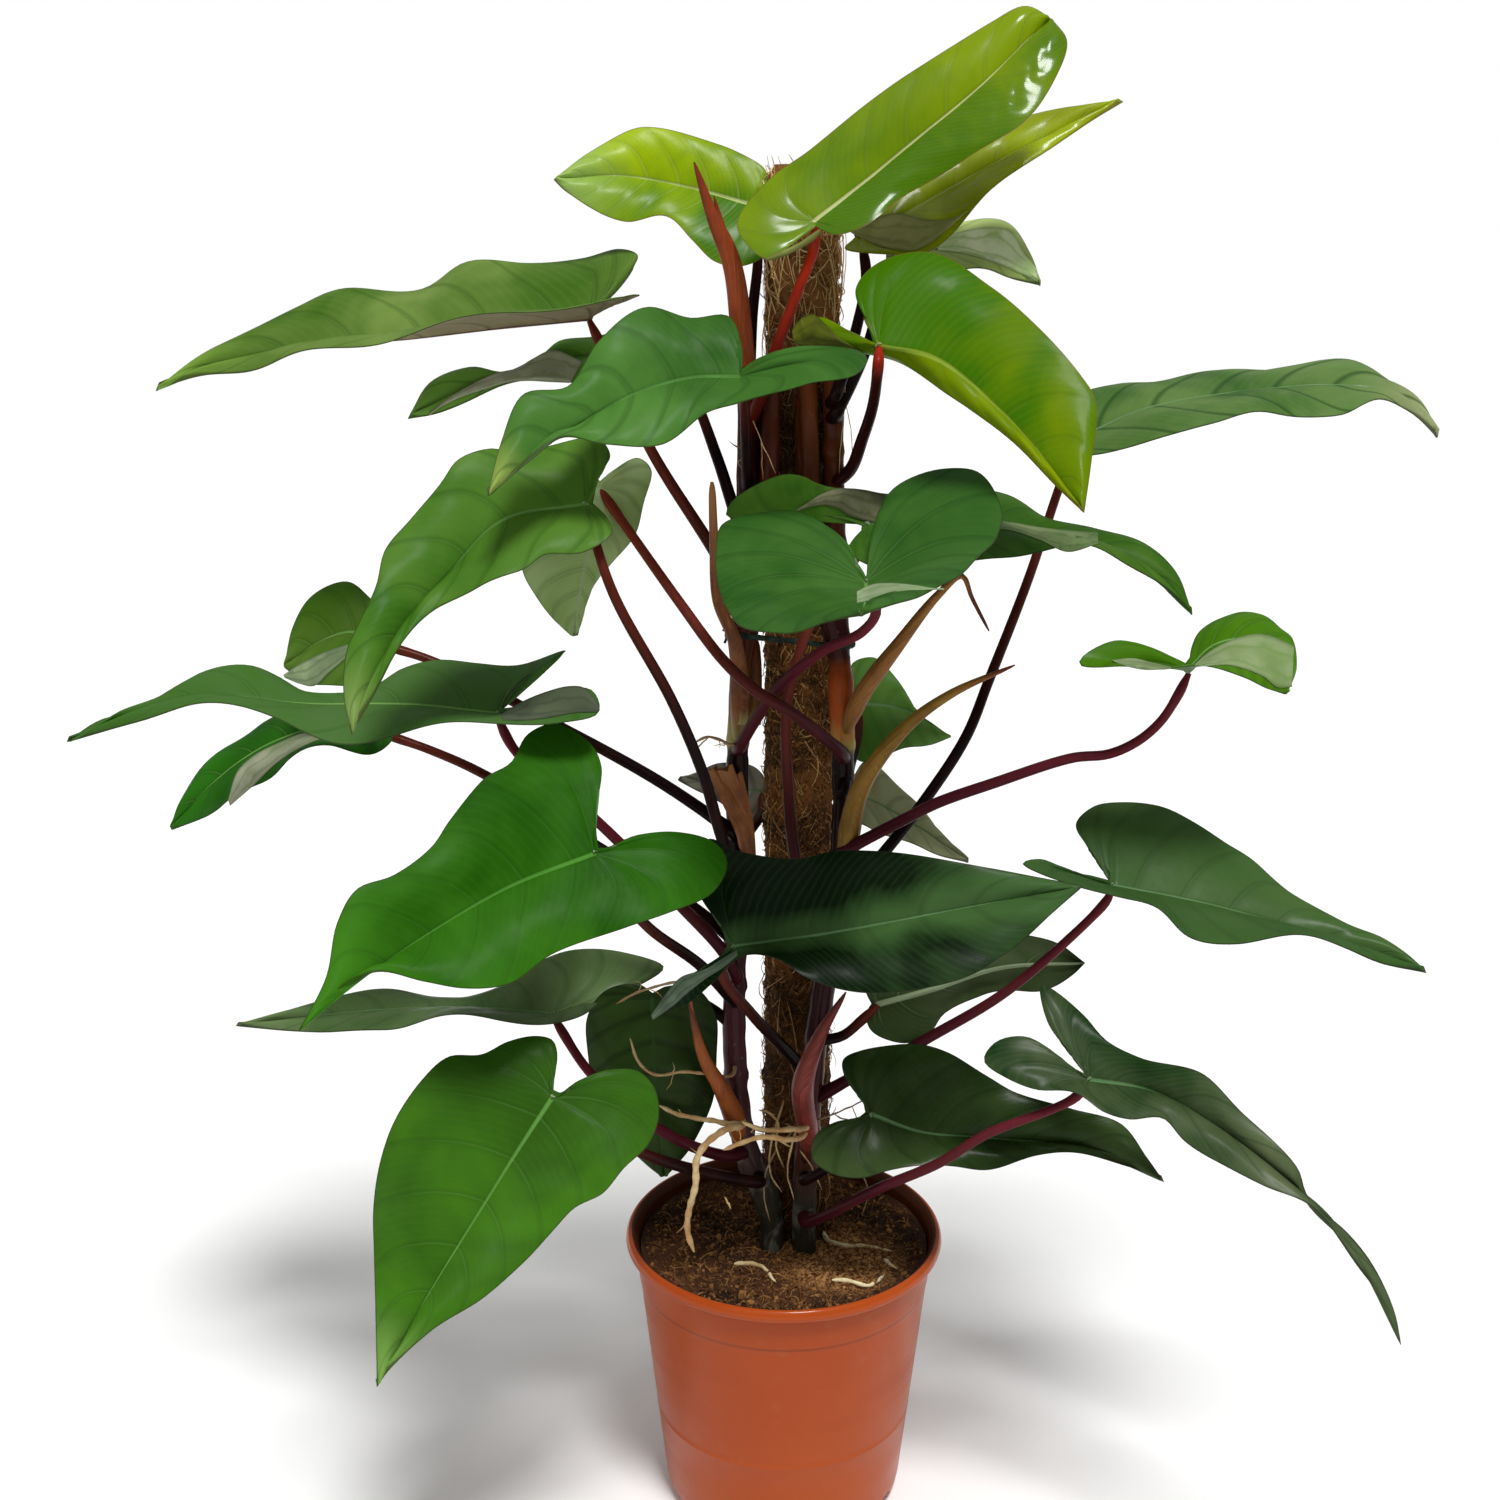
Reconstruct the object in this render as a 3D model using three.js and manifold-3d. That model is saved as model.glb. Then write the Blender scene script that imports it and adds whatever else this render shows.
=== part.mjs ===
// Potted red emerald philodendron on a coir pole, in millimetres, +Z up, pot base centre at the origin.
// Leaf, stem and root places are read off the photograph as column, row and depth, and brought into
// the plant's space through the photograph's own viewpoint.
import * as THREE from 'three';
import Module from 'manifold-3d';

const wasm = await Module();
wasm.setup();

// Viewpoint of the photograph
const PHOTO_SIZE = 1500;
const PHOTO_FOCAL = 1900;
const EYE = new THREE.Vector3(-25.8, -1300.6, 970.8);
const EYE_TILT = 0.27855;

// Clearances between parts that touch
const GAP = 0.3;

// Pot
const POT_HEIGHT = 220;
const POT_SIDES = 32;
const POT_FLOOR = 3.2;
const FOOT_NOTCH_COUNT = 4;
const FOOT_NOTCH_FIRST = -30;
const FOOT_NOTCH_RADIUS = 13;
const FOOT_NOTCH_REACH = [86, 100];
const FOOT_NOTCH_SIDES = 12;
const POT_PROFILE = [
  [0, 0], [84, 0], [90.5, 7], [92, 14], [108, 162], [110.4, 166], [112.8, 202], [119.6, 204.5],
  [120.6, 209], [120.4, 217], [118.5, POT_HEIGHT], [114, POT_HEIGHT], [111.4, 215], [107.6, 166],
  [105.6, 162], [89.4, 12], [86.5, POT_FLOOR], [0, POT_FLOOR],
];

// Soil inside the pot
const SOIL_TOP = 199;
const SOIL_RISE = 5;
const SOIL_SHOULDER = 3.5;
const SOIL_SIDES = 32;
const SOIL_PROFILE = [
  [0, POT_FLOOR + GAP], [86.1, POT_FLOOR + GAP], [89, 12], [105.2, 162], [107.2, 166.2],
  [109.6, SOIL_TOP - 4], [60, SOIL_TOP + SOIL_SHOULDER], [0, SOIL_TOP + SOIL_RISE],
];

// Coir pole
const POLE_X = 10;
const POLE_Y = 33;
const POLE_RADIUS = 25;
const POLE_TOP = 998;
const POLE_FOOT = 160;
const POLE_CHAMFER = 4;
const POLE_SIDES = 16;
const CORE_RADIUS = 12;
const CORE_TOP = 994;
const CORE_FOOT = 40;

// Leaf blades
const BLADE_THICK = 1.0;
const SINUS_ROOT = 5;
const LOBE_RAYS = 5;
const RIB_RAYS = 8;
const BLADE_STEPS = 2;
const BOW = 0.05;
const BOW_SPAN = 60;
const HEADING_AT = 0.12;
const CURVE_STEPS = 12;
const LEAST_CORNER = 0.5;
const LEAST_TURN = 0.1;

// Each leaf: where the leaf stalk meets the blade, then the tip, the midrib between them and both
// margins from the notch round the lobe to the tip. A place is column, row, and millimetres behind
// the leaf's own plane; the junction gives its depth instead. slope is how far that plane runs back
// for each millimetre to the right and up. Left and right are as seen on the upper face.
const LEAVES = [
  {
    name: 'leaf_top_right_large', slot: 'leaf_new', slope: [-0.15, 0.45], wave: [3, 2, 0.3],
    junction: [815, 221, -45], tip: [1052, 14, 12],
    rib: [[868, 180, 6], [915, 141, 8], [982, 85, 6]],
    left: [[800, 240, -4], [768, 261, -8], [737, 226, -4], [768, 178, 0], [812, 147, 4], [902, 80, 6],
      [991, 22, 8], [1027, 5, 10]],
    right: [[836, 236, -4], [868, 226, -4], [902, 196, 0], [965, 158, 0], [1024, 125, 0],
      [1058, 72, 4], [1067, 40, 10]],
  },
  {
    name: 'leaf_top_right_behind', slot: 'leaf_new', slope: [0.1, 0.3], wave: [2, 2, 1],
    junction: [862, 240, 8], tip: [1123, 102, 0],
    rib: [[940, 195, 8], [1030, 145, 6]],
    left: [[850, 222, 6], [868, 185, 22], [950, 145, 26], [1040, 112, 16]],
    right: [[845, 250, -6], [885, 255, -14], [929, 250, -18], [991, 192, -14], [1058, 143, -6]],
  },
  {
    name: 'leaf_top_back', slot: 'leaf_dark', slope: [0.2, 0.3], wave: [3, 2, 0],
    rays: [4, 6], junction: [893, 255, 60], tip: [1040, 286, 0],
    rib: [[950, 250, 6], [1000, 260, 4]],
    left: [[888, 240, 6], [910, 222, 18], [960, 222, 22], [1009, 225, 14], [1032, 255, 4]],
    right: [[888, 264, -6], [915, 264, -16], [960, 270, -18], [1006, 275, -8]],
  },
  {
    name: 'leaf_top_left', slot: 'leaf_new', slope: [0.1, 0.5], wave: [3, 2, 0.5],
    junction: [752, 205, 18], tip: [554, 180, 0],
    rib: [[690, 188, 8], [620, 176, 6]],
    left: [[762, 220, -2], [768, 252, -8], [745, 264, -10], [716, 260, -8], [692, 241, -4],
      [665, 219, 0], [625, 221, 0], [567, 192, 0]],
    right: [[764, 195, 0], [766, 172, 0], [735, 150, 0], [701, 138, 2], [660, 130, 4], [634, 130, 4],
      [589, 152, 2]],
  },
  {
    name: 'leaf_right_upper', slot: 'leaf_new', slope: [-0.15, 0.7], wave: [2, 2, 0],
    junction: [879, 346, -75], tip: [1084, 513, 0],
    rib: [[935, 358, 4], [1000, 410, 6], [1052, 468, 4]],
    left: [[868, 325, 0], [856, 290, 0], [880, 263, 0], [933, 252, 0], [991, 286, 0], [1036, 326, 0],
      [1080, 375, 0], [1096, 402, 0], [1092, 455, 0]],
    right: [[860, 342, 4], [820, 318, 16], [799, 332, 22], [842, 350, 22], [904, 366, 18],
      [946, 393, 14], [1013, 442, 8], [1058, 488, 3]],
  },
  {
    name: 'leaf_left_upper_mid', slot: 'leaf_mature', slope: [0.15, 0.7], wave: [3, 3, 0],
    junction: [739, 377, -75], tip: [488, 496, 0],
    rib: [[692, 378, 4], [639, 392, 6], [586, 420, 6], [530, 460, 3]],
    left: [[763, 357, -8], [812, 346, -28], [866, 354, -40], [858, 370, -40], [812, 384, -30],
      [784, 394, -20], [740, 404, -10], [706, 411, -6], [661, 445, -2], [606, 447, 0], [562, 438, 0],
      [530, 458, 0]],
    right: [[742, 348, 0], [728, 316, 2], [691, 316, 2], [648, 307, 2], [600, 340, 0], [568, 386, 0],
      [523, 396, 0], [502, 440, 0]],
  },
  {
    name: 'leaf_left_upper_long', slot: 'leaf_mature', slope: [-0.1, 0], wave: [4, 3, 0.5],
    junction: [589, 317, -30], tip: [156, 391, -8],
    rib: [[500, 326, 0], [400, 338, 0], [314, 344, 0], [235, 360, -4]],
    left: [[612, 306, -6], [640, 296, -18], [560, 306, -42], [455, 325, -52], [380, 338, -46],
      [314, 352, -34], [256, 370, -18], [203, 374, -10]],
    right: [[600, 305, 8], [609, 291, 22], [638, 256, 44], [618, 247, 52], [580, 256, 56],
      [524, 267, 60], [466, 265, 58], [421, 285, 52], [345, 289, 40], [301, 309, 30], [250, 330, 14],
      [204, 352, 0]],
  },
  {
    name: 'leaf_left_upper_behind', slot: 'leaf_mature', slope: [0.05, 0.5], wave: [3, 2, 0],
    rays: [4, 6], junction: [660, 350, 50], tip: [408, 419, 0],
    rib: [[600, 355, 6], [540, 366, 6], [470, 388, 4]],
    left: [[690, 365, -4], [680, 390, -10], [620, 388, -14], [564, 383, -12], [502, 387, -8],
      [433, 414, -2]],
    right: [[680, 335, 4], [650, 324, 10], [600, 334, 14], [560, 339, 14], [537, 361, 8],
      [502, 372, 4], [470, 367, 4], [431, 381, 2]],
  },
  {
    name: 'leaf_left_mid_large', slot: 'leaf_mature', slope: [0.2, 0.7], wave: [4, 3, 0],
    junction: [585, 505, -80], tip: [352, 735, 0],
    rib: [[502, 521, 6], [448, 575, 8], [395, 640, 5]],
    left: [[604, 514, -4], [612, 534, -10], [585, 550, -12], [546, 553, -10], [524, 573, -8],
      [479, 588, -6], [435, 604, -4], [408, 640, -2], [377, 686, 0]],
    right: [[598, 480, 2], [610, 455, 6], [596, 438, 8], [545, 445, 6], [517, 454, 4], [493, 450, 4],
      [457, 463, 4], [439, 486, 2], [412, 517, 0], [386, 548, 0], [375, 588, 0], [358, 625, 0],
      [347, 650, 0], [344, 695, 0]],
  },
  {
    name: 'leaf_left_mid_hanging', slot: 'leaf_mature', slope: [0.1, 0.15], wave: [3, 2, 0],
    junction: [600, 488, -22], tip: [573, 636, 0],
    rib: [[592, 530, -4], [582, 580, -4]],
    left: [[588, 472, 4], [560, 480, 12], [532, 520, 16], [523, 565, 14], [535, 595, 10],
      [552, 618, 4]],
    right: [[614, 470, 4], [636, 458, 10], [651, 470, 14], [645, 504, 16], [636, 532, 14],
      [612, 560, 10], [592, 590, 6]],
    faces_away: true,
  },
  {
    name: 'leaf_left_behind_small', slot: 'leaf_mature', slope: [-0.4, 0.5], wave: [2, 2, 0],
    rays: [4, 6], junction: [378, 642, 10], tip: [285, 668, 0],
    rib: [[350, 632, 8], [316, 644, 6]],
    left: [[388, 655, -6], [378, 678, -14], [345, 686, -14], [306, 683, -6]],
    right: [[388, 622, 8], [369, 597, 16], [346, 581, 18], [312, 598, 12], [292, 628, 6]],
  },
  {
    name: 'leaf_left_lower_behind', slot: 'leaf_mature', slope: [-0.1, 0], wave: [3, 3, 1],
    junction: [380, 730, 40], tip: [172, 830, 0],
    rib: [[320, 728, 6], [262, 748, 6], [208, 788, 4]],
    left: [[392, 740, -16], [372, 752, -34], [330, 746, -46], [292, 760, -44], [260, 782, -34],
      [224, 805, -20], [196, 820, -8]],
    right: [[388, 716, 16], [352, 702, 34], [300, 708, 44], [266, 718, 42], [239, 742, 34],
      [200, 768, 22], [180, 800, 8]],
  },
  {
    name: 'leaf_left_long', slot: 'leaf_mature', slope: [-0.05, 0], wave: [4, 3, 0],
    junction: [497, 714, -55], tip: [67, 742, 0],
    rib: [[410, 705, 4], [300, 704, 4], [203, 695, 0], [135, 712, 0]],
    left: [[524, 706, -8], [560, 690, -14], [592, 690, -22], [598, 711, -34], [560, 718, -44],
      [506, 722, -50], [450, 727, -52], [381, 741, -50], [338, 740, -44], [274, 717, -34],
      [203, 707, -22], [140, 720, -8]],
    right: [[506, 700, 6], [524, 678, 20], [552, 662, 32], [566, 651, 40], [517, 662, 46],
      [478, 661, 48], [439, 662, 48], [403, 674, 44], [374, 690, 38], [310, 690, 32],
      [281, 676, 32], [249, 667, 30], [203, 676, 22], [156, 703, 10], [99, 721, 0]],
  },
  {
    name: 'leaf_front_left', slot: 'leaf_mature', slope: [0.3, 0.75], wave: [4, 3, 0],
    junction: [594, 854, -125], tip: [299, 1031, 0],
    rib: [[509, 887, 8], [423, 937, 8], [355, 985, 4]],
    left: [[607, 848, -2], [633, 836, -4], [672, 832, -4], [715, 842, -6], [728, 861, -8],
      [715, 890, -8], [672, 913, -8], [624, 930, -6], [552, 952, -4], [509, 983, -4],
      [466, 990, -2], [423, 983, 0], [375, 971, 0], [335, 990, 0]],
    right: [[596, 830, 0], [600, 795, 2], [601, 765, 4], [590, 742, 6], [557, 722, 8], [528, 734, 6],
      [509, 765, 4], [483, 780, 2], [452, 818, 0], [433, 846, 0], [394, 875, 0], [356, 890, 0],
      [337, 923, 0], [327, 976, 0]],
  },
  {
    name: 'leaf_front_centre', slot: 'leaf_dark', slope: [-0.15, 0.6], wave: [3, 3, 0],
    junction: [735, 947, -110], tip: [1083, 886, 0],
    rib: [[770, 942, 6], [820, 935, 8], [968, 907, 8]],
    left: [[722, 930, 0], [700, 895, 2], [694, 858, 2], [708, 838, 4], [735, 850, 2], [796, 859, 0],
      [834, 851, 0], [891, 852, 2], [968, 864, 2], [1035, 877, 0]],
    right: [[722, 954, 0], [690, 975, 6], [655, 1012, 14], [676, 1008, 12], [708, 984, 2],
      [742, 958, -6], [776, 962, -8], [805, 978, -8], [853, 990, -8], [915, 990, -6], [968, 978, -4],
      [1011, 950, -2], [1054, 911, 0]],
  },
  {
    name: 'leaf_left_low_edge', slot: 'leaf_dark', slope: [-0.1, 0], wave: [4, 3, 0],
    junction: [553, 1014, -30], tip: [236, 1026, 0],
    rib: [[470, 1008, 4], [385, 1010, 4], [300, 1018, 2]],
    left: [[575, 1014, -10], [598, 1005, -24], [580, 1015, -36], [504, 1022, -44], [433, 1019, -44],
      [385, 1026, -36], [337, 1035, -22], [290, 1030, -8]],
    right: [[585, 1002, 12], [640, 985, 30], [664, 966, 44], [620, 950, 50], [576, 952, 50],
      [528, 972, 50], [480, 992, 44], [433, 996, 40], [385, 992, 34], [337, 997, 20],
      [280, 1012, 6]],
  },
  {
    name: 'leaf_front_low_left', slot: 'leaf_mature', slope: [0.3, 0.6], wave: [4, 3, 0],
    junction: [552, 1098, -150], tip: [377, 1387, 0],
    rib: [[518, 1150, 8], [483, 1206, 10], [425, 1300, 5]],
    left: [[562, 1093, -2], [578, 1081, -4], [602, 1071, -4], [638, 1071, -6], [655, 1088, -8],
      [659, 1117, -8], [648, 1145, -8], [624, 1169, -8], [602, 1195, -6], [574, 1208, -6],
      [553, 1229, -4], [522, 1264, -2], [483, 1299, 0], [431, 1330, 0], [390, 1368, 0]],
    right: [[549, 1086, 0], [557, 1062, 2], [553, 1041, 4], [536, 1036, 6], [508, 1041, 6],
      [483, 1053, 6], [448, 1057, 4], [420, 1081, 2], [396, 1117, 0], [382, 1159, 0],
      [373, 1211, 0], [373, 1253, 0], [376, 1306, 0], [377, 1355, 0]],
  },
  {
    name: 'leaf_low_hanging', slot: 'leaf_dark', slope: [0.1, 0.1], wave: [4, 2, 0],
    junction: [652, 1000, -30], tip: [664, 1176, 0],
    rib: [[654, 1060, -6], [658, 1120, -6]],
    left: [[668, 986, 4], [696, 988, 8], [718, 1020, 10], [716, 1065, 10], [708, 1110, 8],
      [690, 1150, 4]],
    right: [[638, 984, 4], [606, 990, 8], [586, 1020, 10], [590, 1070, 10], [608, 1120, 8],
      [638, 1158, 4]],
  },
  {
    name: 'leaf_front_high', slot: 'leaf_mature', slope: [0, 0], wave: [4, 3, 0],
    junction: [866, 583, -118], tip: [862, 616, -170],
    rib: [[867, 592, -40], [866, 600, -90], [864, 608, -135]],
    left: [[874, 562, 14], [877, 525, 40], [893, 487, 62], [930, 468, 66], [975, 472, 48],
      [1003, 513, 6], [997, 532, -10], [980, 548, -36], [960, 580, -76], [930, 593, -110],
      [896, 602, -145]],
    right: [[859, 566, 12], [848, 545, 28], [828, 528, 42], [795, 509, 54], [750, 512, 48],
      [722, 527, 28], [715, 560, -8], [724, 599, -48], [745, 631, -84], [783, 636, -112],
      [824, 621, -146]],
  },
  {
    name: 'leaf_right_mid_behind', slot: 'leaf_dark', slope: [0, 0], wave: [3, 3, 1],
    junction: [868, 524, -36], tip: [1192, 615, -24],
    rib: [[940, 512, 4], [1043, 532, 0], [1120, 552, -10]],
    left: [[845, 520, -2], [800, 514, -4], [745, 521, -6], [726, 514, -4], [733, 500, -2],
      [780, 475, 1], [802, 476, 2], [826, 487, 2], [854, 490, 8], [888, 492, 32], [940, 484, 46],
      [1006, 497, 42], [1043, 520, 30], [1094, 528, 20], [1141, 540, 6], [1176, 572, -12]],
    right: [[860, 536, -10], [848, 552, -24], [884, 568, -40], [940, 570, -46], [1000, 556, -44],
      [1047, 548, -40], [1084, 548, -36], [1124, 563, -30], [1160, 582, -26]],
  },
  {
    name: 'leaf_right_high_far', slot: 'leaf_dark', slope: [0, 0], wave: [4, 3, 0],
    junction: [1075, 440, 0], tip: [1437, 438, -20],
    rib: [[1150, 408, 0], [1260, 390, -4], [1350, 386, -8], [1402, 400, -14]],
    left: [[1064, 424, 14], [1072, 400, 32], [1121, 380, 46], [1173, 382, 52], [1250, 368, 52],
      [1346, 363, 34], [1386, 380, 12], [1420, 402, -6]],
    right: [[1068, 456, -14], [1095, 456, -34], [1154, 436, -50], [1217, 428, -54],
      [1264, 409, -52], [1341, 418, -40], [1382, 400, -28], [1412, 412, -22]],
  },
  {
    name: 'leaf_right_small', slot: 'leaf_mature', slope: [0, 0], wave: [2, 2, 0],
    junction: [1188, 670, -60], tip: [1286, 694, -26],
    rib: [[1215, 645, 4], [1250, 640, 2], [1278, 660, -10]],
    left: [[1191, 655, 10], [1198, 634, 24], [1218, 617, 34], [1241, 610, 36], [1262, 616, 28],
      [1279, 631, 16], [1292, 640, 4], [1297, 668, -12]],
    right: [[1170, 657, 4], [1143, 646, 2], [1112, 641, -6], [1080, 661, -18], [1123, 666, -32],
      [1160, 673, -40], [1207, 668, -46], [1244, 676, -44], [1268, 688, -34]],
  },
  {
    name: 'leaf_right_mid', slot: 'leaf_dark', slope: [-0.1, 0.1], wave: [3, 3, 0],
    junction: [1113, 886, -60], tip: [1426, 973, -10],
    rib: [[1201, 903, 4], [1287, 926, 4], [1373, 953, -4]],
    left: [[1109, 872, 6], [1086, 847, 20], [1076, 824, 34], [1095, 805, 44], [1123, 801, 50],
      [1158, 807, 52], [1192, 824, 50], [1224, 841, 46], [1253, 857, 40], [1293, 896, 26],
      [1344, 923, 12], [1382, 937, 4], [1408, 955, -4]],
    right: [[1085, 874, -8], [1040, 859, -14], [1023, 863, -20], [1066, 880, -34], [1121, 901, -46],
      [1155, 911, -50], [1189, 935, -48], [1235, 941, -42], [1301, 938, -32], [1344, 948, -24],
      [1386, 964, -16]],
  },
  {
    name: 'leaf_right_low_long', slot: 'leaf_dark', slope: [-0.15, 0.7], wave: [4, 3, 0],
    junction: [1090, 1080, -120], tip: [1401, 1345, 0],
    rib: [[1150, 1090, 6], [1215, 1125, 8], [1290, 1182, 8], [1352, 1252, 4]],
    left: [[1080, 1058, 0], [1063, 1046, 0], [1047, 1022, 2], [1041, 984, 4], [1054, 990, 4],
      [1083, 1014, 2], [1107, 1041, 0], [1140, 1057, 0], [1202, 1073, 0], [1240, 1115, 0],
      [1298, 1167, 0], [1312, 1196, 0], [1346, 1230, 0], [1374, 1268, 0], [1394, 1311, 0]],
    right: [[1070, 1066, -2], [1052, 1050, -2], [1025, 1037, -2], [996, 1042, -4], [984, 1060, -6],
      [1006, 1076, -8], [1035, 1088, -8], [1073, 1094, -8], [1102, 1115, -8], [1130, 1122, -6],
      [1164, 1118, -4], [1188, 1139, -4], [1226, 1163, -2], [1264, 1187, 0], [1312, 1211, 0],
      [1360, 1268, 0], [1389, 1308, 0]],
  },
  {
    name: 'leaf_right_low_dark', slot: 'leaf_dark', slope: [-0.1, 0.6], wave: [3, 3, 0],
    junction: [872, 1115, -62], tip: [1164, 1182, 0],
    rib: [[920, 1132, 6], [985, 1138, 6], [1080, 1148, 5]],
    left: [[862, 1098, 0], [845, 1078, 0], [843, 1060, 2], [862, 1050, 4], [915, 1044, 4],
      [949, 1053, 2], [987, 1076, 0], [1016, 1093, 0], [1070, 1108, 0], [1121, 1124, 0],
      [1147, 1158, 0]],
    right: [[856, 1119, -2], [836, 1122, -4], [815, 1136, -6], [812, 1158, -8], [829, 1172, -8],
      [858, 1178, -8], [891, 1172, -8], [953, 1166, -6], [987, 1168, -4], [1035, 1157, -2],
      [1083, 1154, 0], [1130, 1166, 0]],
  },
  {
    name: 'leaf_centre_behind', slot: 'leaf_dark', slope: [0.1, 0.35], wave: [3, 3, 0],
    rays: [4, 6], junction: [878, 1004, -30], tip: [1085, 963, 0],
    rib: [[930, 990, -5], [1000, 968, -5]],
    left: [[866, 992, 4], [870, 966, 8], [905, 940, 12], [960, 928, 12], [1018, 932, 8],
      [1058, 944, 4]],
    right: [[866, 1014, 4], [872, 1032, 8], [902, 1042, 10], [930, 1034, 10], [948, 1014, 8],
      [984, 992, 6], [1040, 992, 4], [1072, 975, 2]],
    faces_away: true,
  },
  {
    name: 'leaf_pole_right_behind', slot: 'leaf_dark', slope: [0.1, 0.3], wave: [3, 2, 0],
    rays: [4, 6], junction: [858, 704, 72], tip: [951, 737, 0],
    rib: [[888, 706, 6], [920, 716, 4]],
    left: [[852, 690, 4], [852, 664, 10], [876, 657, 14], [898, 684, 12], [912, 714, 6],
      [930, 724, 2]],
    right: [[850, 716, -4], [844, 742, -8], [862, 761, -12], [885, 757, -10], [908, 748, -8],
      [932, 744, -2]],
  },
  {
    name: 'leaf_pole_low_behind', slot: 'leaf_dark', slope: [0.1, 0.2], wave: [3, 2, 0],
    rays: [4, 6], junction: [852, 792, 76], tip: [968, 863, 0],
    rib: [[880, 805, 6], [925, 832, 4]],
    left: [[853, 776, 6], [864, 762, 18], [882, 768, 22], [910, 798, 18], [945, 838, 8]],
    right: [[846, 800, -6], [846, 818, -14], [870, 826, -18], [905, 843, -12], [940, 855, -4]],
  },
  {
    name: 'leaf_pole_left_behind', slot: 'leaf_dark', slope: [0, 0.2], wave: [2, 2, 0],
    rays: [4, 6], junction: [762, 792, 78], tip: [678, 780, 0],
    rib: [[735, 788, 6], [705, 783, 4]],
    left: [[768, 802, -6], [752, 818, -14], [722, 806, -14], [697, 790, -6]],
    right: [[766, 780, 6], [750, 764, 16], [722, 764, 16], [697, 772, 8]],
  },
];

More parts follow.
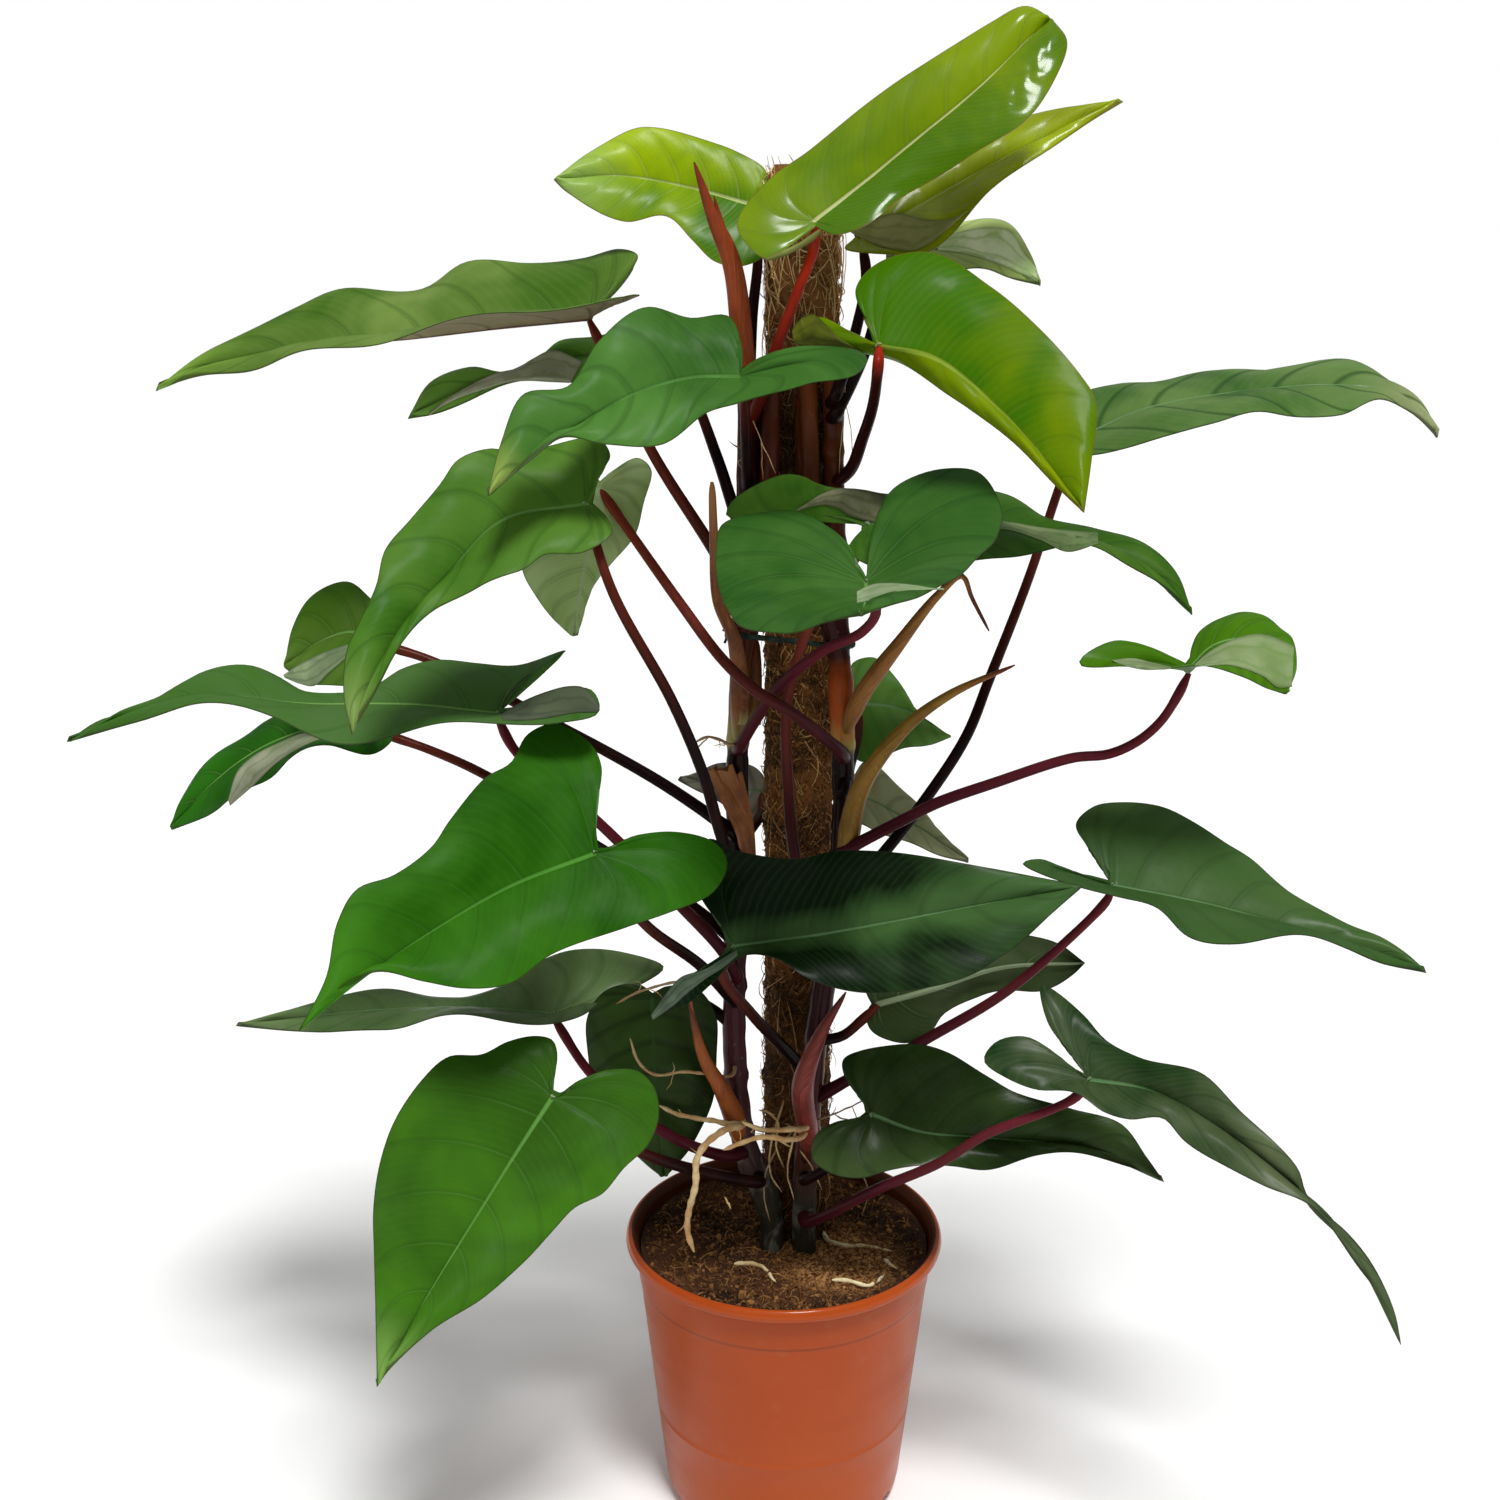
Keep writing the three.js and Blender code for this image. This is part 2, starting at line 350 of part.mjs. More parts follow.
// Each stem with the shoot that branches from it and the leaf stalks that leave it, as column, row
// and depth, with the radius at both ends.
// A stalk starts at its leaf and ends inside the stem.
const STEM_SIDES = 10;
const STALK_SIDES = 5;
const STALK_TIP_RADIUS = 3.3;
const STALK_BASE_RADIUS = 5;
const STALK_SINK = 10;
const SHOOT_RINGS = 4;
const SHOOT_RADIUS = [7.5, 6];
const STEMS = [
  {
    name: 'stem_left', slot: 'stem',
    path: [[768, 1300, 4], [771, 1215, 2], [744, 1140, -4], [735, 1060, -4], [735, 960, -2],
      [737, 850, 0], [738, 745, 2], [742, 650, 4], [746, 540, 6], [748, 400, 8]],
    radius: [9.5, 7],
    shoot: [[742, 660, 4], [757, 590, -4], [768, 500, -5], [772, 388, -4]],
    stalks: [
      { leaf: 'leaf_top_right_large', path: [[814, 248, -36], [799, 288, -38], [779, 341, -38],
        [763, 390, -24], [749, 425, 0]] },
      { leaf: 'leaf_top_left', path: [[758, 250, 26], [752, 320, 18], [748, 420, 8]] },
      { leaf: 'leaf_left_upper_mid', path: [[744, 400, -52], [746, 440, -30], [747, 478, -8]] },
      { leaf: 'leaf_left_upper_long', path: [[600, 343, -30], [652, 452, -30], [714, 551, -15],
        [744, 606, -2]] },
      { leaf: 'leaf_left_upper_behind', path: [[690, 390, 42], [718, 460, 22], [738, 520, 8]] },
      {
        leaf: 'leaf_left_mid_large',
        path: [[613, 593, -100], [671, 699, -84], [702, 771, -66], [719, 829, -46], [736, 882, -18]],
      },
      { leaf: 'leaf_front_high', path: [[876, 612, -116], [862, 632, -108], [824, 650, -88],
        [780, 686, -54], [758, 716, -34], [741, 744, -16]] },
      { leaf: 'leaf_left_behind_small', path: [[435, 662, 10], [540, 716, 0], [660, 782, -8],
        [730, 830, -12]] },
      { leaf: 'leaf_left_lower_behind', path: [[430, 750, 36], [487, 776, 24], [600, 848, 4],
        [690, 905, -10], [734, 940, -16]] },
      { leaf: 'leaf_left_long', path: [[517, 753, -52], [598, 822, -44], [680, 905, -34],
        [722, 950, -26], [736, 975, -18]] },
      { leaf: 'leaf_front_left', path: [[612, 885, -128], [647, 926, -110], [700, 965, -62],
        [733, 1000, -24]] },
      { leaf: 'leaf_left_low_edge', path: [[592, 1075, -50], [660, 1130, -62], [726, 1156, -30]] },
      { leaf: 'leaf_front_low_left', path: [[590, 1125, -132], [660, 1160, -86], [758, 1182, -28]] },
      { leaf: 'leaf_low_hanging', path: [[668, 994, -14], [700, 1002, -4], [728, 1022, -3]] },
      { leaf: 'leaf_pole_left_behind', path: [[762, 812, 50], [744, 840, 4], [738, 862, -14]] },
    ],
  },
  {
    name: 'stem_right', slot: 'stem',
    path: [[806, 1310, -3], [804, 1225, -3], [808, 1125, -6], [815, 1050, -10], [829, 950, -10],
      [842, 850, -8], [843, 750, -6], [840, 660, -6], [836, 560, -2], [832, 380, 0]],
    radius: [9.5, 7],
    shoot: [[840, 660, -6], [822, 590, -10], [812, 500, -8], [808, 384, -6]],
    stalks: [
      { leaf: 'leaf_top_right_behind', path: [[866, 275, 8], [856, 330, -4], [836, 395, -18]] },
      { leaf: 'leaf_top_back', path: [[882, 290, 50], [866, 350, 24], [838, 410, -14]] },
      { leaf: 'leaf_right_upper', path: [[878, 367, -85], [873, 405, -64], [862, 440, -36],
        [850, 470, -14]] },
      { leaf: 'leaf_left_mid_hanging', path: [[680, 603, -46], [723, 660, -62], [755, 690, -70],
        [786, 709, -66], [816, 731, -46], [841, 752, -22]] },
      { leaf: 'leaf_right_mid_behind', path: [[862, 545, -42], [840, 585, -34], [812, 622, -28],
        [800, 650, -27], [787, 706, -20], [788, 782, -14], [794, 849, -13], [808, 910, -13]] },
      { leaf: 'leaf_right_high_far', path: [[1060, 485, 10], [1028, 580, 12], [989, 680, 0],
        [966, 737, -16], [925, 800, -20], [886, 850, -24], [846, 895, -26]] },
      { leaf: 'leaf_right_small', path: [[1178, 695, -62], [1161, 721, -60], [1138, 741, -58],
        [1109, 754, -56], [1072, 758, -54], [994, 783, -48], [937, 803, -42], [903, 820, -36],
        [846, 850, -24]] },
      { leaf: 'leaf_right_mid', path: [[1107, 900, -58], [1060, 947, -54], [1000, 996, -46],
        [930, 1037, -34], [900, 1054, -25], [866, 1070, -18], [826, 1092, -10]] },
      { leaf: 'leaf_front_centre', path: [[722, 972, -98], [750, 1012, -72], [784, 1048, -34],
        [806, 1072, -14]] },
      { leaf: 'leaf_right_low_long', path: [[1073, 1099, -114], [987, 1134, -114], [939, 1163, -105],
        [882, 1187, -84], [808, 1222, -30]], radius: 4.8 },
      { leaf: 'leaf_right_low_dark', path: [[860, 1135, -58], [838, 1160, -48], [806, 1180, -30]] },
      { leaf: 'leaf_centre_behind', path: [[862, 1020, -28], [842, 1036, -28], [820, 1040, -30]] },
      { leaf: 'leaf_pole_right_behind', path: [[858, 730, 50], [850, 765, 10], [843, 790, -20]] },
      { leaf: 'leaf_pole_low_behind', path: [[852, 815, 54], [848, 850, 10], [842, 880, -22]] },
    ],
  },
];

// A place in the photograph brought to a given depth
function placeAt(column, row, depth) {
  const across = (column - PHOTO_SIZE / 2) / PHOTO_FOCAL;
  const rise = (PHOTO_SIZE / 2 - row) / PHOTO_FOCAL;
  const cos = Math.cos(EYE_TILT);
  const sin = Math.sin(EYE_TILT);
  const ray = new THREE.Vector3(across, cos + rise * sin, -sin + rise * cos);
  return EYE.clone().addScaledVector(ray, (depth - EYE.y) / ray.y);
}

// A place in a leaf's own plane, moved back or forward along the line of sight
function placeOn(origin, slope, [column, row, back]) {
  const ray = placeAt(column, row, 0).sub(EYE);
  const [right, up] = slope;
  const reach = origin.y - EYE.y + right * (EYE.x - origin.x) + up * (EYE.z - origin.z);
  const on = reach / (ray.y - right * ray.x - up * ray.z);
  return placeAt(column, row, EYE.y + on * ray.y + back);
}

// A smooth curve through places, cut into equal lengths at the fractions asked for
function curveThrough(places) {
  const curve = new THREE.CatmullRomCurve3(places, false, 'centripetal');
  const count = (places.length - 1) * CURVE_STEPS;
  const line = [];
  for (let i = 0; i <= count; i += 1) line.push(curve.getPoint(i / count));
  const run = [0];
  for (let i = 1; i < line.length; i += 1) run.push(run[i - 1] + line[i].distanceTo(line[i - 1]));
  const total = run[run.length - 1];
  return {
    line,
    run,
    total,
    at(fraction) {
      const want = Math.min(Math.max(fraction, 0), 1) * total;
      let i = 1;
      while (i < run.length - 1 && run[i] < want) i += 1;
      const part = (want - run[i - 1]) / Math.max(run[i] - run[i - 1], 1e-9);
      return line[i - 1].clone().lerp(line[i], part);
    },
  };
}

// The middle surface of a leaf blade: rays from the midrib to both margins
function bladeSurface(leaf) {
  const junction = placeAt(...leaf.junction);
  const on = (place) => placeOn(junction, leaf.slope, place);
  const tip = on(leaf.tip);
  const rib = curveThrough([junction, ...leaf.rib.map(on), tip]);
  const heading = rib.at(HEADING_AT).sub(junction).normalize();
  const [toLeft, toRight] = [leaf.left, leaf.right].map((side) => on(side[0]).sub(junction).normalize());
  const root = junction.clone().addScaledVector(toLeft.add(toRight).normalize(), SINUS_ROOT);
  const lobeRays = leaf.rays ? leaf.rays[0] : LOBE_RAYS;
  const ribRays = leaf.rays ? leaf.rays[1] : RIB_RAYS;
  const steps = BLADE_STEPS;
  const vertices = [];
  const add = (place, u, s) => {
    vertices.push({ place, u, s });
    return vertices.length - 1;
  };
  const ribIndex = [];
  for (let j = 0; j <= ribRays; j += 1) ribIndex.push(add(rib.at(j / ribRays), 0, 0));
  const tipIndex = ribIndex[ribRays];
  const rootIndices = [];
  const triangles = [];
  const rims = [];
  [leaf.left, leaf.right].forEach((side, which) => {
    const margin = curveThrough([root, ...side.map(on), tip]);
    let turn = LEAST_TURN;
    margin.line.forEach((place, i) => {
      const behind = place.clone().sub(junction).dot(heading) <= 0;
      if (behind) turn = Math.max(turn, margin.run[i] / margin.total);
    });
    const rows = [];
    for (let i = 0; i <= lobeRays + ribRays; i += 1) {
      const j = Math.max(i - lobeRays, 0);
      const s = i <= lobeRays ? (turn * i) / lobeRays : turn + ((1 - turn) * j) / ribRays;
      const foot = vertices[ribIndex[j]].place;
      const end = margin.at(s);
      const row = [ribIndex[j]];
      for (let k = 1; k <= steps; k += 1) {
        if (j === ribRays) row.push(tipIndex);
        else if (i === 0 && which === 1) row.push(rootIndices[k - 1]);
        else {
          row.push(add(foot.clone().lerp(end, k / steps), k / steps, s));
          if (i === 0) rootIndices.push(row[k]);
        }
      }
      rows.push(row);
    }
    const flip = (which === 1) !== Boolean(leaf.faces_away);
    for (let i = 1; i < rows.length; i += 1) {
      for (let k = 1; k <= steps; k += 1) {
        const [a, b, c, d] = [rows[i - 1][k - 1], rows[i][k - 1], rows[i][k], rows[i - 1][k]];
        [[a, b, c], [a, c, d]].forEach((t) => {
          if (t[0] === t[1] || t[1] === t[2] || t[0] === t[2]) return;
          triangles.push(flip ? [t[0], t[2], t[1]] : t);
        });
      }
      rims.push(flip ? [rows[i][steps], rows[i - 1][steps]] : [rows[i - 1][steps], rows[i][steps]]);
    }
  });
  return { vertices, triangles, rims };
}

function vertexNormals(places, triangles) {
  const normals = places.map(() => new THREE.Vector3());
  triangles.forEach(([a, b, c]) => {
    const face = places[b].clone().sub(places[a]).cross(places[c].clone().sub(places[a]));
    [a, b, c].forEach((i) => normals[i].add(face));
  });
  return normals.map((normal) => normal.normalize());
}

// A solid leaf blade; extra adds to the thickness on both faces and all round
function bladeSolid(leaf, extra = 0) {
  const { vertices, triangles, rims } = bladeSurface(leaf);
  const flat = vertices.map((vertex) => vertex.place);
  const normals = vertexNormals(flat, triangles);
  const [amplitude, waves, phase] = leaf.wave;
  const shaped = vertices.map(({ place, u, s }, i) => {
    const span = place.distanceTo(vertices[0].place);
    const bow = BOW * Math.min(span, BOW_SPAN) * Math.sin(Math.PI * u);
    const ripple = amplitude * u * u * Math.sin(2 * Math.PI * waves * s + phase) * Math.sin(Math.PI * s);
    return place.clone().addScaledVector(normals[i], bow + ripple);
  });
  const outward = vertexNormals(shaped, triangles);
  const past = shaped.map(() => new THREE.Vector3());
  rims.forEach(([a, b]) => {
    const beyond = outward[a].clone().add(outward[b]).cross(shaped[b].clone().sub(shaped[a]));
    beyond.normalize();
    past[a].add(beyond);
    past[b].add(beyond);
  });
  shaped.forEach((place, i) => {
    const reach = (2 * extra) / Math.max(past[i].length(), LEAST_CORNER);
    place.addScaledVector(past[i].normalize(), reach);
  });
  const half = BLADE_THICK / 2 + extra;
  const count = shaped.length;
  const positions = [];
  shaped.forEach((place, i) => positions.push(place.clone().addScaledVector(outward[i], half)));
  shaped.forEach((place, i) => positions.push(place.clone().addScaledVector(outward[i], -half)));
  const faces = [];
  triangles.forEach(([a, b, c]) => {
    faces.push([a, b, c]);
    faces.push([a + count, c + count, b + count]);
  });
  rims.forEach(([a, b]) => {
    faces.push([a, b, b + count]);
    faces.push([a, b + count, a + count]);
  });
  return { positions, faces };
}

// A closed tube along a curve, with a radius at each ring
const TUBE_LOOK = 0.02;
const TUBE_SIDE = [0.31, 0.9, 0.11];
function tubeSolid(curve, rings, radiusAt, sides, extra = 0) {
  const positions = [];
  const faces = [];
  let side = null;
  for (let i = 0; i <= rings; i += 1) {
    const centre = curve.at(i / rings);
    const ahead = curve.at(Math.min(i / rings + TUBE_LOOK, 1));
    const behind = curve.at(Math.max(i / rings - TUBE_LOOK, 0));
    const along = ahead.sub(behind).normalize();
    if (side === null) side = new THREE.Vector3(...TUBE_SIDE);
    side.addScaledVector(along, -side.dot(along)).normalize();
    const across = along.clone().cross(side);
    if (i === 0) centre.addScaledVector(along, -extra);
    if (i === rings) centre.addScaledVector(along, extra);
    const radius = radiusAt(i / rings) + extra;
    for (let k = 0; k < sides; k += 1) {
      const angle = (2 * Math.PI * k) / sides;
      const spoke = side.clone().multiplyScalar(Math.cos(angle) * radius);
      spoke.addScaledVector(across, Math.sin(angle) * radius);
      positions.push(centre.clone().add(spoke));
    }
  }
  for (let i = 0; i < rings; i += 1) {
    for (let k = 0; k < sides; k += 1) {
      const a = i * sides + k;
      const b = i * sides + ((k + 1) % sides);
      faces.push([a, b, b + sides]);
      faces.push([a, b + sides, a + sides]);
    }
  }
  const last = rings * sides;
  for (let k = 1; k < sides - 1; k += 1) {
    faces.push([0, k + 1, k]);
    faces.push([last, last + k, last + k + 1]);
  }
  return { positions, faces };
}

// A level closed ring of cord through the places of a loop
function loopSolid(places, radius, sides) {
  const curve = new THREE.CatmullRomCurve3(places, true, 'centripetal');
  const rings = places.length * 2;
  const positions = [];
  const faces = [];
  for (let i = 0; i < rings; i += 1) {
    const centre = curve.getPoint(i / rings);
    const along = curve.getTangent(i / rings);
    const out = new THREE.Vector3(along.y, -along.x, 0).normalize();
    for (let k = 0; k < sides; k += 1) {
      const angle = (2 * Math.PI * k) / sides;
      const spoke = out.clone().multiplyScalar(Math.cos(angle) * radius);
      spoke.z -= Math.sin(angle) * radius;
      positions.push(centre.clone().add(spoke));
    }
  }
  for (let i = 0; i < rings; i += 1) {
    for (let k = 0; k < sides; k += 1) {
      const [a, b] = [i * sides + k, i * sides + ((k + 1) % sides)];
      const step = i === rings - 1 ? sides - rings * sides : sides;
      faces.push([a, b, b + step]);
      faces.push([a, b + step, a + step]);
    }
  }
  return { positions, faces };
}

function toManifold({ positions, faces }) {
  const vertProperties = new Float32Array(positions.length * 3);
  positions.forEach((place, i) => vertProperties.set([place.x, place.y, place.z], i * 3));
  const triVerts = new Uint32Array(faces.length * 3);
  faces.forEach((face, i) => triVerts.set(face, i * 3));
  return new wasm.Manifold(new wasm.Mesh({ numProp: 3, vertProperties, triVerts }));
}

function latheManifold(profile, sides, centreX, centreY) {
  const positions = [];
  const rings = [];
  profile.forEach(([radius, height], at) => {
    if (at > 0 && radius === profile[0][0] && height === profile[0][1]) {
      rings.push(rings[0]);
      return;
    }
    if (radius === 0) {
      positions.push(new THREE.Vector3(centreX, centreY, height));
      rings.push([positions.length - 1]);
      return;
    }
    const ring = [];
    for (let k = 0; k < sides; k += 1) {
      const angle = (2 * Math.PI * (k + 0.5)) / sides;
      const x = centreX + radius * Math.cos(angle);
      positions.push(new THREE.Vector3(x, centreY + radius * Math.sin(angle), height));
      ring.push(positions.length - 1);
    }
    rings.push(ring);
  });
  const faces = [];
  for (let i = 1; i < rings.length; i += 1) {
    const [low, high] = [rings[i - 1], rings[i]];
    for (let k = 0; k < sides; k += 1) {
      const next = (k + 1) % sides;
      const [a, b] = [low[k % low.length], low[next % low.length]];
      const [c, d] = [high[next % high.length], high[k % high.length]];
      if (a !== b) faces.push([a, b, c]);
      if (c !== d) faces.push([a, c, d]);
    }
  }
  return toManifold({ positions, faces });
}

// The body that has most of the volume, after a cut that may leave crumbs
function largest(solid) {
  const bodies = solid.decompose();
  bodies.sort((a, b) => b.volume() - a.volume());
  return bodies[0];
}

// Papery and young sheaths on the stems: place, then half the width and half the thickness
const SHEATH_SIDES = 8;
const SHEATH_RINGS = 6;
const SHEATHS = [
  { name: 'sheath_new_spear', slot: 'sheath_red', width: [7, 7.5, 6, 1.2],
    path: [[747, 400, 0], [742, 340, -22], [732, 265, -32], [712, 215, -38], [694, 162, -42]] },
  { name: 'sheath_brown_stick', slot: 'sheath_dry', width: [8, 6.5, 4.2, 2.2],
    path: [[740, 715, -9], [736, 645, -20], [718, 600, -31], [714, 540, -36], [712, 482, -38]] },
  { name: 'sheath_brown_folded', slot: 'sheath_dry', width: [8, 9, 8, 5],
    path: [[746, 857, -9], [742, 825, -13], [733, 795, -16], [723, 766, -18]] },
  { name: 'sheath_tan', slot: 'sheath_dry', width: [7, 7, 4, 1.2],
    path: [[848, 718, -15], [866, 688, -26], [898, 645, -32], [938, 595, -36], [962, 576, -38],
      [972, 598, -38], [989, 631, -38]] },
  { name: 'sheath_ochre', slot: 'sheath_dry', width: [9, 8, 5.5, 1.2],
    path: [[845, 855, -17], [862, 785, -30], [905, 728, -38], [951, 694, -44], [1015, 665, -50]] },
  { name: 'sheath_low_left', slot: 'sheath_red', width: [8, 8, 5.5, 1.5],
    path: [[737, 1126, -15], [722, 1090, -36], [704, 1058, -46], [689, 1003, -52]] },
  { name: 'sheath_low_right', slot: 'sheath_red', width: [8, 9, 6, 1.5],
    path: [[808, 1136, -17], [803, 1085, -42], [820, 1036, -52], [846, 992, -56]] },
];

// Air roots fused to the stem they grow from, and roots lying in the soil's surface
const ROOT_SIDES = 5;
const STEM_ROOTS = {
  stem_left: [
    { radius: [3.6, 2.6], path: [[742, 1125, -26], [720, 1132, -52], [698, 1156, -66],
      [696, 1183, -68], [688, 1216, -68], [688, 1234, -68], [694, 1252, -68]] },
    { radius: [3, 1.8], path: [[742, 1122, -24], [711, 1121, -44], [681, 1115, -48],
      [658, 1105, -50]] },
    { radius: [2.2, 1.6], path: [[733, 745, -18], [708, 737, -34], [690, 745, -40]] },
    { radius: [2.4, 1.5], path: [[730, 985, -20], [690, 980, -36], [662, 985, -42],
      [636, 993, -44], [616, 1004, -46]] },
    { radius: [2.2, 1.5], path: [[732, 1075, -24], [690, 1072, -48], [655, 1075, -56],
      [639, 1062, -58], [630, 1038, -58]] },
  ],
  stem_right: [
    { radius: [3.4, 2], path: [[806, 1128, -34], [789, 1129, -50], [764, 1130, -54],
      [742, 1122, -56]] },
    { radius: [3, 2], path: [[804, 1135, -34], [786, 1140, -54], [756, 1138, -60],
      [723, 1150, -62]] },
  ],
};
const SOIL_ROOT_SINK = 1.5;
const SOIL_ROOTS = [
  { radius: [2.6, 1.6], path: [[734, 1264], [756, 1264], [776, 1282]] },
  { radius: [2.6, 1.4], path: [[821, 1228], [827, 1239], [844, 1245], [864, 1246], [892, 1251]] },
  { radius: [2.4, 1.4], path: [[832, 1280], [851, 1281], [870, 1286], [885, 1274]] },
];

// Green cord that holds both stems to the pole: x and y of the places round the loop
const TIE_RADIUS = 1.5;
const TIE_SIDES = 6;
const TIE_HEIGHT = 680;
const TIE_LOOP = [[-41, 4], [-37.5, -3.5], [-31, -6], [10, -11], [36, -15.8], [43, -12.5], [46, -5],
  [39, 28], [32, 49.5], [21, 58], [10, 60.4], [-3, 57.2], [-14.5, 46], [-30, 23]];

// Finishes read off the photograph: colour, roughness, metalness
const FINISHES = {
  leaf_new: [0x7d9e1c, 0.35],
  leaf_mature: [0x3b7a26, 0.4],
  leaf_dark: [0x24502b, 0.4],
  stem: [0x55242c, 0.45],
  sheath_red: [0xa34a2b, 0.6],
  sheath_dry: [0x96693a, 0.75],
  tie: [0x23402c, 0.5],
  coir: [0x7a5230, 0.95],
  core: [0x8d7a5f, 0.75],
  soil: [0x3f2c1c, 0.95],
  pot: [0xb0562a, 0.45],
};

const part = new THREE.Group();
part.name = 'potted_red_emerald_philodendron';

function addPart(name, slot, solid) {
  const mesh = solid.getMesh();
  const geometry = new THREE.BufferGeometry();
  geometry.setAttribute('position', new THREE.BufferAttribute(new Float32Array(mesh.vertProperties), 3));
  geometry.setIndex(new THREE.BufferAttribute(new Uint32Array(mesh.triVerts), 1));
  const [color, roughness] = FINISHES[slot];
  const material = new THREE.MeshStandardMaterial({ color, roughness, metalness: 0 });
  material.name = slot;
  const made = new THREE.Mesh(geometry, material);
  made.name = name;
  part.add(made);
}

// Leaf blades
const leafByName = {};
const fatBlades = [];
LEAVES.forEach((leaf) => {
  leafByName[leaf.name] = leaf;
  addPart(leaf.name, leaf.slot, toManifold(bladeSolid(leaf)));
  fatBlades.push(toManifold(bladeSolid(leaf, GAP)));
});
const allFatBlades = wasm.Manifold.union(fatBlades);

// Stems with their leaf stalks and air roots, cut back to clear the blades they carry
const STEM_RINGS = 12;
const STALK_RING_LENGTH = 48;
const ROOT_RING_LENGTH = 20;
const taper = (from, to) => (fraction) => from + (to - from) * fraction;

function tubeAlong(places, rings, radius, sides, extra) {
  return toManifold(tubeSolid(curveThrough(places), rings, radius, sides, extra));
}

function ringsFor(places, length) {
  return Math.max(3, Math.round(curveThrough(places).total / length));
}

// The place on a stem's middle line at a height
function heightOn(curve, height) {
  const { line } = curve;
  let i = 1;
  while (i < line.length - 1 && line[i].z < height) i += 1;
  return line[i].clone();
}

function stemSolid(stem, extra) {
  const path = stem.path.map((place) => placeAt(...place));
  const main = curveThrough(path);
  const tubes = [tubeAlong(path, STEM_RINGS, taper(...stem.radius), STEM_SIDES, extra)];
  const shoot = stem.shoot.map((place) => placeAt(...place));
  tubes.push(tubeAlong(shoot, SHOOT_RINGS, taper(...SHOOT_RADIUS), STEM_SIDES, extra));
  stem.stalks.forEach((stalk) => {
    const start = placeAt(...leafByName[stalk.leaf].junction);
    const places = [start, ...stalk.path.map((place) => placeAt(...place))];
    places.push(heightOn(main, places[places.length - 1].z - STALK_SINK));
    const base = stalk.radius ? stalk.radius : STALK_BASE_RADIUS;
    const radius = taper(STALK_TIP_RADIUS, base);
    tubes.push(tubeAlong(places, ringsFor(places, STALK_RING_LENGTH), radius, STALK_SIDES, extra));
  });
  STEM_ROOTS[stem.name].forEach((root) => {
    const places = root.path.map((place) => placeAt(...place));
    places.unshift(heightOn(main, places[0].z));
    const rings = ringsFor(places, ROOT_RING_LENGTH);
    tubes.push(tubeAlong(places, rings, taper(...root.radius), ROOT_SIDES, extra));
  });
  return wasm.Manifold.union(tubes);
}

const fatStems = STEMS.map((stem) => stemSolid(stem, GAP));
STEMS.forEach((stem, i) => {
  let solid = stemSolid(stem, 0).subtract(allFatBlades);
  if (i > 0) solid = solid.subtract(fatStems[0]);
  addPart(stem.name, stem.slot, largest(solid));
});
const growth = wasm.Manifold.union([allFatBlades, ...fatStems]);

// Sheaths, cut back to clear blades and stems
function sheathSolid(sheath, extra) {
  const path = sheath.path.map((place) => placeAt(...place));
  const { width } = sheath;
  const radiusAt = (fraction) => {
    const at = fraction * (width.length - 1);
    const low = Math.min(Math.floor(at), width.length - 2);
    return width[low] + (width[low + 1] - width[low]) * (at - low);
  };
  return tubeAlong(path, SHEATH_RINGS, radiusAt, SHEATH_SIDES, extra);
}
let fatSheaths = growth;
SHEATHS.forEach((sheath) => {
  addPart(sheath.name, sheath.slot, largest(sheathSolid(sheath, 0).subtract(fatSheaths)));
  fatSheaths = fatSheaths.add(sheathSolid(sheath, GAP));
});

// Coir pole on its core
const pole = latheManifold([
  [CORE_RADIUS + GAP, POLE_FOOT], [POLE_RADIUS, POLE_FOOT], [POLE_RADIUS, POLE_TOP - POLE_CHAMFER],
  [POLE_RADIUS - POLE_CHAMFER, POLE_TOP], [CORE_RADIUS + GAP, POLE_TOP], [CORE_RADIUS + GAP, POLE_FOOT],
], POLE_SIDES, POLE_X, POLE_Y);
const core = latheManifold([[0, CORE_FOOT], [CORE_RADIUS, CORE_FOOT], [CORE_RADIUS, CORE_TOP],
  [0, CORE_TOP]], POLE_SIDES, POLE_X, POLE_Y);
addPart('pole_coir', 'coir', pole.subtract(fatSheaths));
addPart('pole_core', 'core', core);

const fatPole = latheManifold([[0, POLE_FOOT - GAP], [POLE_RADIUS + GAP, POLE_FOOT - GAP],
  [POLE_RADIUS + GAP, POLE_TOP], [0, POLE_TOP]], POLE_SIDES, POLE_X, POLE_Y);

// Tie
const tiePath = TIE_LOOP.map(([x, y]) => new THREE.Vector3(x, y, TIE_HEIGHT));
const tie = toManifold(loopSolid(tiePath, TIE_RADIUS, TIE_SIDES));
addPart('tie_cord', 'tie', largest(tie.subtract(fatSheaths).subtract(fatPole)));

// Soil with plain holes for the stems, the pole and its core
const fatCore = latheManifold([[0, CORE_FOOT - GAP], [CORE_RADIUS + GAP, CORE_FOOT - GAP],
  [CORE_RADIUS + GAP, POLE_FOOT], [0, POLE_FOOT]], POLE_SIDES, POLE_X, POLE_Y);
const soil = latheManifold(SOIL_PROFILE, SOIL_SIDES, 0, 0);
let ground = soil;
SOIL_ROOTS.forEach((root) => {
  const places = root.path.map(([column, row]) => {
    const ray = placeAt(column, row, 0).sub(EYE);
    const reach = (SOIL_TOP + SOIL_RISE / 2 + SOIL_ROOT_SINK - EYE.z) / ray.z;
    return EYE.clone().addScaledVector(ray, reach);
  });
  const rings = ringsFor(places, ROOT_RING_LENGTH);
  ground = ground.add(tubeAlong(places, rings, taper(...root.radius), ROOT_SIDES, 0));
});
ground = ground.subtract(fatPole).subtract(fatCore).subtract(wasm.Manifold.union(fatStems));
addPart('soil', 'soil', largest(ground));

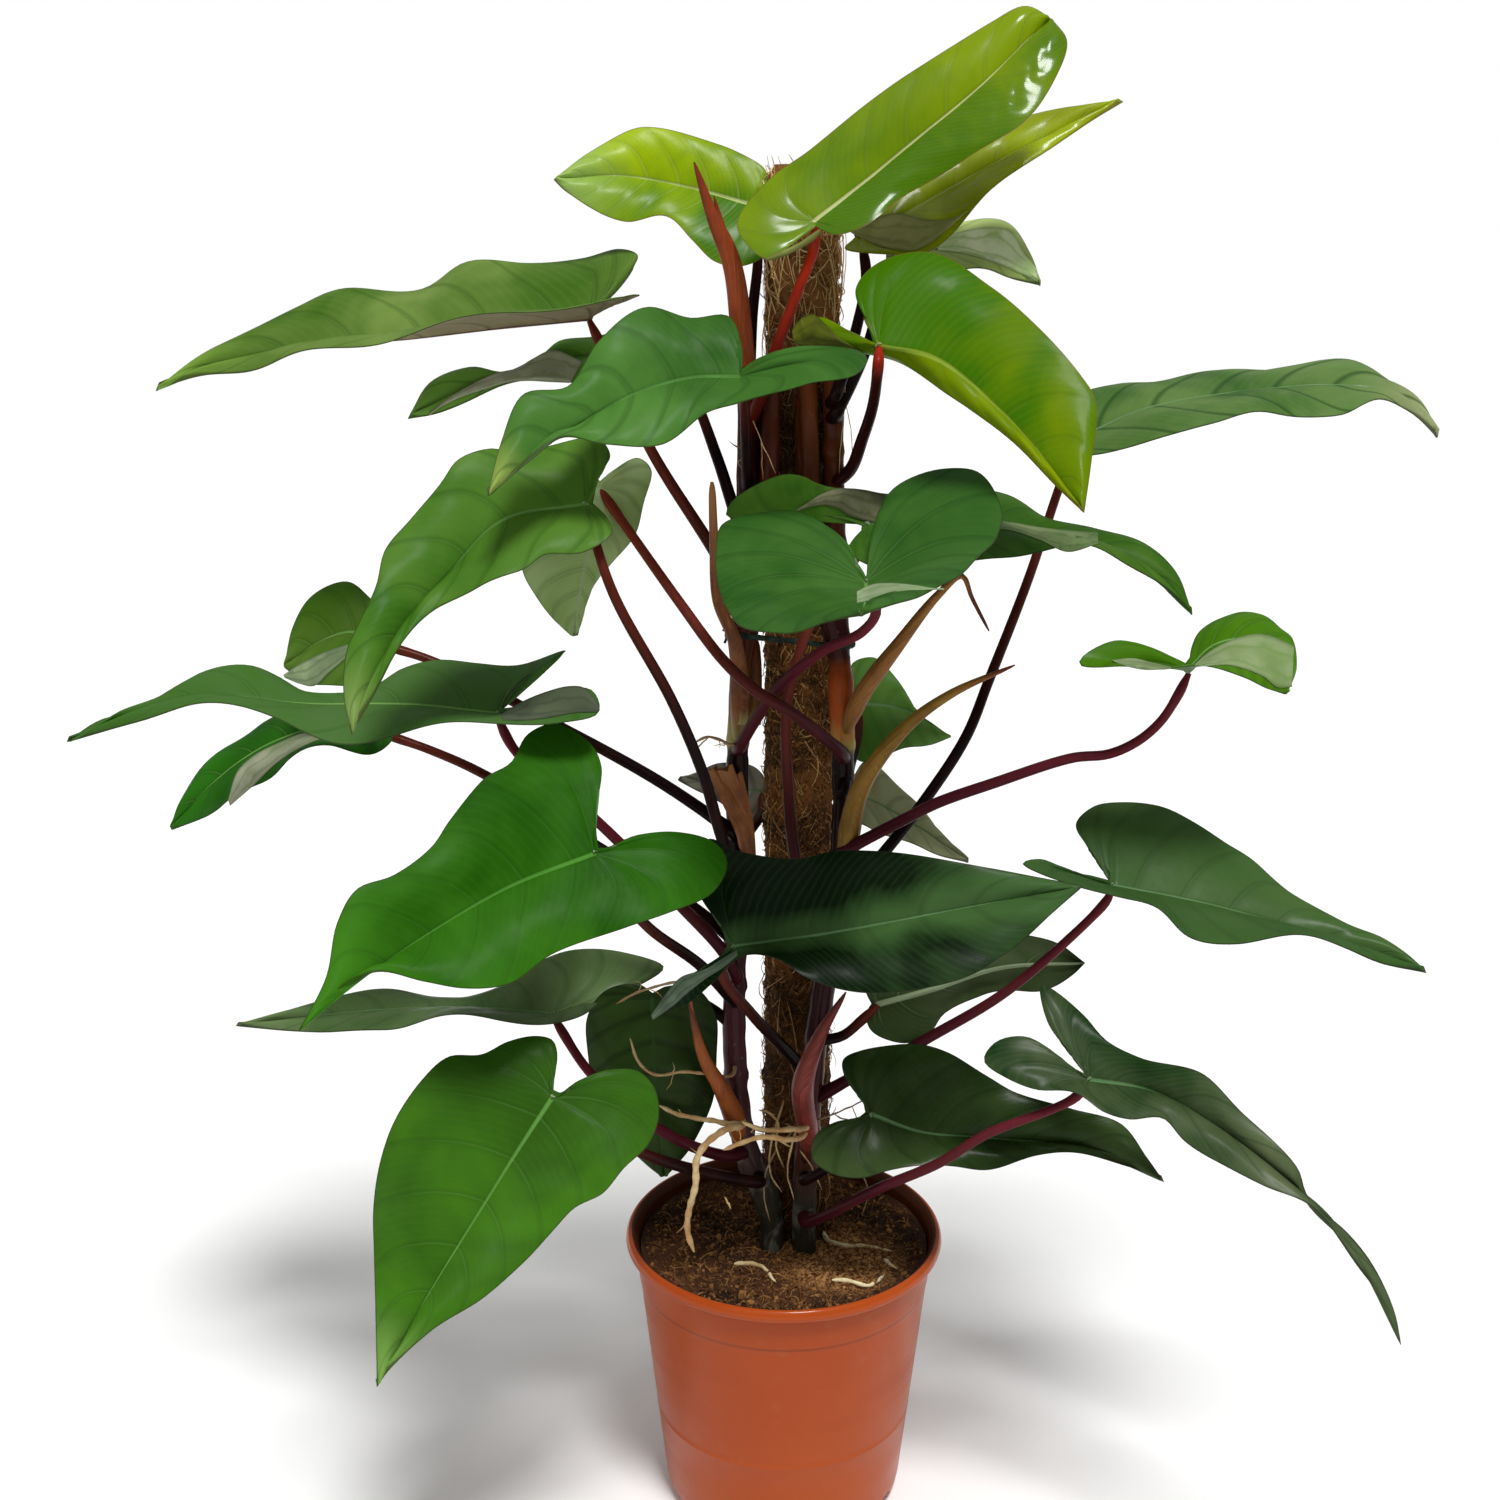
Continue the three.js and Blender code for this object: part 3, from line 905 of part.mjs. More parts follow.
// Pot with foot notches
let pot = latheManifold(POT_PROFILE, POT_SIDES, 0, 0);
for (let i = 0; i < FOOT_NOTCH_COUNT; i += 1) {
  const angle = THREE.MathUtils.degToRad(FOOT_NOTCH_FIRST + (360 * i) / FOOT_NOTCH_COUNT);
  const out = new THREE.Vector3(Math.cos(angle), Math.sin(angle), 0);
  const reach = FOOT_NOTCH_REACH.map((radius) => out.clone().multiplyScalar(radius));
  const notch = tubeAlong(reach, 1, () => FOOT_NOTCH_RADIUS, FOOT_NOTCH_SIDES, 0);
  pot = pot.subtract(notch);
}
addPart('pot', 'pot', pot);

export default part;
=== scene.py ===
"""A potted red emerald philodendron on a coir pole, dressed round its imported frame, in metres, +Z up.

Leaf, stalk and root places are read off the photograph as column, row and depth in millimetres, and
brought into the plant's space through the photograph's own viewpoint, as in the frame's source.
"""

import math

import bmesh
import bpy
import numpy as np
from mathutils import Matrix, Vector, noise
from mathutils.bvhtree import BVHTree


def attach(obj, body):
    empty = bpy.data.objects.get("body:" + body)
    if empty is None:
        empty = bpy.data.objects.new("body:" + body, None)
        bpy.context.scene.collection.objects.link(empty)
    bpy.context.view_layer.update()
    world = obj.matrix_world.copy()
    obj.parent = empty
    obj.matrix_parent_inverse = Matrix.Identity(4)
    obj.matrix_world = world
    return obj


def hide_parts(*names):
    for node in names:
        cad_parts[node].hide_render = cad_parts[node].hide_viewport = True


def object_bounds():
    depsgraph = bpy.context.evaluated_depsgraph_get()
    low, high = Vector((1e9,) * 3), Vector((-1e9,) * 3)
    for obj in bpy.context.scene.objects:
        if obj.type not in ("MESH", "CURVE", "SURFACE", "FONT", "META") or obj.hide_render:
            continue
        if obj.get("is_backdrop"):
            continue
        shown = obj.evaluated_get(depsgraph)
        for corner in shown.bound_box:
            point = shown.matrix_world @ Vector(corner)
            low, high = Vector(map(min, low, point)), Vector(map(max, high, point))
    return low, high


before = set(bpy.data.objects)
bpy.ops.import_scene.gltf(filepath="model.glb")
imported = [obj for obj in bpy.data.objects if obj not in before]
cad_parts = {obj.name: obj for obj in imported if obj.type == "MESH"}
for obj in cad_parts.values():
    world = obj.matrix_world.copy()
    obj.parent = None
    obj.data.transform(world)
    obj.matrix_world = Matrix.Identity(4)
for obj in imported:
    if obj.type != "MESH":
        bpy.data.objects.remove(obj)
CAD_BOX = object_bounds()

# Viewpoint of the photograph, in millimetres and radians
PHOTO_SIZE = 1500
PHOTO_FOCAL = 1900
EYE = np.array([-25.8, -1300.6, 970.8])
EYE_TILT = 0.27855
SENSOR_MM = 36

# Millimetres to Blender's metres
MM = 0.001

# Pot and soil
POT_HEIGHT = 220
POT_FLOOR = 3.2
SOIL_TOP = 199
SOIL_RISE = 5
SOIL_RADIUS = 109.6
# Radius and height of the soil's lowest edge, by the step in the pot's wall
SOIL_FOOT = [105, 162]

# Coir pole
POLE_X = 10
POLE_Y = 33
POLE_RADIUS = 25
POLE_TOP = 998
POLE_FOOT = 190
POLE_AXIS = [POLE_X, POLE_Y, 0]
CORE_RADIUS = 12
CORE_TOP = 994

# Leaf blades: shape constants of the frame's blades
SINUS_ROOT = 5
LOBE_RAYS = 5
RIB_RAYS = 8
BOW = 0.05
BOW_SPAN = 60
HEADING_AT = 0.12
LEAST_TURN = 0.1

# Stem, stalk and root sizes of the frame
STALK_TIP_RADIUS = 3.3
STALK_BASE_RADIUS = 5
STALK_SINK = 10
SHOOT_RADIUS = [7.5, 6]
TIE_RADIUS = 1.5
TIE_HEIGHT = 680

LEAVES = [
  dict(
    name="leaf_top_right_large", slot="leaf_new", slope=[-0.15, 0.45], wave=[3, 2, 0.3],
    junction=[815, 221, -45], tip=[1052, 14, 12],
    rib=[[868, 180, 6], [915, 141, 8], [982, 85, 6]],
    left=[[800, 240, -4], [768, 261, -8], [737, 226, -4], [768, 178, 0], [812, 147, 4], [902, 80, 6],
      [991, 22, 8], [1027, 5, 10]],
    right=[[836, 236, -4], [868, 226, -4], [902, 196, 0], [965, 158, 0], [1024, 125, 0],
      [1058, 72, 4], [1067, 40, 10]],
  ),
  dict(
    name="leaf_top_right_behind", slot="leaf_new", slope=[0.1, 0.3], wave=[2, 2, 1],
    junction=[862, 240, 8], tip=[1123, 102, 0],
    rib=[[940, 195, 8], [1030, 145, 6]],
    left=[[850, 222, 6], [868, 185, 22], [950, 145, 26], [1040, 112, 16]],
    right=[[845, 250, -6], [885, 255, -14], [929, 250, -18], [991, 192, -14], [1058, 143, -6]],
  ),
  dict(
    name="leaf_top_back", slot="leaf_dark", slope=[0.2, 0.3], wave=[3, 2, 0],
    rays=[4, 6], junction=[893, 255, 60], tip=[1040, 286, 0],
    rib=[[950, 250, 6], [1000, 260, 4]],
    left=[[888, 240, 6], [910, 222, 18], [960, 222, 22], [1009, 225, 14], [1032, 255, 4]],
    right=[[888, 264, -6], [915, 264, -16], [960, 270, -18], [1006, 275, -8]],
  ),
  dict(
    name="leaf_top_left", slot="leaf_new", slope=[0.1, 0.5], wave=[3, 2, 0.5],
    junction=[752, 205, 18], tip=[554, 180, 0],
    rib=[[690, 188, 8], [620, 176, 6]],
    left=[[762, 220, -2], [768, 252, -8], [745, 264, -10], [716, 260, -8], [692, 241, -4],
      [665, 219, 0], [625, 221, 0], [567, 192, 0]],
    right=[[764, 195, 0], [766, 172, 0], [735, 150, 0], [701, 138, 2], [660, 130, 4], [634, 130, 4],
      [589, 152, 2]],
  ),
  dict(
    name="leaf_right_upper", slot="leaf_new", slope=[-0.15, 0.7], wave=[2, 2, 0],
    junction=[879, 346, -75], tip=[1084, 513, 0],
    rib=[[935, 358, 4], [1000, 410, 6], [1052, 468, 4]],
    left=[[868, 325, 0], [856, 290, 0], [880, 263, 0], [933, 252, 0], [991, 286, 0], [1036, 326, 0],
      [1080, 375, 0], [1096, 402, 0], [1092, 455, 0]],
    right=[[860, 342, 4], [820, 318, 16], [799, 332, 22], [842, 350, 22], [904, 366, 18],
      [946, 393, 14], [1013, 442, 8], [1058, 488, 3]],
  ),
  dict(
    name="leaf_left_upper_mid", slot="leaf_mature", slope=[0.15, 0.7], wave=[3, 3, 0],
    junction=[739, 377, -75], tip=[488, 496, 0],
    rib=[[692, 378, 4], [639, 392, 6], [586, 420, 6], [530, 460, 3]],
    left=[[763, 357, -8], [812, 346, -28], [866, 354, -40], [858, 370, -40], [812, 384, -30],
      [784, 394, -20], [740, 404, -10], [706, 411, -6], [661, 445, -2], [606, 447, 0], [562, 438, 0],
      [530, 458, 0]],
    right=[[742, 348, 0], [728, 316, 2], [691, 316, 2], [648, 307, 2], [600, 340, 0], [568, 386, 0],
      [523, 396, 0], [502, 440, 0]],
  ),
  dict(
    name="leaf_left_upper_long", slot="leaf_mature", slope=[-0.1, 0], wave=[4, 3, 0.5],
    junction=[589, 317, -30], tip=[156, 391, -8],
    rib=[[500, 326, 0], [400, 338, 0], [314, 344, 0], [235, 360, -4]],
    left=[[612, 306, -6], [640, 296, -18], [560, 306, -42], [455, 325, -52], [380, 338, -46],
      [314, 352, -34], [256, 370, -18], [203, 374, -10]],
    right=[[600, 305, 8], [609, 291, 22], [638, 256, 44], [618, 247, 52], [580, 256, 56],
      [524, 267, 60], [466, 265, 58], [421, 285, 52], [345, 289, 40], [301, 309, 30], [250, 330, 14],
      [204, 352, 0]],
  ),
  dict(
    name="leaf_left_upper_behind", slot="leaf_mature", slope=[0.05, 0.5], wave=[3, 2, 0],
    rays=[4, 6], junction=[660, 350, 50], tip=[408, 419, 0],
    rib=[[600, 355, 6], [540, 366, 6], [470, 388, 4]],
    left=[[690, 365, -4], [680, 390, -10], [620, 388, -14], [564, 383, -12], [502, 387, -8],
      [433, 414, -2]],
    right=[[680, 335, 4], [650, 324, 10], [600, 334, 14], [560, 339, 14], [537, 361, 8],
      [502, 372, 4], [470, 367, 4], [431, 381, 2]],
  ),
  dict(
    name="leaf_left_mid_large", slot="leaf_mature", slope=[0.2, 0.7], wave=[4, 3, 0],
    junction=[585, 505, -80], tip=[352, 735, 0],
    rib=[[502, 521, 6], [448, 575, 8], [395, 640, 5]],
    left=[[604, 514, -4], [612, 534, -10], [585, 550, -12], [546, 553, -10], [524, 573, -8],
      [479, 588, -6], [435, 604, -4], [408, 640, -2], [377, 686, 0]],
    right=[[598, 480, 2], [610, 455, 6], [596, 438, 8], [545, 445, 6], [517, 454, 4], [493, 450, 4],
      [457, 463, 4], [439, 486, 2], [412, 517, 0], [386, 548, 0], [375, 588, 0], [358, 625, 0],
      [347, 650, 0], [344, 695, 0]],
  ),
  dict(
    name="leaf_left_mid_hanging", slot="leaf_mature", slope=[0.1, 0.15], wave=[3, 2, 0],
    junction=[600, 488, -22], tip=[573, 636, 0],
    rib=[[592, 530, -4], [582, 580, -4]],
    left=[[588, 472, 4], [560, 480, 12], [532, 520, 16], [523, 565, 14], [535, 595, 10],
      [552, 618, 4]],
    right=[[614, 470, 4], [636, 458, 10], [651, 470, 14], [645, 504, 16], [636, 532, 14],
      [612, 560, 10], [592, 590, 6]],
    faces_away=True,
  ),
  dict(
    name="leaf_left_behind_small", slot="leaf_mature", slope=[-0.4, 0.5], wave=[2, 2, 0],
    rays=[4, 6], junction=[378, 642, 10], tip=[285, 668, 0],
    rib=[[350, 632, 8], [316, 644, 6]],
    left=[[388, 655, -6], [378, 678, -14], [345, 686, -14], [306, 683, -6]],
    right=[[388, 622, 8], [369, 597, 16], [346, 581, 18], [312, 598, 12], [292, 628, 6]],
  ),
  dict(
    name="leaf_left_lower_behind", slot="leaf_mature", slope=[-0.1, 0], wave=[3, 3, 1],
    junction=[380, 730, 40], tip=[172, 830, 0],
    rib=[[320, 728, 6], [262, 748, 6], [208, 788, 4]],
    left=[[392, 740, -16], [372, 752, -34], [330, 746, -46], [292, 760, -44], [260, 782, -34],
      [224, 805, -20], [196, 820, -8]],
    right=[[388, 716, 16], [352, 702, 34], [300, 708, 44], [266, 718, 42], [239, 742, 34],
      [200, 768, 22], [180, 800, 8]],
  ),
  dict(
    name="leaf_left_long", slot="leaf_mature", slope=[-0.05, 0], wave=[4, 3, 0],
    junction=[497, 714, -55], tip=[67, 742, 0],
    rib=[[410, 705, 4], [300, 704, 4], [203, 695, 0], [135, 712, 0]],
    left=[[524, 706, -8], [560, 690, -14], [592, 690, -22], [598, 711, -34], [560, 718, -44],
      [506, 722, -50], [450, 727, -52], [381, 741, -50], [338, 740, -44], [274, 717, -34],
      [203, 707, -22], [140, 720, -8]],
    right=[[506, 700, 6], [524, 678, 20], [552, 662, 32], [566, 651, 40], [517, 662, 46],
      [478, 661, 48], [439, 662, 48], [403, 674, 44], [374, 690, 38], [310, 690, 32],
      [281, 676, 32], [249, 667, 30], [203, 676, 22], [156, 703, 10], [99, 721, 0]],
  ),
  dict(
    name="leaf_front_left", slot="leaf_mature", slope=[0.3, 0.75], wave=[4, 3, 0],
    junction=[594, 854, -125], tip=[299, 1031, 0],
    rib=[[509, 887, 8], [423, 937, 8], [355, 985, 4]],
    left=[[607, 848, -2], [633, 836, -4], [672, 832, -4], [715, 842, -6], [728, 861, -8],
      [715, 890, -8], [672, 913, -8], [624, 930, -6], [552, 952, -4], [509, 983, -4],
      [466, 990, -2], [423, 983, 0], [375, 971, 0], [335, 990, 0]],
    right=[[596, 830, 0], [600, 795, 2], [601, 765, 4], [590, 742, 6], [557, 722, 8], [528, 734, 6],
      [509, 765, 4], [483, 780, 2], [452, 818, 0], [433, 846, 0], [394, 875, 0], [356, 890, 0],
      [337, 923, 0], [327, 976, 0]],
  ),
  dict(
    name="leaf_front_centre", slot="leaf_dark", slope=[-0.15, 0.6], wave=[3, 3, 0],
    junction=[735, 947, -110], tip=[1083, 886, 0],
    rib=[[770, 942, 6], [820, 935, 8], [968, 907, 8]],
    left=[[722, 930, 0], [700, 895, 2], [694, 858, 2], [708, 838, 4], [735, 850, 2], [796, 859, 0],
      [834, 851, 0], [891, 852, 2], [968, 864, 2], [1035, 877, 0]],
    right=[[722, 954, 0], [690, 975, 6], [655, 1012, 14], [676, 1008, 12], [708, 984, 2],
      [742, 958, -6], [776, 962, -8], [805, 978, -8], [853, 990, -8], [915, 990, -6], [968, 978, -4],
      [1011, 950, -2], [1054, 911, 0]],
  ),
  dict(
    name="leaf_left_low_edge", slot="leaf_dark", slope=[-0.1, 0], wave=[4, 3, 0],
    junction=[553, 1014, -30], tip=[236, 1026, 0],
    rib=[[470, 1008, 4], [385, 1010, 4], [300, 1018, 2]],
    left=[[575, 1014, -10], [598, 1005, -24], [580, 1015, -36], [504, 1022, -44], [433, 1019, -44],
      [385, 1026, -36], [337, 1035, -22], [290, 1030, -8]],
    right=[[585, 1002, 12], [640, 985, 30], [664, 966, 44], [620, 950, 50], [576, 952, 50],
      [528, 972, 50], [480, 992, 44], [433, 996, 40], [385, 992, 34], [337, 997, 20],
      [280, 1012, 6]],
  ),
  dict(
    name="leaf_front_low_left", slot="leaf_mature", slope=[0.3, 0.6], wave=[4, 3, 0],
    junction=[552, 1098, -150], tip=[377, 1387, 0],
    rib=[[518, 1150, 8], [483, 1206, 10], [425, 1300, 5]],
    left=[[562, 1093, -2], [578, 1081, -4], [602, 1071, -4], [638, 1071, -6], [655, 1088, -8],
      [659, 1117, -8], [648, 1145, -8], [624, 1169, -8], [602, 1195, -6], [574, 1208, -6],
      [553, 1229, -4], [522, 1264, -2], [483, 1299, 0], [431, 1330, 0], [390, 1368, 0]],
    right=[[549, 1086, 0], [557, 1062, 2], [553, 1041, 4], [536, 1036, 6], [508, 1041, 6],
      [483, 1053, 6], [448, 1057, 4], [420, 1081, 2], [396, 1117, 0], [382, 1159, 0],
      [373, 1211, 0], [373, 1253, 0], [376, 1306, 0], [377, 1355, 0]],
  ),
  dict(
    name="leaf_low_hanging", slot="leaf_dark", slope=[0.1, 0.1], wave=[4, 2, 0],
    junction=[652, 1000, -30], tip=[664, 1176, 0],
    rib=[[654, 1060, -6], [658, 1120, -6]],
    left=[[668, 986, 4], [696, 988, 8], [718, 1020, 10], [716, 1065, 10], [708, 1110, 8],
      [690, 1150, 4]],
    right=[[638, 984, 4], [606, 990, 8], [586, 1020, 10], [590, 1070, 10], [608, 1120, 8],
      [638, 1158, 4]],
  ),
  dict(
    name="leaf_front_high", slot="leaf_mature", slope=[0, 0], wave=[4, 3, 0],
    junction=[866, 583, -118], tip=[862, 616, -170],
    rib=[[867, 592, -40], [866, 600, -90], [864, 608, -135]],
    left=[[874, 562, 14], [877, 525, 40], [893, 487, 62], [930, 468, 66], [975, 472, 48],
      [1003, 513, 6], [997, 532, -10], [980, 548, -36], [960, 580, -76], [930, 593, -110],
      [896, 602, -145]],
    right=[[859, 566, 12], [848, 545, 28], [828, 528, 42], [795, 509, 54], [750, 512, 48],
      [722, 527, 28], [715, 560, -8], [724, 599, -48], [745, 631, -84], [783, 636, -112],
      [824, 621, -146]],
  ),
  dict(
    name="leaf_right_mid_behind", slot="leaf_dark", slope=[0, 0], wave=[3, 3, 1],
    junction=[868, 524, -36], tip=[1192, 615, -24],
    rib=[[940, 512, 4], [1043, 532, 0], [1120, 552, -10]],
    left=[[845, 520, -2], [800, 514, -4], [745, 521, -6], [726, 514, -4], [733, 500, -2],
      [780, 475, 1], [802, 476, 2], [826, 487, 2], [854, 490, 8], [888, 492, 32], [940, 484, 46],
      [1006, 497, 42], [1043, 520, 30], [1094, 528, 20], [1141, 540, 6], [1176, 572, -12]],
    right=[[860, 536, -10], [848, 552, -24], [884, 568, -40], [940, 570, -46], [1000, 556, -44],
      [1047, 548, -40], [1084, 548, -36], [1124, 563, -30], [1160, 582, -26]],
  ),
  dict(
    name="leaf_right_high_far", slot="leaf_dark", slope=[0, 0], wave=[4, 3, 0],
    junction=[1075, 440, 0], tip=[1437, 438, -20],
    rib=[[1150, 408, 0], [1260, 390, -4], [1350, 386, -8], [1402, 400, -14]],
    left=[[1064, 424, 14], [1072, 400, 32], [1121, 380, 46], [1173, 382, 52], [1250, 368, 52],
      [1346, 363, 34], [1386, 380, 12], [1420, 402, -6]],
    right=[[1068, 456, -14], [1095, 456, -34], [1154, 436, -50], [1217, 428, -54],
      [1264, 409, -52], [1341, 418, -40], [1382, 400, -28], [1412, 412, -22]],
  ),
  dict(
    name="leaf_right_small", slot="leaf_mature", slope=[0, 0], wave=[2, 2, 0],
    junction=[1188, 670, -60], tip=[1286, 694, -26],
    rib=[[1215, 645, 4], [1250, 640, 2], [1278, 660, -10]],
    left=[[1191, 655, 10], [1198, 634, 24], [1218, 617, 34], [1241, 610, 36], [1262, 616, 28],
      [1279, 631, 16], [1292, 640, 4], [1297, 668, -12]],
    right=[[1170, 657, 4], [1143, 646, 2], [1112, 641, -6], [1080, 661, -18], [1123, 666, -32],
      [1160, 673, -40], [1207, 668, -46], [1244, 676, -44], [1268, 688, -34]],
  ),
  dict(
    name="leaf_right_mid", slot="leaf_dark", slope=[-0.1, 0.1], wave=[3, 3, 0],
    junction=[1113, 886, -60], tip=[1426, 973, -10],
    rib=[[1201, 903, 4], [1287, 926, 4], [1373, 953, -4]],
    left=[[1109, 872, 6], [1086, 847, 20], [1076, 824, 34], [1095, 805, 44], [1123, 801, 50],
      [1158, 807, 52], [1192, 824, 50], [1224, 841, 46], [1253, 857, 40], [1293, 896, 26],
      [1344, 923, 12], [1382, 937, 4], [1408, 955, -4]],
    right=[[1085, 874, -8], [1040, 859, -14], [1023, 863, -20], [1066, 880, -34], [1121, 901, -46],
      [1155, 911, -50], [1189, 935, -48], [1235, 941, -42], [1301, 938, -32], [1344, 948, -24],
      [1386, 964, -16]],
  ),
  dict(
    name="leaf_right_low_long", slot="leaf_dark", slope=[-0.15, 0.7], wave=[4, 3, 0],
    junction=[1090, 1080, -120], tip=[1401, 1345, 0],
    rib=[[1150, 1090, 6], [1215, 1125, 8], [1290, 1182, 8], [1352, 1252, 4]],
    left=[[1080, 1058, 0], [1063, 1046, 0], [1047, 1022, 2], [1041, 984, 4], [1054, 990, 4],
      [1083, 1014, 2], [1107, 1041, 0], [1140, 1057, 0], [1202, 1073, 0], [1240, 1115, 0],
      [1298, 1167, 0], [1312, 1196, 0], [1346, 1230, 0], [1374, 1268, 0], [1394, 1311, 0]],
    right=[[1070, 1066, -2], [1052, 1050, -2], [1025, 1037, -2], [996, 1042, -4], [984, 1060, -6],
      [1006, 1076, -8], [1035, 1088, -8], [1073, 1094, -8], [1102, 1115, -8], [1130, 1122, -6],
      [1164, 1118, -4], [1188, 1139, -4], [1226, 1163, -2], [1264, 1187, 0], [1312, 1211, 0],
      [1360, 1268, 0], [1389, 1308, 0]],
  ),
  dict(
    name="leaf_right_low_dark", slot="leaf_dark", slope=[-0.1, 0.6], wave=[3, 3, 0],
    junction=[872, 1115, -62], tip=[1164, 1182, 0],
    rib=[[920, 1132, 6], [985, 1138, 6], [1080, 1148, 5]],
    left=[[862, 1098, 0], [845, 1078, 0], [843, 1060, 2], [862, 1050, 4], [915, 1044, 4],
      [949, 1053, 2], [987, 1076, 0], [1016, 1093, 0], [1070, 1108, 0], [1121, 1124, 0],
      [1147, 1158, 0]],
    right=[[856, 1119, -2], [836, 1122, -4], [815, 1136, -6], [812, 1158, -8], [829, 1172, -8],
      [858, 1178, -8], [891, 1172, -8], [953, 1166, -6], [987, 1168, -4], [1035, 1157, -2],
      [1083, 1154, 0], [1130, 1166, 0]],
  ),
  dict(
    name="leaf_centre_behind", slot="leaf_dark", slope=[0.1, 0.35], wave=[3, 3, 0],
    rays=[4, 6], junction=[878, 1004, -30], tip=[1085, 963, 0],
    rib=[[930, 990, -5], [1000, 968, -5]],
    left=[[866, 992, 4], [870, 966, 8], [905, 940, 12], [960, 928, 12], [1018, 932, 8],
      [1058, 944, 4]],
    right=[[866, 1014, 4], [872, 1032, 8], [902, 1042, 10], [930, 1034, 10], [948, 1014, 8],
      [984, 992, 6], [1040, 992, 4], [1072, 975, 2]],
    faces_away=True,
  ),
  dict(
    name="leaf_pole_right_behind", slot="leaf_dark", slope=[0.1, 0.3], wave=[3, 2, 0],
    rays=[4, 6], junction=[858, 704, 72], tip=[951, 737, 0],
    rib=[[888, 706, 6], [920, 716, 4]],
    left=[[852, 690, 4], [852, 664, 10], [876, 657, 14], [898, 684, 12], [912, 714, 6],
      [930, 724, 2]],
    right=[[850, 716, -4], [844, 742, -8], [862, 761, -12], [885, 757, -10], [908, 748, -8],
      [932, 744, -2]],
  ),
  dict(
    name="leaf_pole_low_behind", slot="leaf_dark", slope=[0.1, 0.2], wave=[3, 2, 0],
    rays=[4, 6], junction=[852, 792, 76], tip=[968, 863, 0],
    rib=[[880, 805, 6], [925, 832, 4]],
    left=[[853, 776, 6], [864, 762, 18], [882, 768, 22], [910, 798, 18], [945, 838, 8]],
    right=[[846, 800, -6], [846, 818, -14], [870, 826, -18], [905, 843, -12], [940, 855, -4]],
  ),
  dict(
    name="leaf_pole_left_behind", slot="leaf_dark", slope=[0, 0.2], wave=[2, 2, 0],
    rays=[4, 6], junction=[762, 792, 78], tip=[678, 780, 0],
    rib=[[735, 788, 6], [705, 783, 4]],
    left=[[768, 802, -6], [752, 818, -14], [722, 806, -14], [697, 790, -6]],
    right=[[766, 780, 6], [750, 764, 16], [722, 764, 16], [697, 772, 8]],
  ),
]

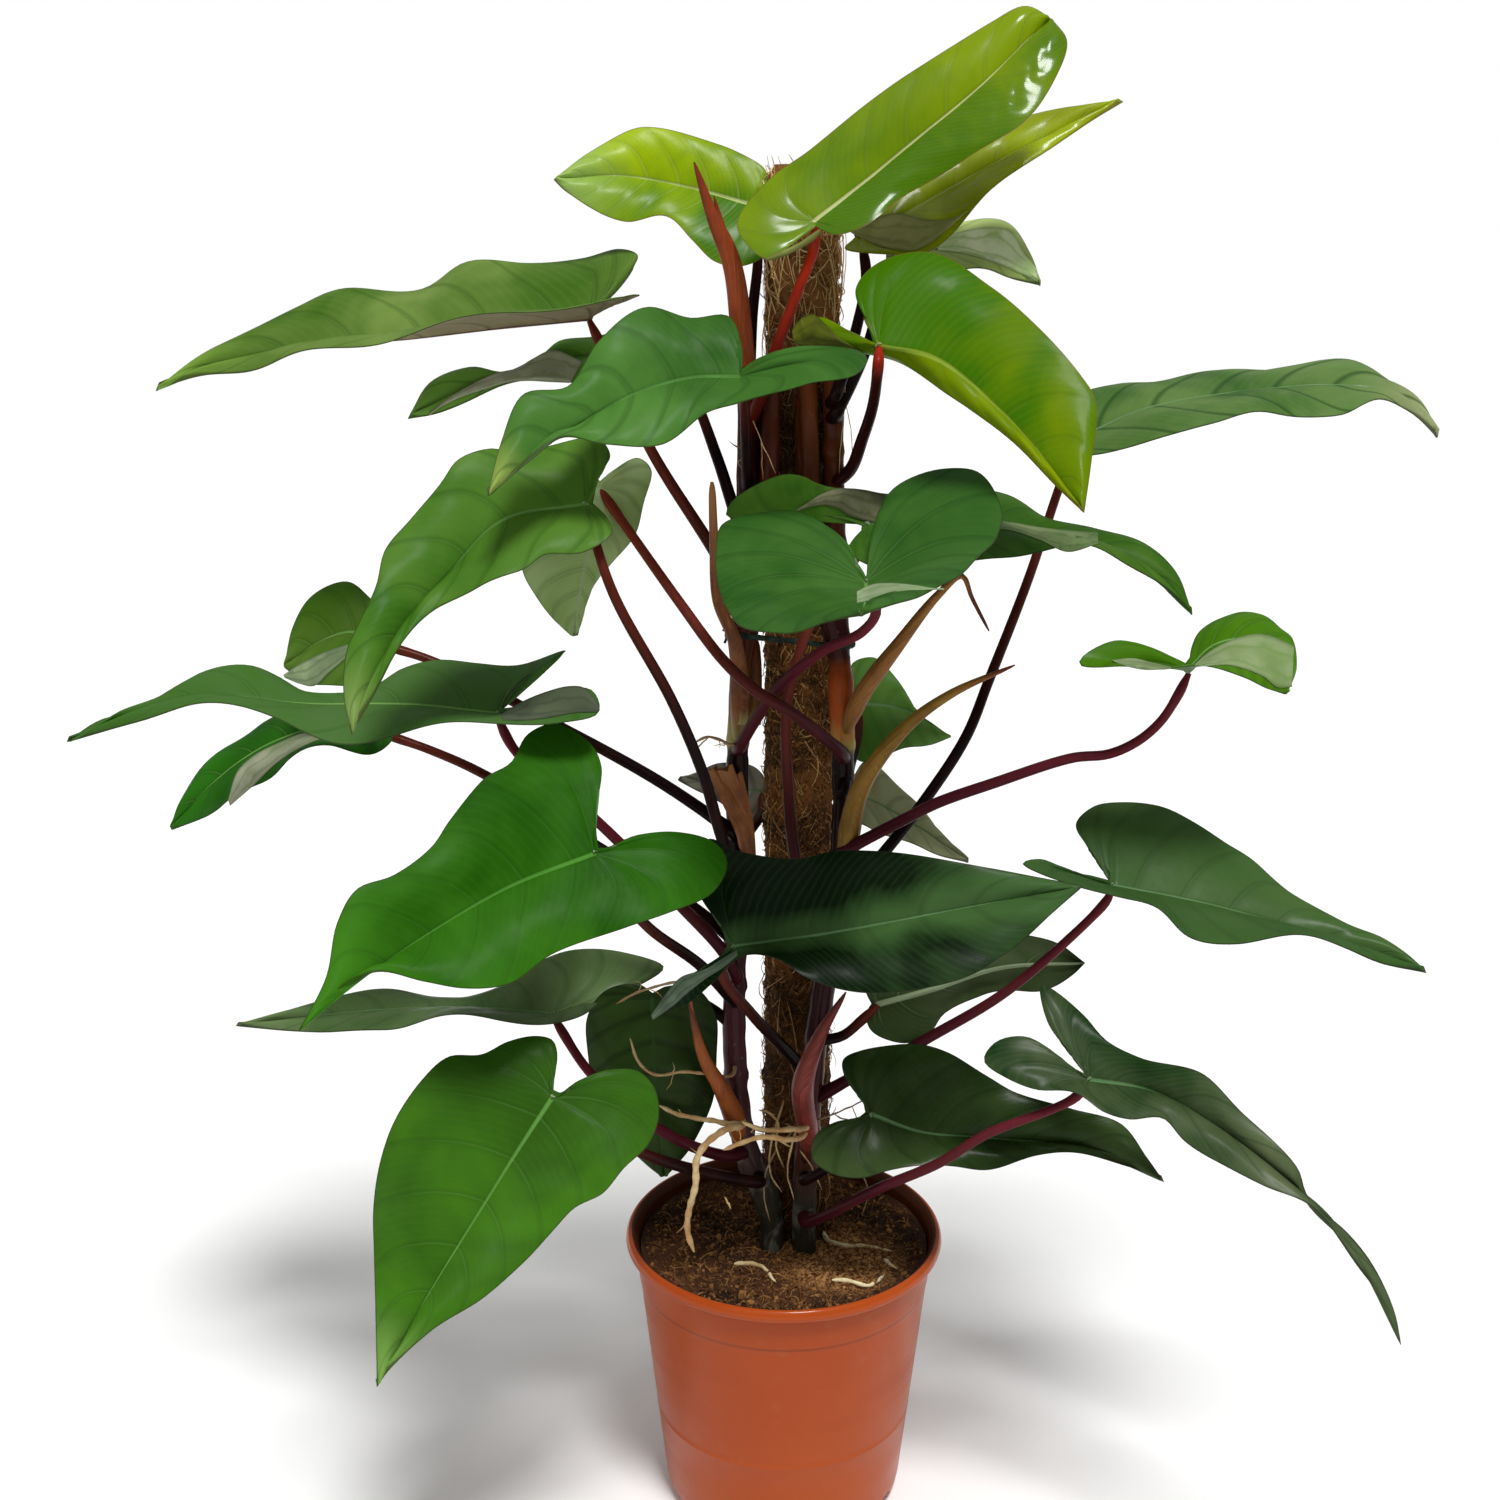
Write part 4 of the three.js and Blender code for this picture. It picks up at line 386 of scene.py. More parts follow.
STEMS = [
  dict(
    name="stem_left", slot="stem",
    path=[[768, 1300, 4], [771, 1215, 2], [744, 1140, -4], [735, 1060, -4], [735, 960, -2],
      [737, 850, 0], [738, 745, 2], [742, 650, 4], [746, 540, 6], [748, 400, 8]],
    radius=[9.5, 7],
    shoot=[[742, 660, 4], [757, 590, -4], [768, 500, -5], [772, 388, -4]],
    stalks=[
      dict(leaf="leaf_top_right_large", path=[[814, 248, -36], [799, 288, -38], [779, 341, -38],
        [763, 390, -24], [749, 425, 0]]),
      dict(leaf="leaf_top_left", path=[[758, 250, 26], [752, 320, 18], [748, 420, 8]]),
      dict(leaf="leaf_left_upper_mid", path=[[744, 400, -52], [746, 440, -30], [747, 478, -8]]),
      dict(leaf="leaf_left_upper_long", path=[[600, 343, -30], [652, 452, -30], [714, 551, -15],
        [744, 606, -2]]),
      dict(leaf="leaf_left_upper_behind", path=[[690, 390, 42], [718, 460, 22], [738, 520, 8]]),
      dict(
        leaf="leaf_left_mid_large",
        path=[[613, 593, -100], [671, 699, -84], [702, 771, -66], [719, 829, -46], [736, 882, -18]],
      ),
      dict(leaf="leaf_front_high", path=[[876, 612, -116], [862, 632, -108], [824, 650, -88],
        [780, 686, -54], [758, 716, -34], [741, 744, -16]]),
      dict(leaf="leaf_left_behind_small", path=[[435, 662, 10], [540, 716, 0], [660, 782, -8],
        [730, 830, -12]]),
      dict(leaf="leaf_left_lower_behind", path=[[430, 750, 36], [487, 776, 24], [600, 848, 4],
        [690, 905, -10], [734, 940, -16]]),
      dict(leaf="leaf_left_long", path=[[517, 753, -52], [598, 822, -44], [680, 905, -34],
        [722, 950, -26], [736, 975, -18]]),
      dict(leaf="leaf_front_left", path=[[612, 885, -128], [647, 926, -110], [700, 965, -62],
        [733, 1000, -24]]),
      dict(leaf="leaf_left_low_edge", path=[[592, 1075, -50], [660, 1130, -62], [726, 1156, -30]]),
      dict(leaf="leaf_front_low_left", path=[[590, 1125, -132], [660, 1160, -86], [758, 1182, -28]]),
      dict(leaf="leaf_low_hanging", path=[[668, 994, -14], [700, 1002, -4], [728, 1022, -3]]),
      dict(leaf="leaf_pole_left_behind", path=[[762, 812, 50], [744, 840, 4], [738, 862, -14]]),
    ],
  ),
  dict(
    name="stem_right", slot="stem",
    path=[[806, 1310, -3], [804, 1225, -3], [808, 1125, -6], [815, 1050, -10], [829, 950, -10],
      [842, 850, -8], [843, 750, -6], [840, 660, -6], [836, 560, -2], [832, 380, 0]],
    radius=[9.5, 7],
    shoot=[[840, 660, -6], [822, 590, -10], [812, 500, -8], [808, 384, -6]],
    stalks=[
      dict(leaf="leaf_top_right_behind", path=[[866, 275, 8], [856, 330, -4], [836, 395, -18]]),
      dict(leaf="leaf_top_back", path=[[882, 290, 50], [866, 350, 24], [838, 410, -14]]),
      dict(leaf="leaf_right_upper", path=[[878, 367, -85], [873, 405, -64], [862, 440, -36],
        [850, 470, -14]]),
      dict(leaf="leaf_left_mid_hanging", path=[[680, 603, -46], [723, 660, -62], [755, 690, -70],
        [786, 709, -66], [816, 731, -46], [841, 752, -22]]),
      dict(leaf="leaf_right_mid_behind", path=[[862, 545, -42], [840, 585, -34], [812, 622, -28],
        [800, 650, -27], [787, 706, -20], [788, 782, -14], [794, 849, -13], [808, 910, -13]]),
      dict(leaf="leaf_right_high_far", path=[[1060, 485, 10], [1028, 580, 12], [989, 680, 0],
        [966, 737, -16], [925, 800, -20], [886, 850, -24], [846, 895, -26]]),
      dict(leaf="leaf_right_small", path=[[1178, 695, -62], [1161, 721, -60], [1138, 741, -58],
        [1109, 754, -56], [1072, 758, -54], [994, 783, -48], [937, 803, -42], [903, 820, -36],
        [846, 850, -24]]),
      dict(leaf="leaf_right_mid", path=[[1107, 900, -58], [1060, 947, -54], [1000, 996, -46],
        [930, 1037, -34], [900, 1054, -25], [866, 1070, -18], [826, 1092, -10]]),
      dict(leaf="leaf_front_centre", path=[[722, 972, -98], [750, 1012, -72], [784, 1048, -34],
        [806, 1072, -14]]),
      dict(leaf="leaf_right_low_long", path=[[1073, 1099, -114], [987, 1134, -114], [939, 1163, -105],
        [882, 1187, -84], [808, 1222, -30]], radius=4.8),
      dict(leaf="leaf_right_low_dark", path=[[860, 1135, -58], [838, 1160, -48], [806, 1180, -30]]),
      dict(leaf="leaf_centre_behind", path=[[862, 1020, -28], [842, 1036, -28], [820, 1040, -30]]),
      dict(leaf="leaf_pole_right_behind", path=[[858, 730, 50], [850, 765, 10], [843, 790, -20]]),
      dict(leaf="leaf_pole_low_behind", path=[[852, 815, 54], [848, 850, 10], [842, 880, -22]]),
    ],
  ),
]

SHEATHS = [
  dict(name="sheath_new_spear", slot="sheath_red", width=[7, 7.5, 6, 1.2],
    path=[[747, 400, 0], [742, 340, -22], [732, 265, -32], [712, 215, -38], [694, 162, -42]]),
  dict(name="sheath_brown_stick", slot="sheath_dry", width=[4.5, 6.2, 4.4, 3.4, 2.4],
    path=[[739, 744, 0], [738, 715, -9], [736, 645, -20], [718, 600, -31], [714, 540, -36],
      [712, 482, -38]]),
  dict(name="sheath_brown_folded", slot="sheath_dry", width=[3.5, 6, 8, 8.5],
    path=[[746, 857, -9], [742, 825, -13], [733, 795, -16], [723, 766, -18]]),
  dict(name="sheath_tan", slot="sheath_dry", width=[3, 6.4, 6, 4.4, 3, 1.6, 1],
    path=[[843, 742, -4], [850, 720, -15], [866, 688, -26], [898, 645, -32], [938, 595, -36],
      [962, 576, -38], [972, 598, -38], [989, 631, -38]]),
  dict(name="sheath_ochre", slot="sheath_dry", width=[4, 8, 6.4, 4.6, 3, 1],
    path=[[838, 880, -8], [845, 855, -17], [862, 785, -30], [905, 728, -38], [951, 694, -44],
      [1015, 665, -50]]),
  dict(name="sheath_low_left", slot="sheath_red", width=[4, 8, 6, 4, 1.2],
    path=[[739, 1150, -5], [737, 1126, -15], [722, 1090, -36], [704, 1058, -46], [689, 1003, -52]]),
  dict(name="sheath_low_right", slot="sheath_red", width=[5, 8, 8, 5, 1.2],
    path=[[806, 1160, -8], [808, 1136, -17], [803, 1085, -42], [820, 1036, -52], [846, 992, -56]]),
]

STEM_ROOTS = dict(
  stem_left=[
    dict(radius=[3.6, 2.6], path=[[742, 1125, -26], [720, 1132, -52], [698, 1156, -74],
      [696, 1183, -76], [688, 1216, -70], [688, 1234, -68], [694, 1252, -68]]),
    dict(radius=[3, 1.8], path=[[742, 1122, -24], [711, 1121, -44], [681, 1115, -48],
      [658, 1105, -50]]),
    dict(radius=[1.8, 1.1], tone=0.8, path=[[733, 745, -18], [708, 737, -34], [690, 745, -40]]),
    dict(radius=[1.8, 1.1], tone=0.75, path=[[730, 985, -20], [690, 980, -36], [662, 985, -42],
      [636, 993, -44], [616, 1004, -46]]),
    dict(radius=[1.8, 1.2], tone=0.6, path=[[732, 1075, -24], [690, 1072, -48], [655, 1075, -56],
      [639, 1062, -58], [630, 1038, -58]]),
  ],
  stem_right=[
    dict(radius=[3.4, 2], path=[[806, 1128, -34], [789, 1129, -50], [764, 1130, -54],
      [742, 1122, -56]]),
    dict(radius=[3, 2], path=[[804, 1135, -34], [786, 1140, -54], [756, 1138, -60],
      [723, 1150, -62]]),
  ],
)

SOIL_ROOTS = [
  dict(radius=[2.6, 1.6], path=[[734, 1264], [756, 1264], [776, 1282]]),
  dict(radius=[2.6, 1.4], path=[[821, 1228], [827, 1239], [844, 1245], [864, 1246], [892, 1251]]),
  dict(radius=[2.4, 1.4], path=[[832, 1280], [851, 1281], [870, 1286], [885, 1274]]),
  dict(radius=[2.2, 1.5], path=[[884, 1259], [890, 1264], [897, 1269]]),
]

TIE_LOOP = [[-41, 4], [-37.5, -3.5], [-31, -6], [10, -11], [36, -15.8], [43, -12.5], [46, -5],
  [39, 28], [32, 49.5], [21, 58], [10, 60.4], [-3, 57.2], [-14.5, 46], [-30, 23]]

# The pot's skin as radius and height, from the foot up to its slim rolled lip and back down inside
POT_SKIN = [
  [0, 0], [84, 0], [90.5, 7], [92, 14], [109.7, 178], [111.1, 186], [112.9, 204], [113.1, 208.6],
  [112.4, 209.6], [116.2, 210.2], [119.6, 210.8], [120.7, 213.2], [120.5, 215.4], [119.8, 217.6],
  [118.4, POT_HEIGHT - 0.6], [116.4, POT_HEIGHT], [114.2, POT_HEIGHT - 2], [111.4, 213],
  [107.6, 166], [105.6, 162], [89.4, 12], [86.5, POT_FLOOR], [0, POT_FLOOR],
]


# Places and curves

def place_at(column, row, depth):
    """A place in the photograph brought to a given depth."""
    across = (column - PHOTO_SIZE / 2) / PHOTO_FOCAL
    rise = (PHOTO_SIZE / 2 - row) / PHOTO_FOCAL
    cos, sin = math.cos(EYE_TILT), math.sin(EYE_TILT)
    ray = np.array([across, cos + rise * sin, -sin + rise * cos])
    return EYE + ray * ((depth - EYE[1]) / ray[1])


def place_on(origin, slope, place):
    """A place in a leaf's own plane, moved back or forward along the line of sight."""
    column, row, back = place
    ray = place_at(column, row, 0) - EYE
    right, up = slope
    reach = origin[1] - EYE[1] + right * (EYE[0] - origin[0]) + up * (EYE[2] - origin[2])
    on = reach / (ray[1] - right * ray[0] - up * ray[2])
    return place_at(column, row, EYE[1] + on * ray[1] + back)


def unit(vectors):
    """Vectors at length one, along the last axis."""
    lengths = np.linalg.norm(vectors, axis=-1, keepdims=True)
    return vectors / np.maximum(lengths, 1e-9)


def smooth_line(places, steps):
    """Centripetal Catmull-Rom line through places, with steps to each stretch."""
    points = np.array(places, float)
    ends = np.vstack([2 * points[0] - points[1], points, 2 * points[-1] - points[-2]])
    line = [points[0]]
    for i in range(len(points) - 1):
        a, b, c, d = ends[i:i + 4]
        before, here, after = (max(np.linalg.norm(q - p) ** 0.5, 1e-3)
                               for p, q in ((a, b), (b, c), (c, d)))
        leave = (b - a) / before - (c - a) / (before + here) + (c - b) / here
        reach = (c - b) / here - (d - b) / (here + after) + (d - c) / after
        leave, reach = leave * here, reach * here
        for t in np.arange(1, steps + 1) / steps:
            square = (3 * c - 3 * b - 2 * leave - reach) * t * t
            cube = (2 * b - 2 * c + leave + reach) * t ** 3
            line.append(b + leave * t + square + cube)
    return np.array(line)


# Steps between two places of a curve
CURVE_STEPS = 24


class Curve:
    """A smooth line through places, read at fractions of its length."""

    def __init__(self, places):
        self.line = smooth_line(places, CURVE_STEPS)
        gaps = np.linalg.norm(np.diff(self.line, axis=0), axis=1)
        self.run = np.concatenate([[0.0], np.cumsum(gaps)])
        self.total = self.run[-1]

    def at(self, fractions):
        """The places at fractions of the line's length."""
        want = np.clip(fractions, 0, 1) * self.total
        return np.stack([np.interp(want, self.run, self.line[:, axis]) for axis in range(3)], -1)


# Meshes

def new_piece(name, places, faces, materials, slot, replaced, layers, kinds, crease=50):
    """One riding piece from places in millimetres, in place of the nodes replaced.

    layers are named rows of three values at the faces' corners, and kinds are the faces' materials.
    """
    mesh = bpy.data.meshes.new(name)
    mesh.from_pydata((np.asarray(places) * MM).tolist(), [], faces)
    for layer, values in layers.items():
        made = mesh.attributes.new(layer, "FLOAT_VECTOR", "CORNER")
        made.data.foreach_set("vector", values.astype(np.float32).ravel())
    for material in materials:
        mesh.materials.append(material)
    mesh.polygons.foreach_set("material_index", np.asarray(kinds, np.int32))
    mesh.polygons.foreach_set("use_smooth", np.ones(len(mesh.polygons), bool))
    mesh.validate()
    mesh.update()
    mesh.set_sharp_from_angle(angle=math.radians(crease))
    piece = bpy.data.objects.new(name, mesh)
    bpy.context.scene.collection.objects.link(piece)
    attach(piece, "root")
    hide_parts(*replaced)
    return piece


class Heap:
    """Grows one mesh from many closed bits, with a value for each corner of their faces."""

    def __init__(self):
        self.places, self.faces, self.values, self.kinds = [], [], [], []
        self.count = 0

    def add(self, places, faces, values, kind=0):
        """values has one row of three numbers for each place of the bit."""
        self.places.append(places)
        self.faces += [[i + self.count for i in face] for face in faces]
        self.values.append(values[np.concatenate([np.array(face) for face in faces])])
        self.kinds += [kind] * len(faces)
        self.count += len(places)

    def piece(self, name, materials, slot, replaced, crease=50):
        """The heap as one riding piece."""
        layers = {"grow": np.vstack(self.values)}
        return new_piece(name, np.vstack(self.places), self.faces, materials, slot, replaced, layers,
                         self.kinds, crease)


def ring_faces(rings, sides):
    """Faces of a tube of rings, with its two ends closed."""
    faces = []
    for i in range(rings):
        for k in range(sides):
            a, b = i * sides + k, i * sides + (k + 1) % sides
            faces.append([a, b, b + sides, a + sides])
    faces.append(list(reversed(range(sides))))
    faces.append([rings * sides + k for k in range(sides)])
    return faces


# Waves in a drift
DRIFT_WAVES = 4


def tube_frames(centres):
    """Two directions across a line at each of its places, turning as little as they can."""
    along = unit(np.gradient(centres, axis=0))
    side = np.array([0.31, 0.9, 0.11])
    sides = []
    for direction in along:
        side = side - direction * side.dot(direction)
        side = side / np.linalg.norm(side)
        sides.append(side)
    sides = np.array(sides)
    return sides, np.cross(along, sides)


def tube(centres, radii, sides, tone=0.5, squash=1.0):
    """A closed tube round a line of places: its places, faces and (along, distance, tone) values."""
    side, across = tube_frames(centres)
    angles = np.arange(sides) * 2 * math.pi / sides
    radii = np.asarray(radii, float)
    if radii.ndim == 1:
        radii = np.repeat(radii[:, None], sides, axis=1)
    spokes = (side[:, None] * (np.cos(angles)[None, :, None] * radii[:, :, None])
              + across[:, None] * (np.sin(angles)[None, :, None] * radii[:, :, None] * squash))
    places = (centres[:, None] + spokes).reshape(-1, 3)
    gaps = np.linalg.norm(np.diff(centres, axis=0), axis=1)
    run = np.concatenate([[0.0], np.cumsum(gaps)])
    values = np.stack([np.repeat(run / run[-1], sides), np.repeat(run, sides),
                       np.full(len(places), tone)], -1)
    return places, ring_faces(len(centres) - 1, sides), values


def wander(count, reach, rng):
    """A smooth random drift of count places, up to about reach in each direction."""
    t = np.linspace(0, 1, count)
    drift = np.zeros((count, 3))
    for wave in range(1, DRIFT_WAVES + 1):
        phase = rng.uniform(0, 2 * math.pi, 3)
        size = rng.uniform(-1, 1, 3) * reach / wave
        drift += np.sin(t[:, None] * wave * 3 * math.pi + phase) * size
    return drift


# Materials

def rgb(colour):
    """A colour written as six hex digits, in Blender's linear light."""
    parts = [int(colour[i:i + 2], 16) / 255 for i in (0, 2, 4)]
    return [p / 12.92 if p <= 0.04045 else ((p + 0.055) / 1.055) ** 2.4 for p in parts] + [1.0]


class Paint:
    """A Principled material whose nodes are added one after another."""

    def __init__(self, name, roughness=0.5, specular=0.5, coat=0.0, coat_roughness=0.2):
        self.material = bpy.data.materials.new(name)
        self.material.use_nodes = True
        self.tree = self.material.node_tree
        self.shader = self.tree.nodes["Principled BSDF"]
        values = {"Roughness": roughness, "Specular IOR Level": specular, "Coat Weight": coat,
                  "Coat Roughness": coat_roughness}
        for socket, value in values.items():
            self.shader.inputs[socket].default_value = value
        self.place = self.node("ShaderNodeTexCoord").outputs["Object"]

    def node(self, kind, **settings):
        """A new node with its settings."""
        made = self.tree.nodes.new(kind)
        for key, value in settings.items():
            setattr(made, key, value)
        return made

    def put(self, socket, value):
        """Links a socket to another's value, or sets it to a colour or a number."""
        if isinstance(value, bpy.types.NodeSocket):
            self.tree.links.new(value, socket)
        elif isinstance(value, str):
            socket.default_value = rgb(value)
        else:
            socket.default_value = value

    def math(self, operation, a, b=0.0, clamp=False):
        """One sum of two numbers."""
        made = self.node("ShaderNodeMath", operation=operation, use_clamp=clamp)
        self.put(made.inputs[0], a)
        self.put(made.inputs[1], b)
        return made.outputs[0]

    def plus(self, a, b, clamp=False):
        """The sum of two numbers."""
        return self.math("ADD", a, b, clamp)

    def times(self, a, b):
        """The product of two numbers."""
        return self.math("MULTIPLY", a, b)

    def apart(self, a, b):
        """How far apart two numbers are."""
        return self.math("ABSOLUTE", self.math("SUBTRACT", a, b))

    def stripes(self, value):
        """How far value is from the middle between the whole numbers round it."""
        return self.apart(self.math("FRACT", value), 0.5)

    def mix(self, share, a, b):
        """Colour a with a share of colour b over it."""
        made = self.node("ShaderNodeMix", data_type="RGBA")
        self.put(made.inputs["Factor"], share)
        self.put(made.inputs[6], a)
        self.put(made.inputs[7], b)
        return made.outputs[2]

    def noise(self, scale, detail=3.0, roughness=0.55, stretch=None, distortion=0.0):
        """Soft noise from 0 to 1. Along an axis with a larger stretch it is finer."""
        vector = self.place
        if stretch is not None:
            mapping = self.node("ShaderNodeMapping")
            self.put(mapping.inputs["Vector"], self.place)
            mapping.inputs["Scale"].default_value = stretch
            vector = mapping.outputs[0]
        made = self.node("ShaderNodeTexNoise")
        self.put(made.inputs["Vector"], vector)
        for socket, value in {"Scale": scale, "Detail": detail, "Roughness": roughness,
                              "Distortion": distortion}.items():
            made.inputs[socket].default_value = value
        return made.outputs["Fac"]

    def fade(self, value, low, high, start=0.0, end=1.0):
        """value brought from low..high to start..end, with soft ends."""
        made = self.node("ShaderNodeMapRange", interpolation_type="SMOOTHSTEP")
        for socket, number in {"Value": value, "From Min": low, "From Max": high, "To Min": start,
                               "To Max": end}.items():
            self.put(made.inputs[socket], number)
        return made.outputs[0]

    def ramp(self, value, stops):
        """The colour at value between stops of a place and a colour."""
        made = self.node("ShaderNodeValToRGB")
        elements = made.color_ramp.elements
        while len(elements) < len(stops):
            elements.new(0.5)
        for element, (at, colour) in zip(elements, stops):
            element.position = at
            element.color = rgb(colour)
        self.put(made.inputs[0], value)
        return made.outputs[0]

    def layer(self, name):
        """The three values of a named layer."""
        made = self.node("ShaderNodeAttribute", attribute_name=name)
        parts = self.node("ShaderNodeSeparateXYZ")
        self.put(parts.inputs[0], made.outputs["Vector"])
        return parts.outputs

    def height(self):
        """The height in metres."""
        parts = self.node("ShaderNodeSeparateXYZ")
        self.put(parts.inputs[0], self.place)
        return parts.outputs[2]

    def finish(self, colour, roughness=None, relief=None, depth_mm=0.5, strength=1.0):
        """Sets the colour, the roughness and a bump from relief, and gives the material."""
        self.put(self.shader.inputs["Base Color"], colour)
        if roughness is not None:
            self.put(self.shader.inputs["Roughness"], roughness)
        if relief is not None:
            bump = self.node("ShaderNodeBump")
            bump.inputs["Distance"].default_value = depth_mm * MM
            bump.inputs["Strength"].default_value = strength
            self.put(bump.inputs["Height"], relief)
            self.put(self.shader.inputs["Normal"], bump.outputs[0])
        return self.material


# Leaf blades

# Rows of places to each ray, and columns from the midrib out to the rim
DETAIL = 8
ACROSS = 20
ACROSS_POWER = 1.4
RIM_SHARES = [0.985, 1.0]
# Side veins to each ray, and how far they sweep forward on their way out
VEINS_PER_RAY = 0.8
VEIN_SWEEP = [0.5, 0.6]
# Half the blade's thickness, what the rim loses of it, and the midrib's groove and ridge
HALF_THICK = 0.5
RIM_THIN = 0.22
GROOVE_DEPTH = 0.45
GROOVE_WIDTH = 1.1
RIDGE_HEIGHT = [0.3, 1.9]
RIDGE_WIDTH = [0.9, 1.5]
# Relief between the veins: a share of their spacing, and the most
QUILT_SHARE = 0.035
QUILT_MOST = 0.8
UNEVEN = 0.7
# Where crinkles stand from midrib to margin, and how far they spread
CRINKLE_PLACE = 0.62
CRINKLE_SPREAD = 0.24
# Each blade's downward direction at its junction, where its stalk starts
UNDER_NORMALS = {}


def triangle_normals(places, triangles):
    """Normals at places, weighted by the area of the triangles round each."""
    corners = places[triangles]
    crossed = np.cross(corners[:, 1] - corners[:, 0], corners[:, 2] - corners[:, 0])
    normals = np.zeros_like(places)
    for k in range(3):
        np.add.at(normals, triangles[:, k], crossed)
    return unit(normals)


def leaf_lines(leaf):
    """A leaf's junction, its midrib, and its two margins from the sinus to the tip."""
    junction = place_at(*leaf["junction"])
    rib, left, right, tip = ([place_on(junction, leaf["slope"], place) for place in places]
                             for places in (leaf["rib"], leaf["left"], leaf["right"], [leaf["tip"]]))
    toward = unit(left[0] - junction) + unit(right[0] - junction)
    root = junction + unit(toward) * SINUS_ROOT
    return junction, Curve([junction] + rib + tip), [Curve([root] + side + tip) for side in (left, right)]


def grid_faces(index, flip):
    """The faces of a grid: each one's corners in the grid, and its places' numbers, none of them twice."""
    for i in range(1, index.shape[0]):
        for k in range(1, index.shape[1]):
            corners = [(i - 1, k - 1), (i, k - 1), (i, k), (i - 1, k)]
            if flip:
                corners.reverse()
            kept, ids = [], []
            for corner in corners:
                if index[corner] not in ids:
                    kept.append(corner)
                    ids.append(int(index[corner]))
            if len(ids) > 2:
                yield kept, ids


def blade_lift(leaf, look, shape, span, rng):
    """How far each place of a blade stands off its plane, by its bow, waves, quilting and bends."""
    outer, run, along_rib, vein, spacing, half = shape.T
    amplitude, waves, phase = leaf["wave"]
    bow = BOW * np.minimum(span, BOW_SPAN) * np.sin(math.pi * outer)
    turned = 2 * math.pi * waves * run + phase
    ripple = amplitude * outer ** 2 * np.sin(turned) * np.sin(math.pi * run)
    quilt = np.minimum(QUILT_SHARE * spacing, QUILT_MOST) * np.abs(np.cos(math.pi * vein))
    quilt *= look["folds"] * np.sin(math.pi * outer) ** 0.6
    shift = rng.uniform(0, 2 * math.pi, 2)
    uneven = UNEVEN * outer * np.sin(9.0 * run + shift[0]) * np.sin(5.0 * outer + shift[1])
    lift = bow + ripple + quilt + uneven
    if "crinkle" in look:
        amount, at, reach = look["crinkle"]
        wrinkle = np.sin(88 * run + 9 * outer + 2 * np.sin(11 * outer)) + 0.6 * np.sin(151 * run + 4)
        near = np.exp(-((outer - CRINKLE_PLACE) / CRINKLE_SPREAD) ** 2 - ((run - at) / reach) ** 2)
        lift += amount * half * wrinkle * near
    if "bend" in look:
        start, drop = look["bend"]
        lift -= drop * np.clip((along_rib - start) / (1 - start), 0, 1) ** 2
    return lift


def blade_sheet(leaf, junction, rib, margins):
    """A flat blade: its places with what is known of each, and its faces, triangles and rim edges.

    The corners of faces and edges come with their values for the layers vein and span.
    """
    heading = unit(rib.at(HEADING_AT) - junction)
    lobe_rays, rib_rays = leaf.get("rays", (LOBE_RAYS, RIB_RAYS))
    lobe_rows = lobe_rays * DETAIL
    rays = np.arange(lobe_rows + rib_rays * DETAIL + 1) / DETAIL
    along = np.maximum(rays - lobe_rays, 0) / rib_rays
    feet = rib.at(along)
    across = np.concatenate([(np.arange(ACROSS) / ACROSS) ** ACROSS_POWER, RIM_SHARES])
    rib_index = np.maximum(np.arange(len(rays)) - lobe_rows, 0)
    count = rib_index[-1] + 1
    zero = np.zeros(count)
    places = [feet[lobe_rows:]]
    shape = [np.stack([zero, zero, along[lobe_rows:], zero, zero, zero], -1)]
    faces, triangles, rims, veins, spans = [], [], [], [], []
    for which, margin in enumerate(margins):
        behind = (margin.line - junction) @ heading <= 0
        turn = max(LEAST_TURN, (margin.run[behind] / margin.total).max(initial=0))
        run = np.where(rays <= lobe_rays, turn * rays / lobe_rays, turn + (1 - turn) * along)
        ends = margin.at(run)
        grid = feet[:, None] + (ends - feet)[:, None] * across[None, :, None]
        reach = np.linalg.norm(ends - feet, axis=1)[:, None]
        vein = (rays[:, None] - lobe_rays) * VEINS_PER_RAY
        vein = vein - (VEIN_SWEEP[0] * across + VEIN_SWEEP[1] * across ** 2)[None]
        spacing = np.linalg.norm(np.gradient(grid, axis=0), axis=-1) * DETAIL / VEINS_PER_RAY
        index = np.zeros(grid.shape[:2], int)
        index[:, 0] = rib_index
        index[-1, :] = rib_index[-1]
        fresh = np.zeros(index.shape, bool)
        fresh[which:-1, 1:] = True
        index[fresh] = count + np.arange(fresh.sum())
        if which == 0:
            first_row = index[0].copy()
        else:
            index[0] = first_row
        count += fresh.sum()
        outer, onward, run = (np.broadcast_to(values, index.shape)
                              for values in (across[None], along[:, None], run[:, None]))
        places.append(grid[fresh])
        shape.append(np.stack([values[fresh] for values in (
            outer, run, onward, vein, spacing, np.full(index.shape, which))], -1))
        vein_map = np.stack([vein, outer, spacing], -1)
        from_rib = reach * across[None] * (1 if which else -1)
        span_map = np.stack([from_rib, reach * (1 - across)[None], onward], -1)
        flip = (which == 1) != leaf.get("faces_away", False)
        for corners, ids in grid_faces(index, flip):
            faces.append(ids)
            veins += [vein_map[corner] for corner in corners]
            spans += [span_map[corner] for corner in corners]
            triangles.append(ids[:3])
            if len(ids) == 4:
                triangles.append([ids[0], ids[2], ids[3]])
        for i in range(1, len(rays)):
            corners = [(i, -1), (i - 1, -1)] if flip else [(i - 1, -1), (i, -1)]
            rims.append([(int(index[corner]), vein_map[corner], span_map[corner]) for corner in corners])
    return np.vstack(places), np.vstack(shape), faces, np.array(triangles), rims, veins, spans


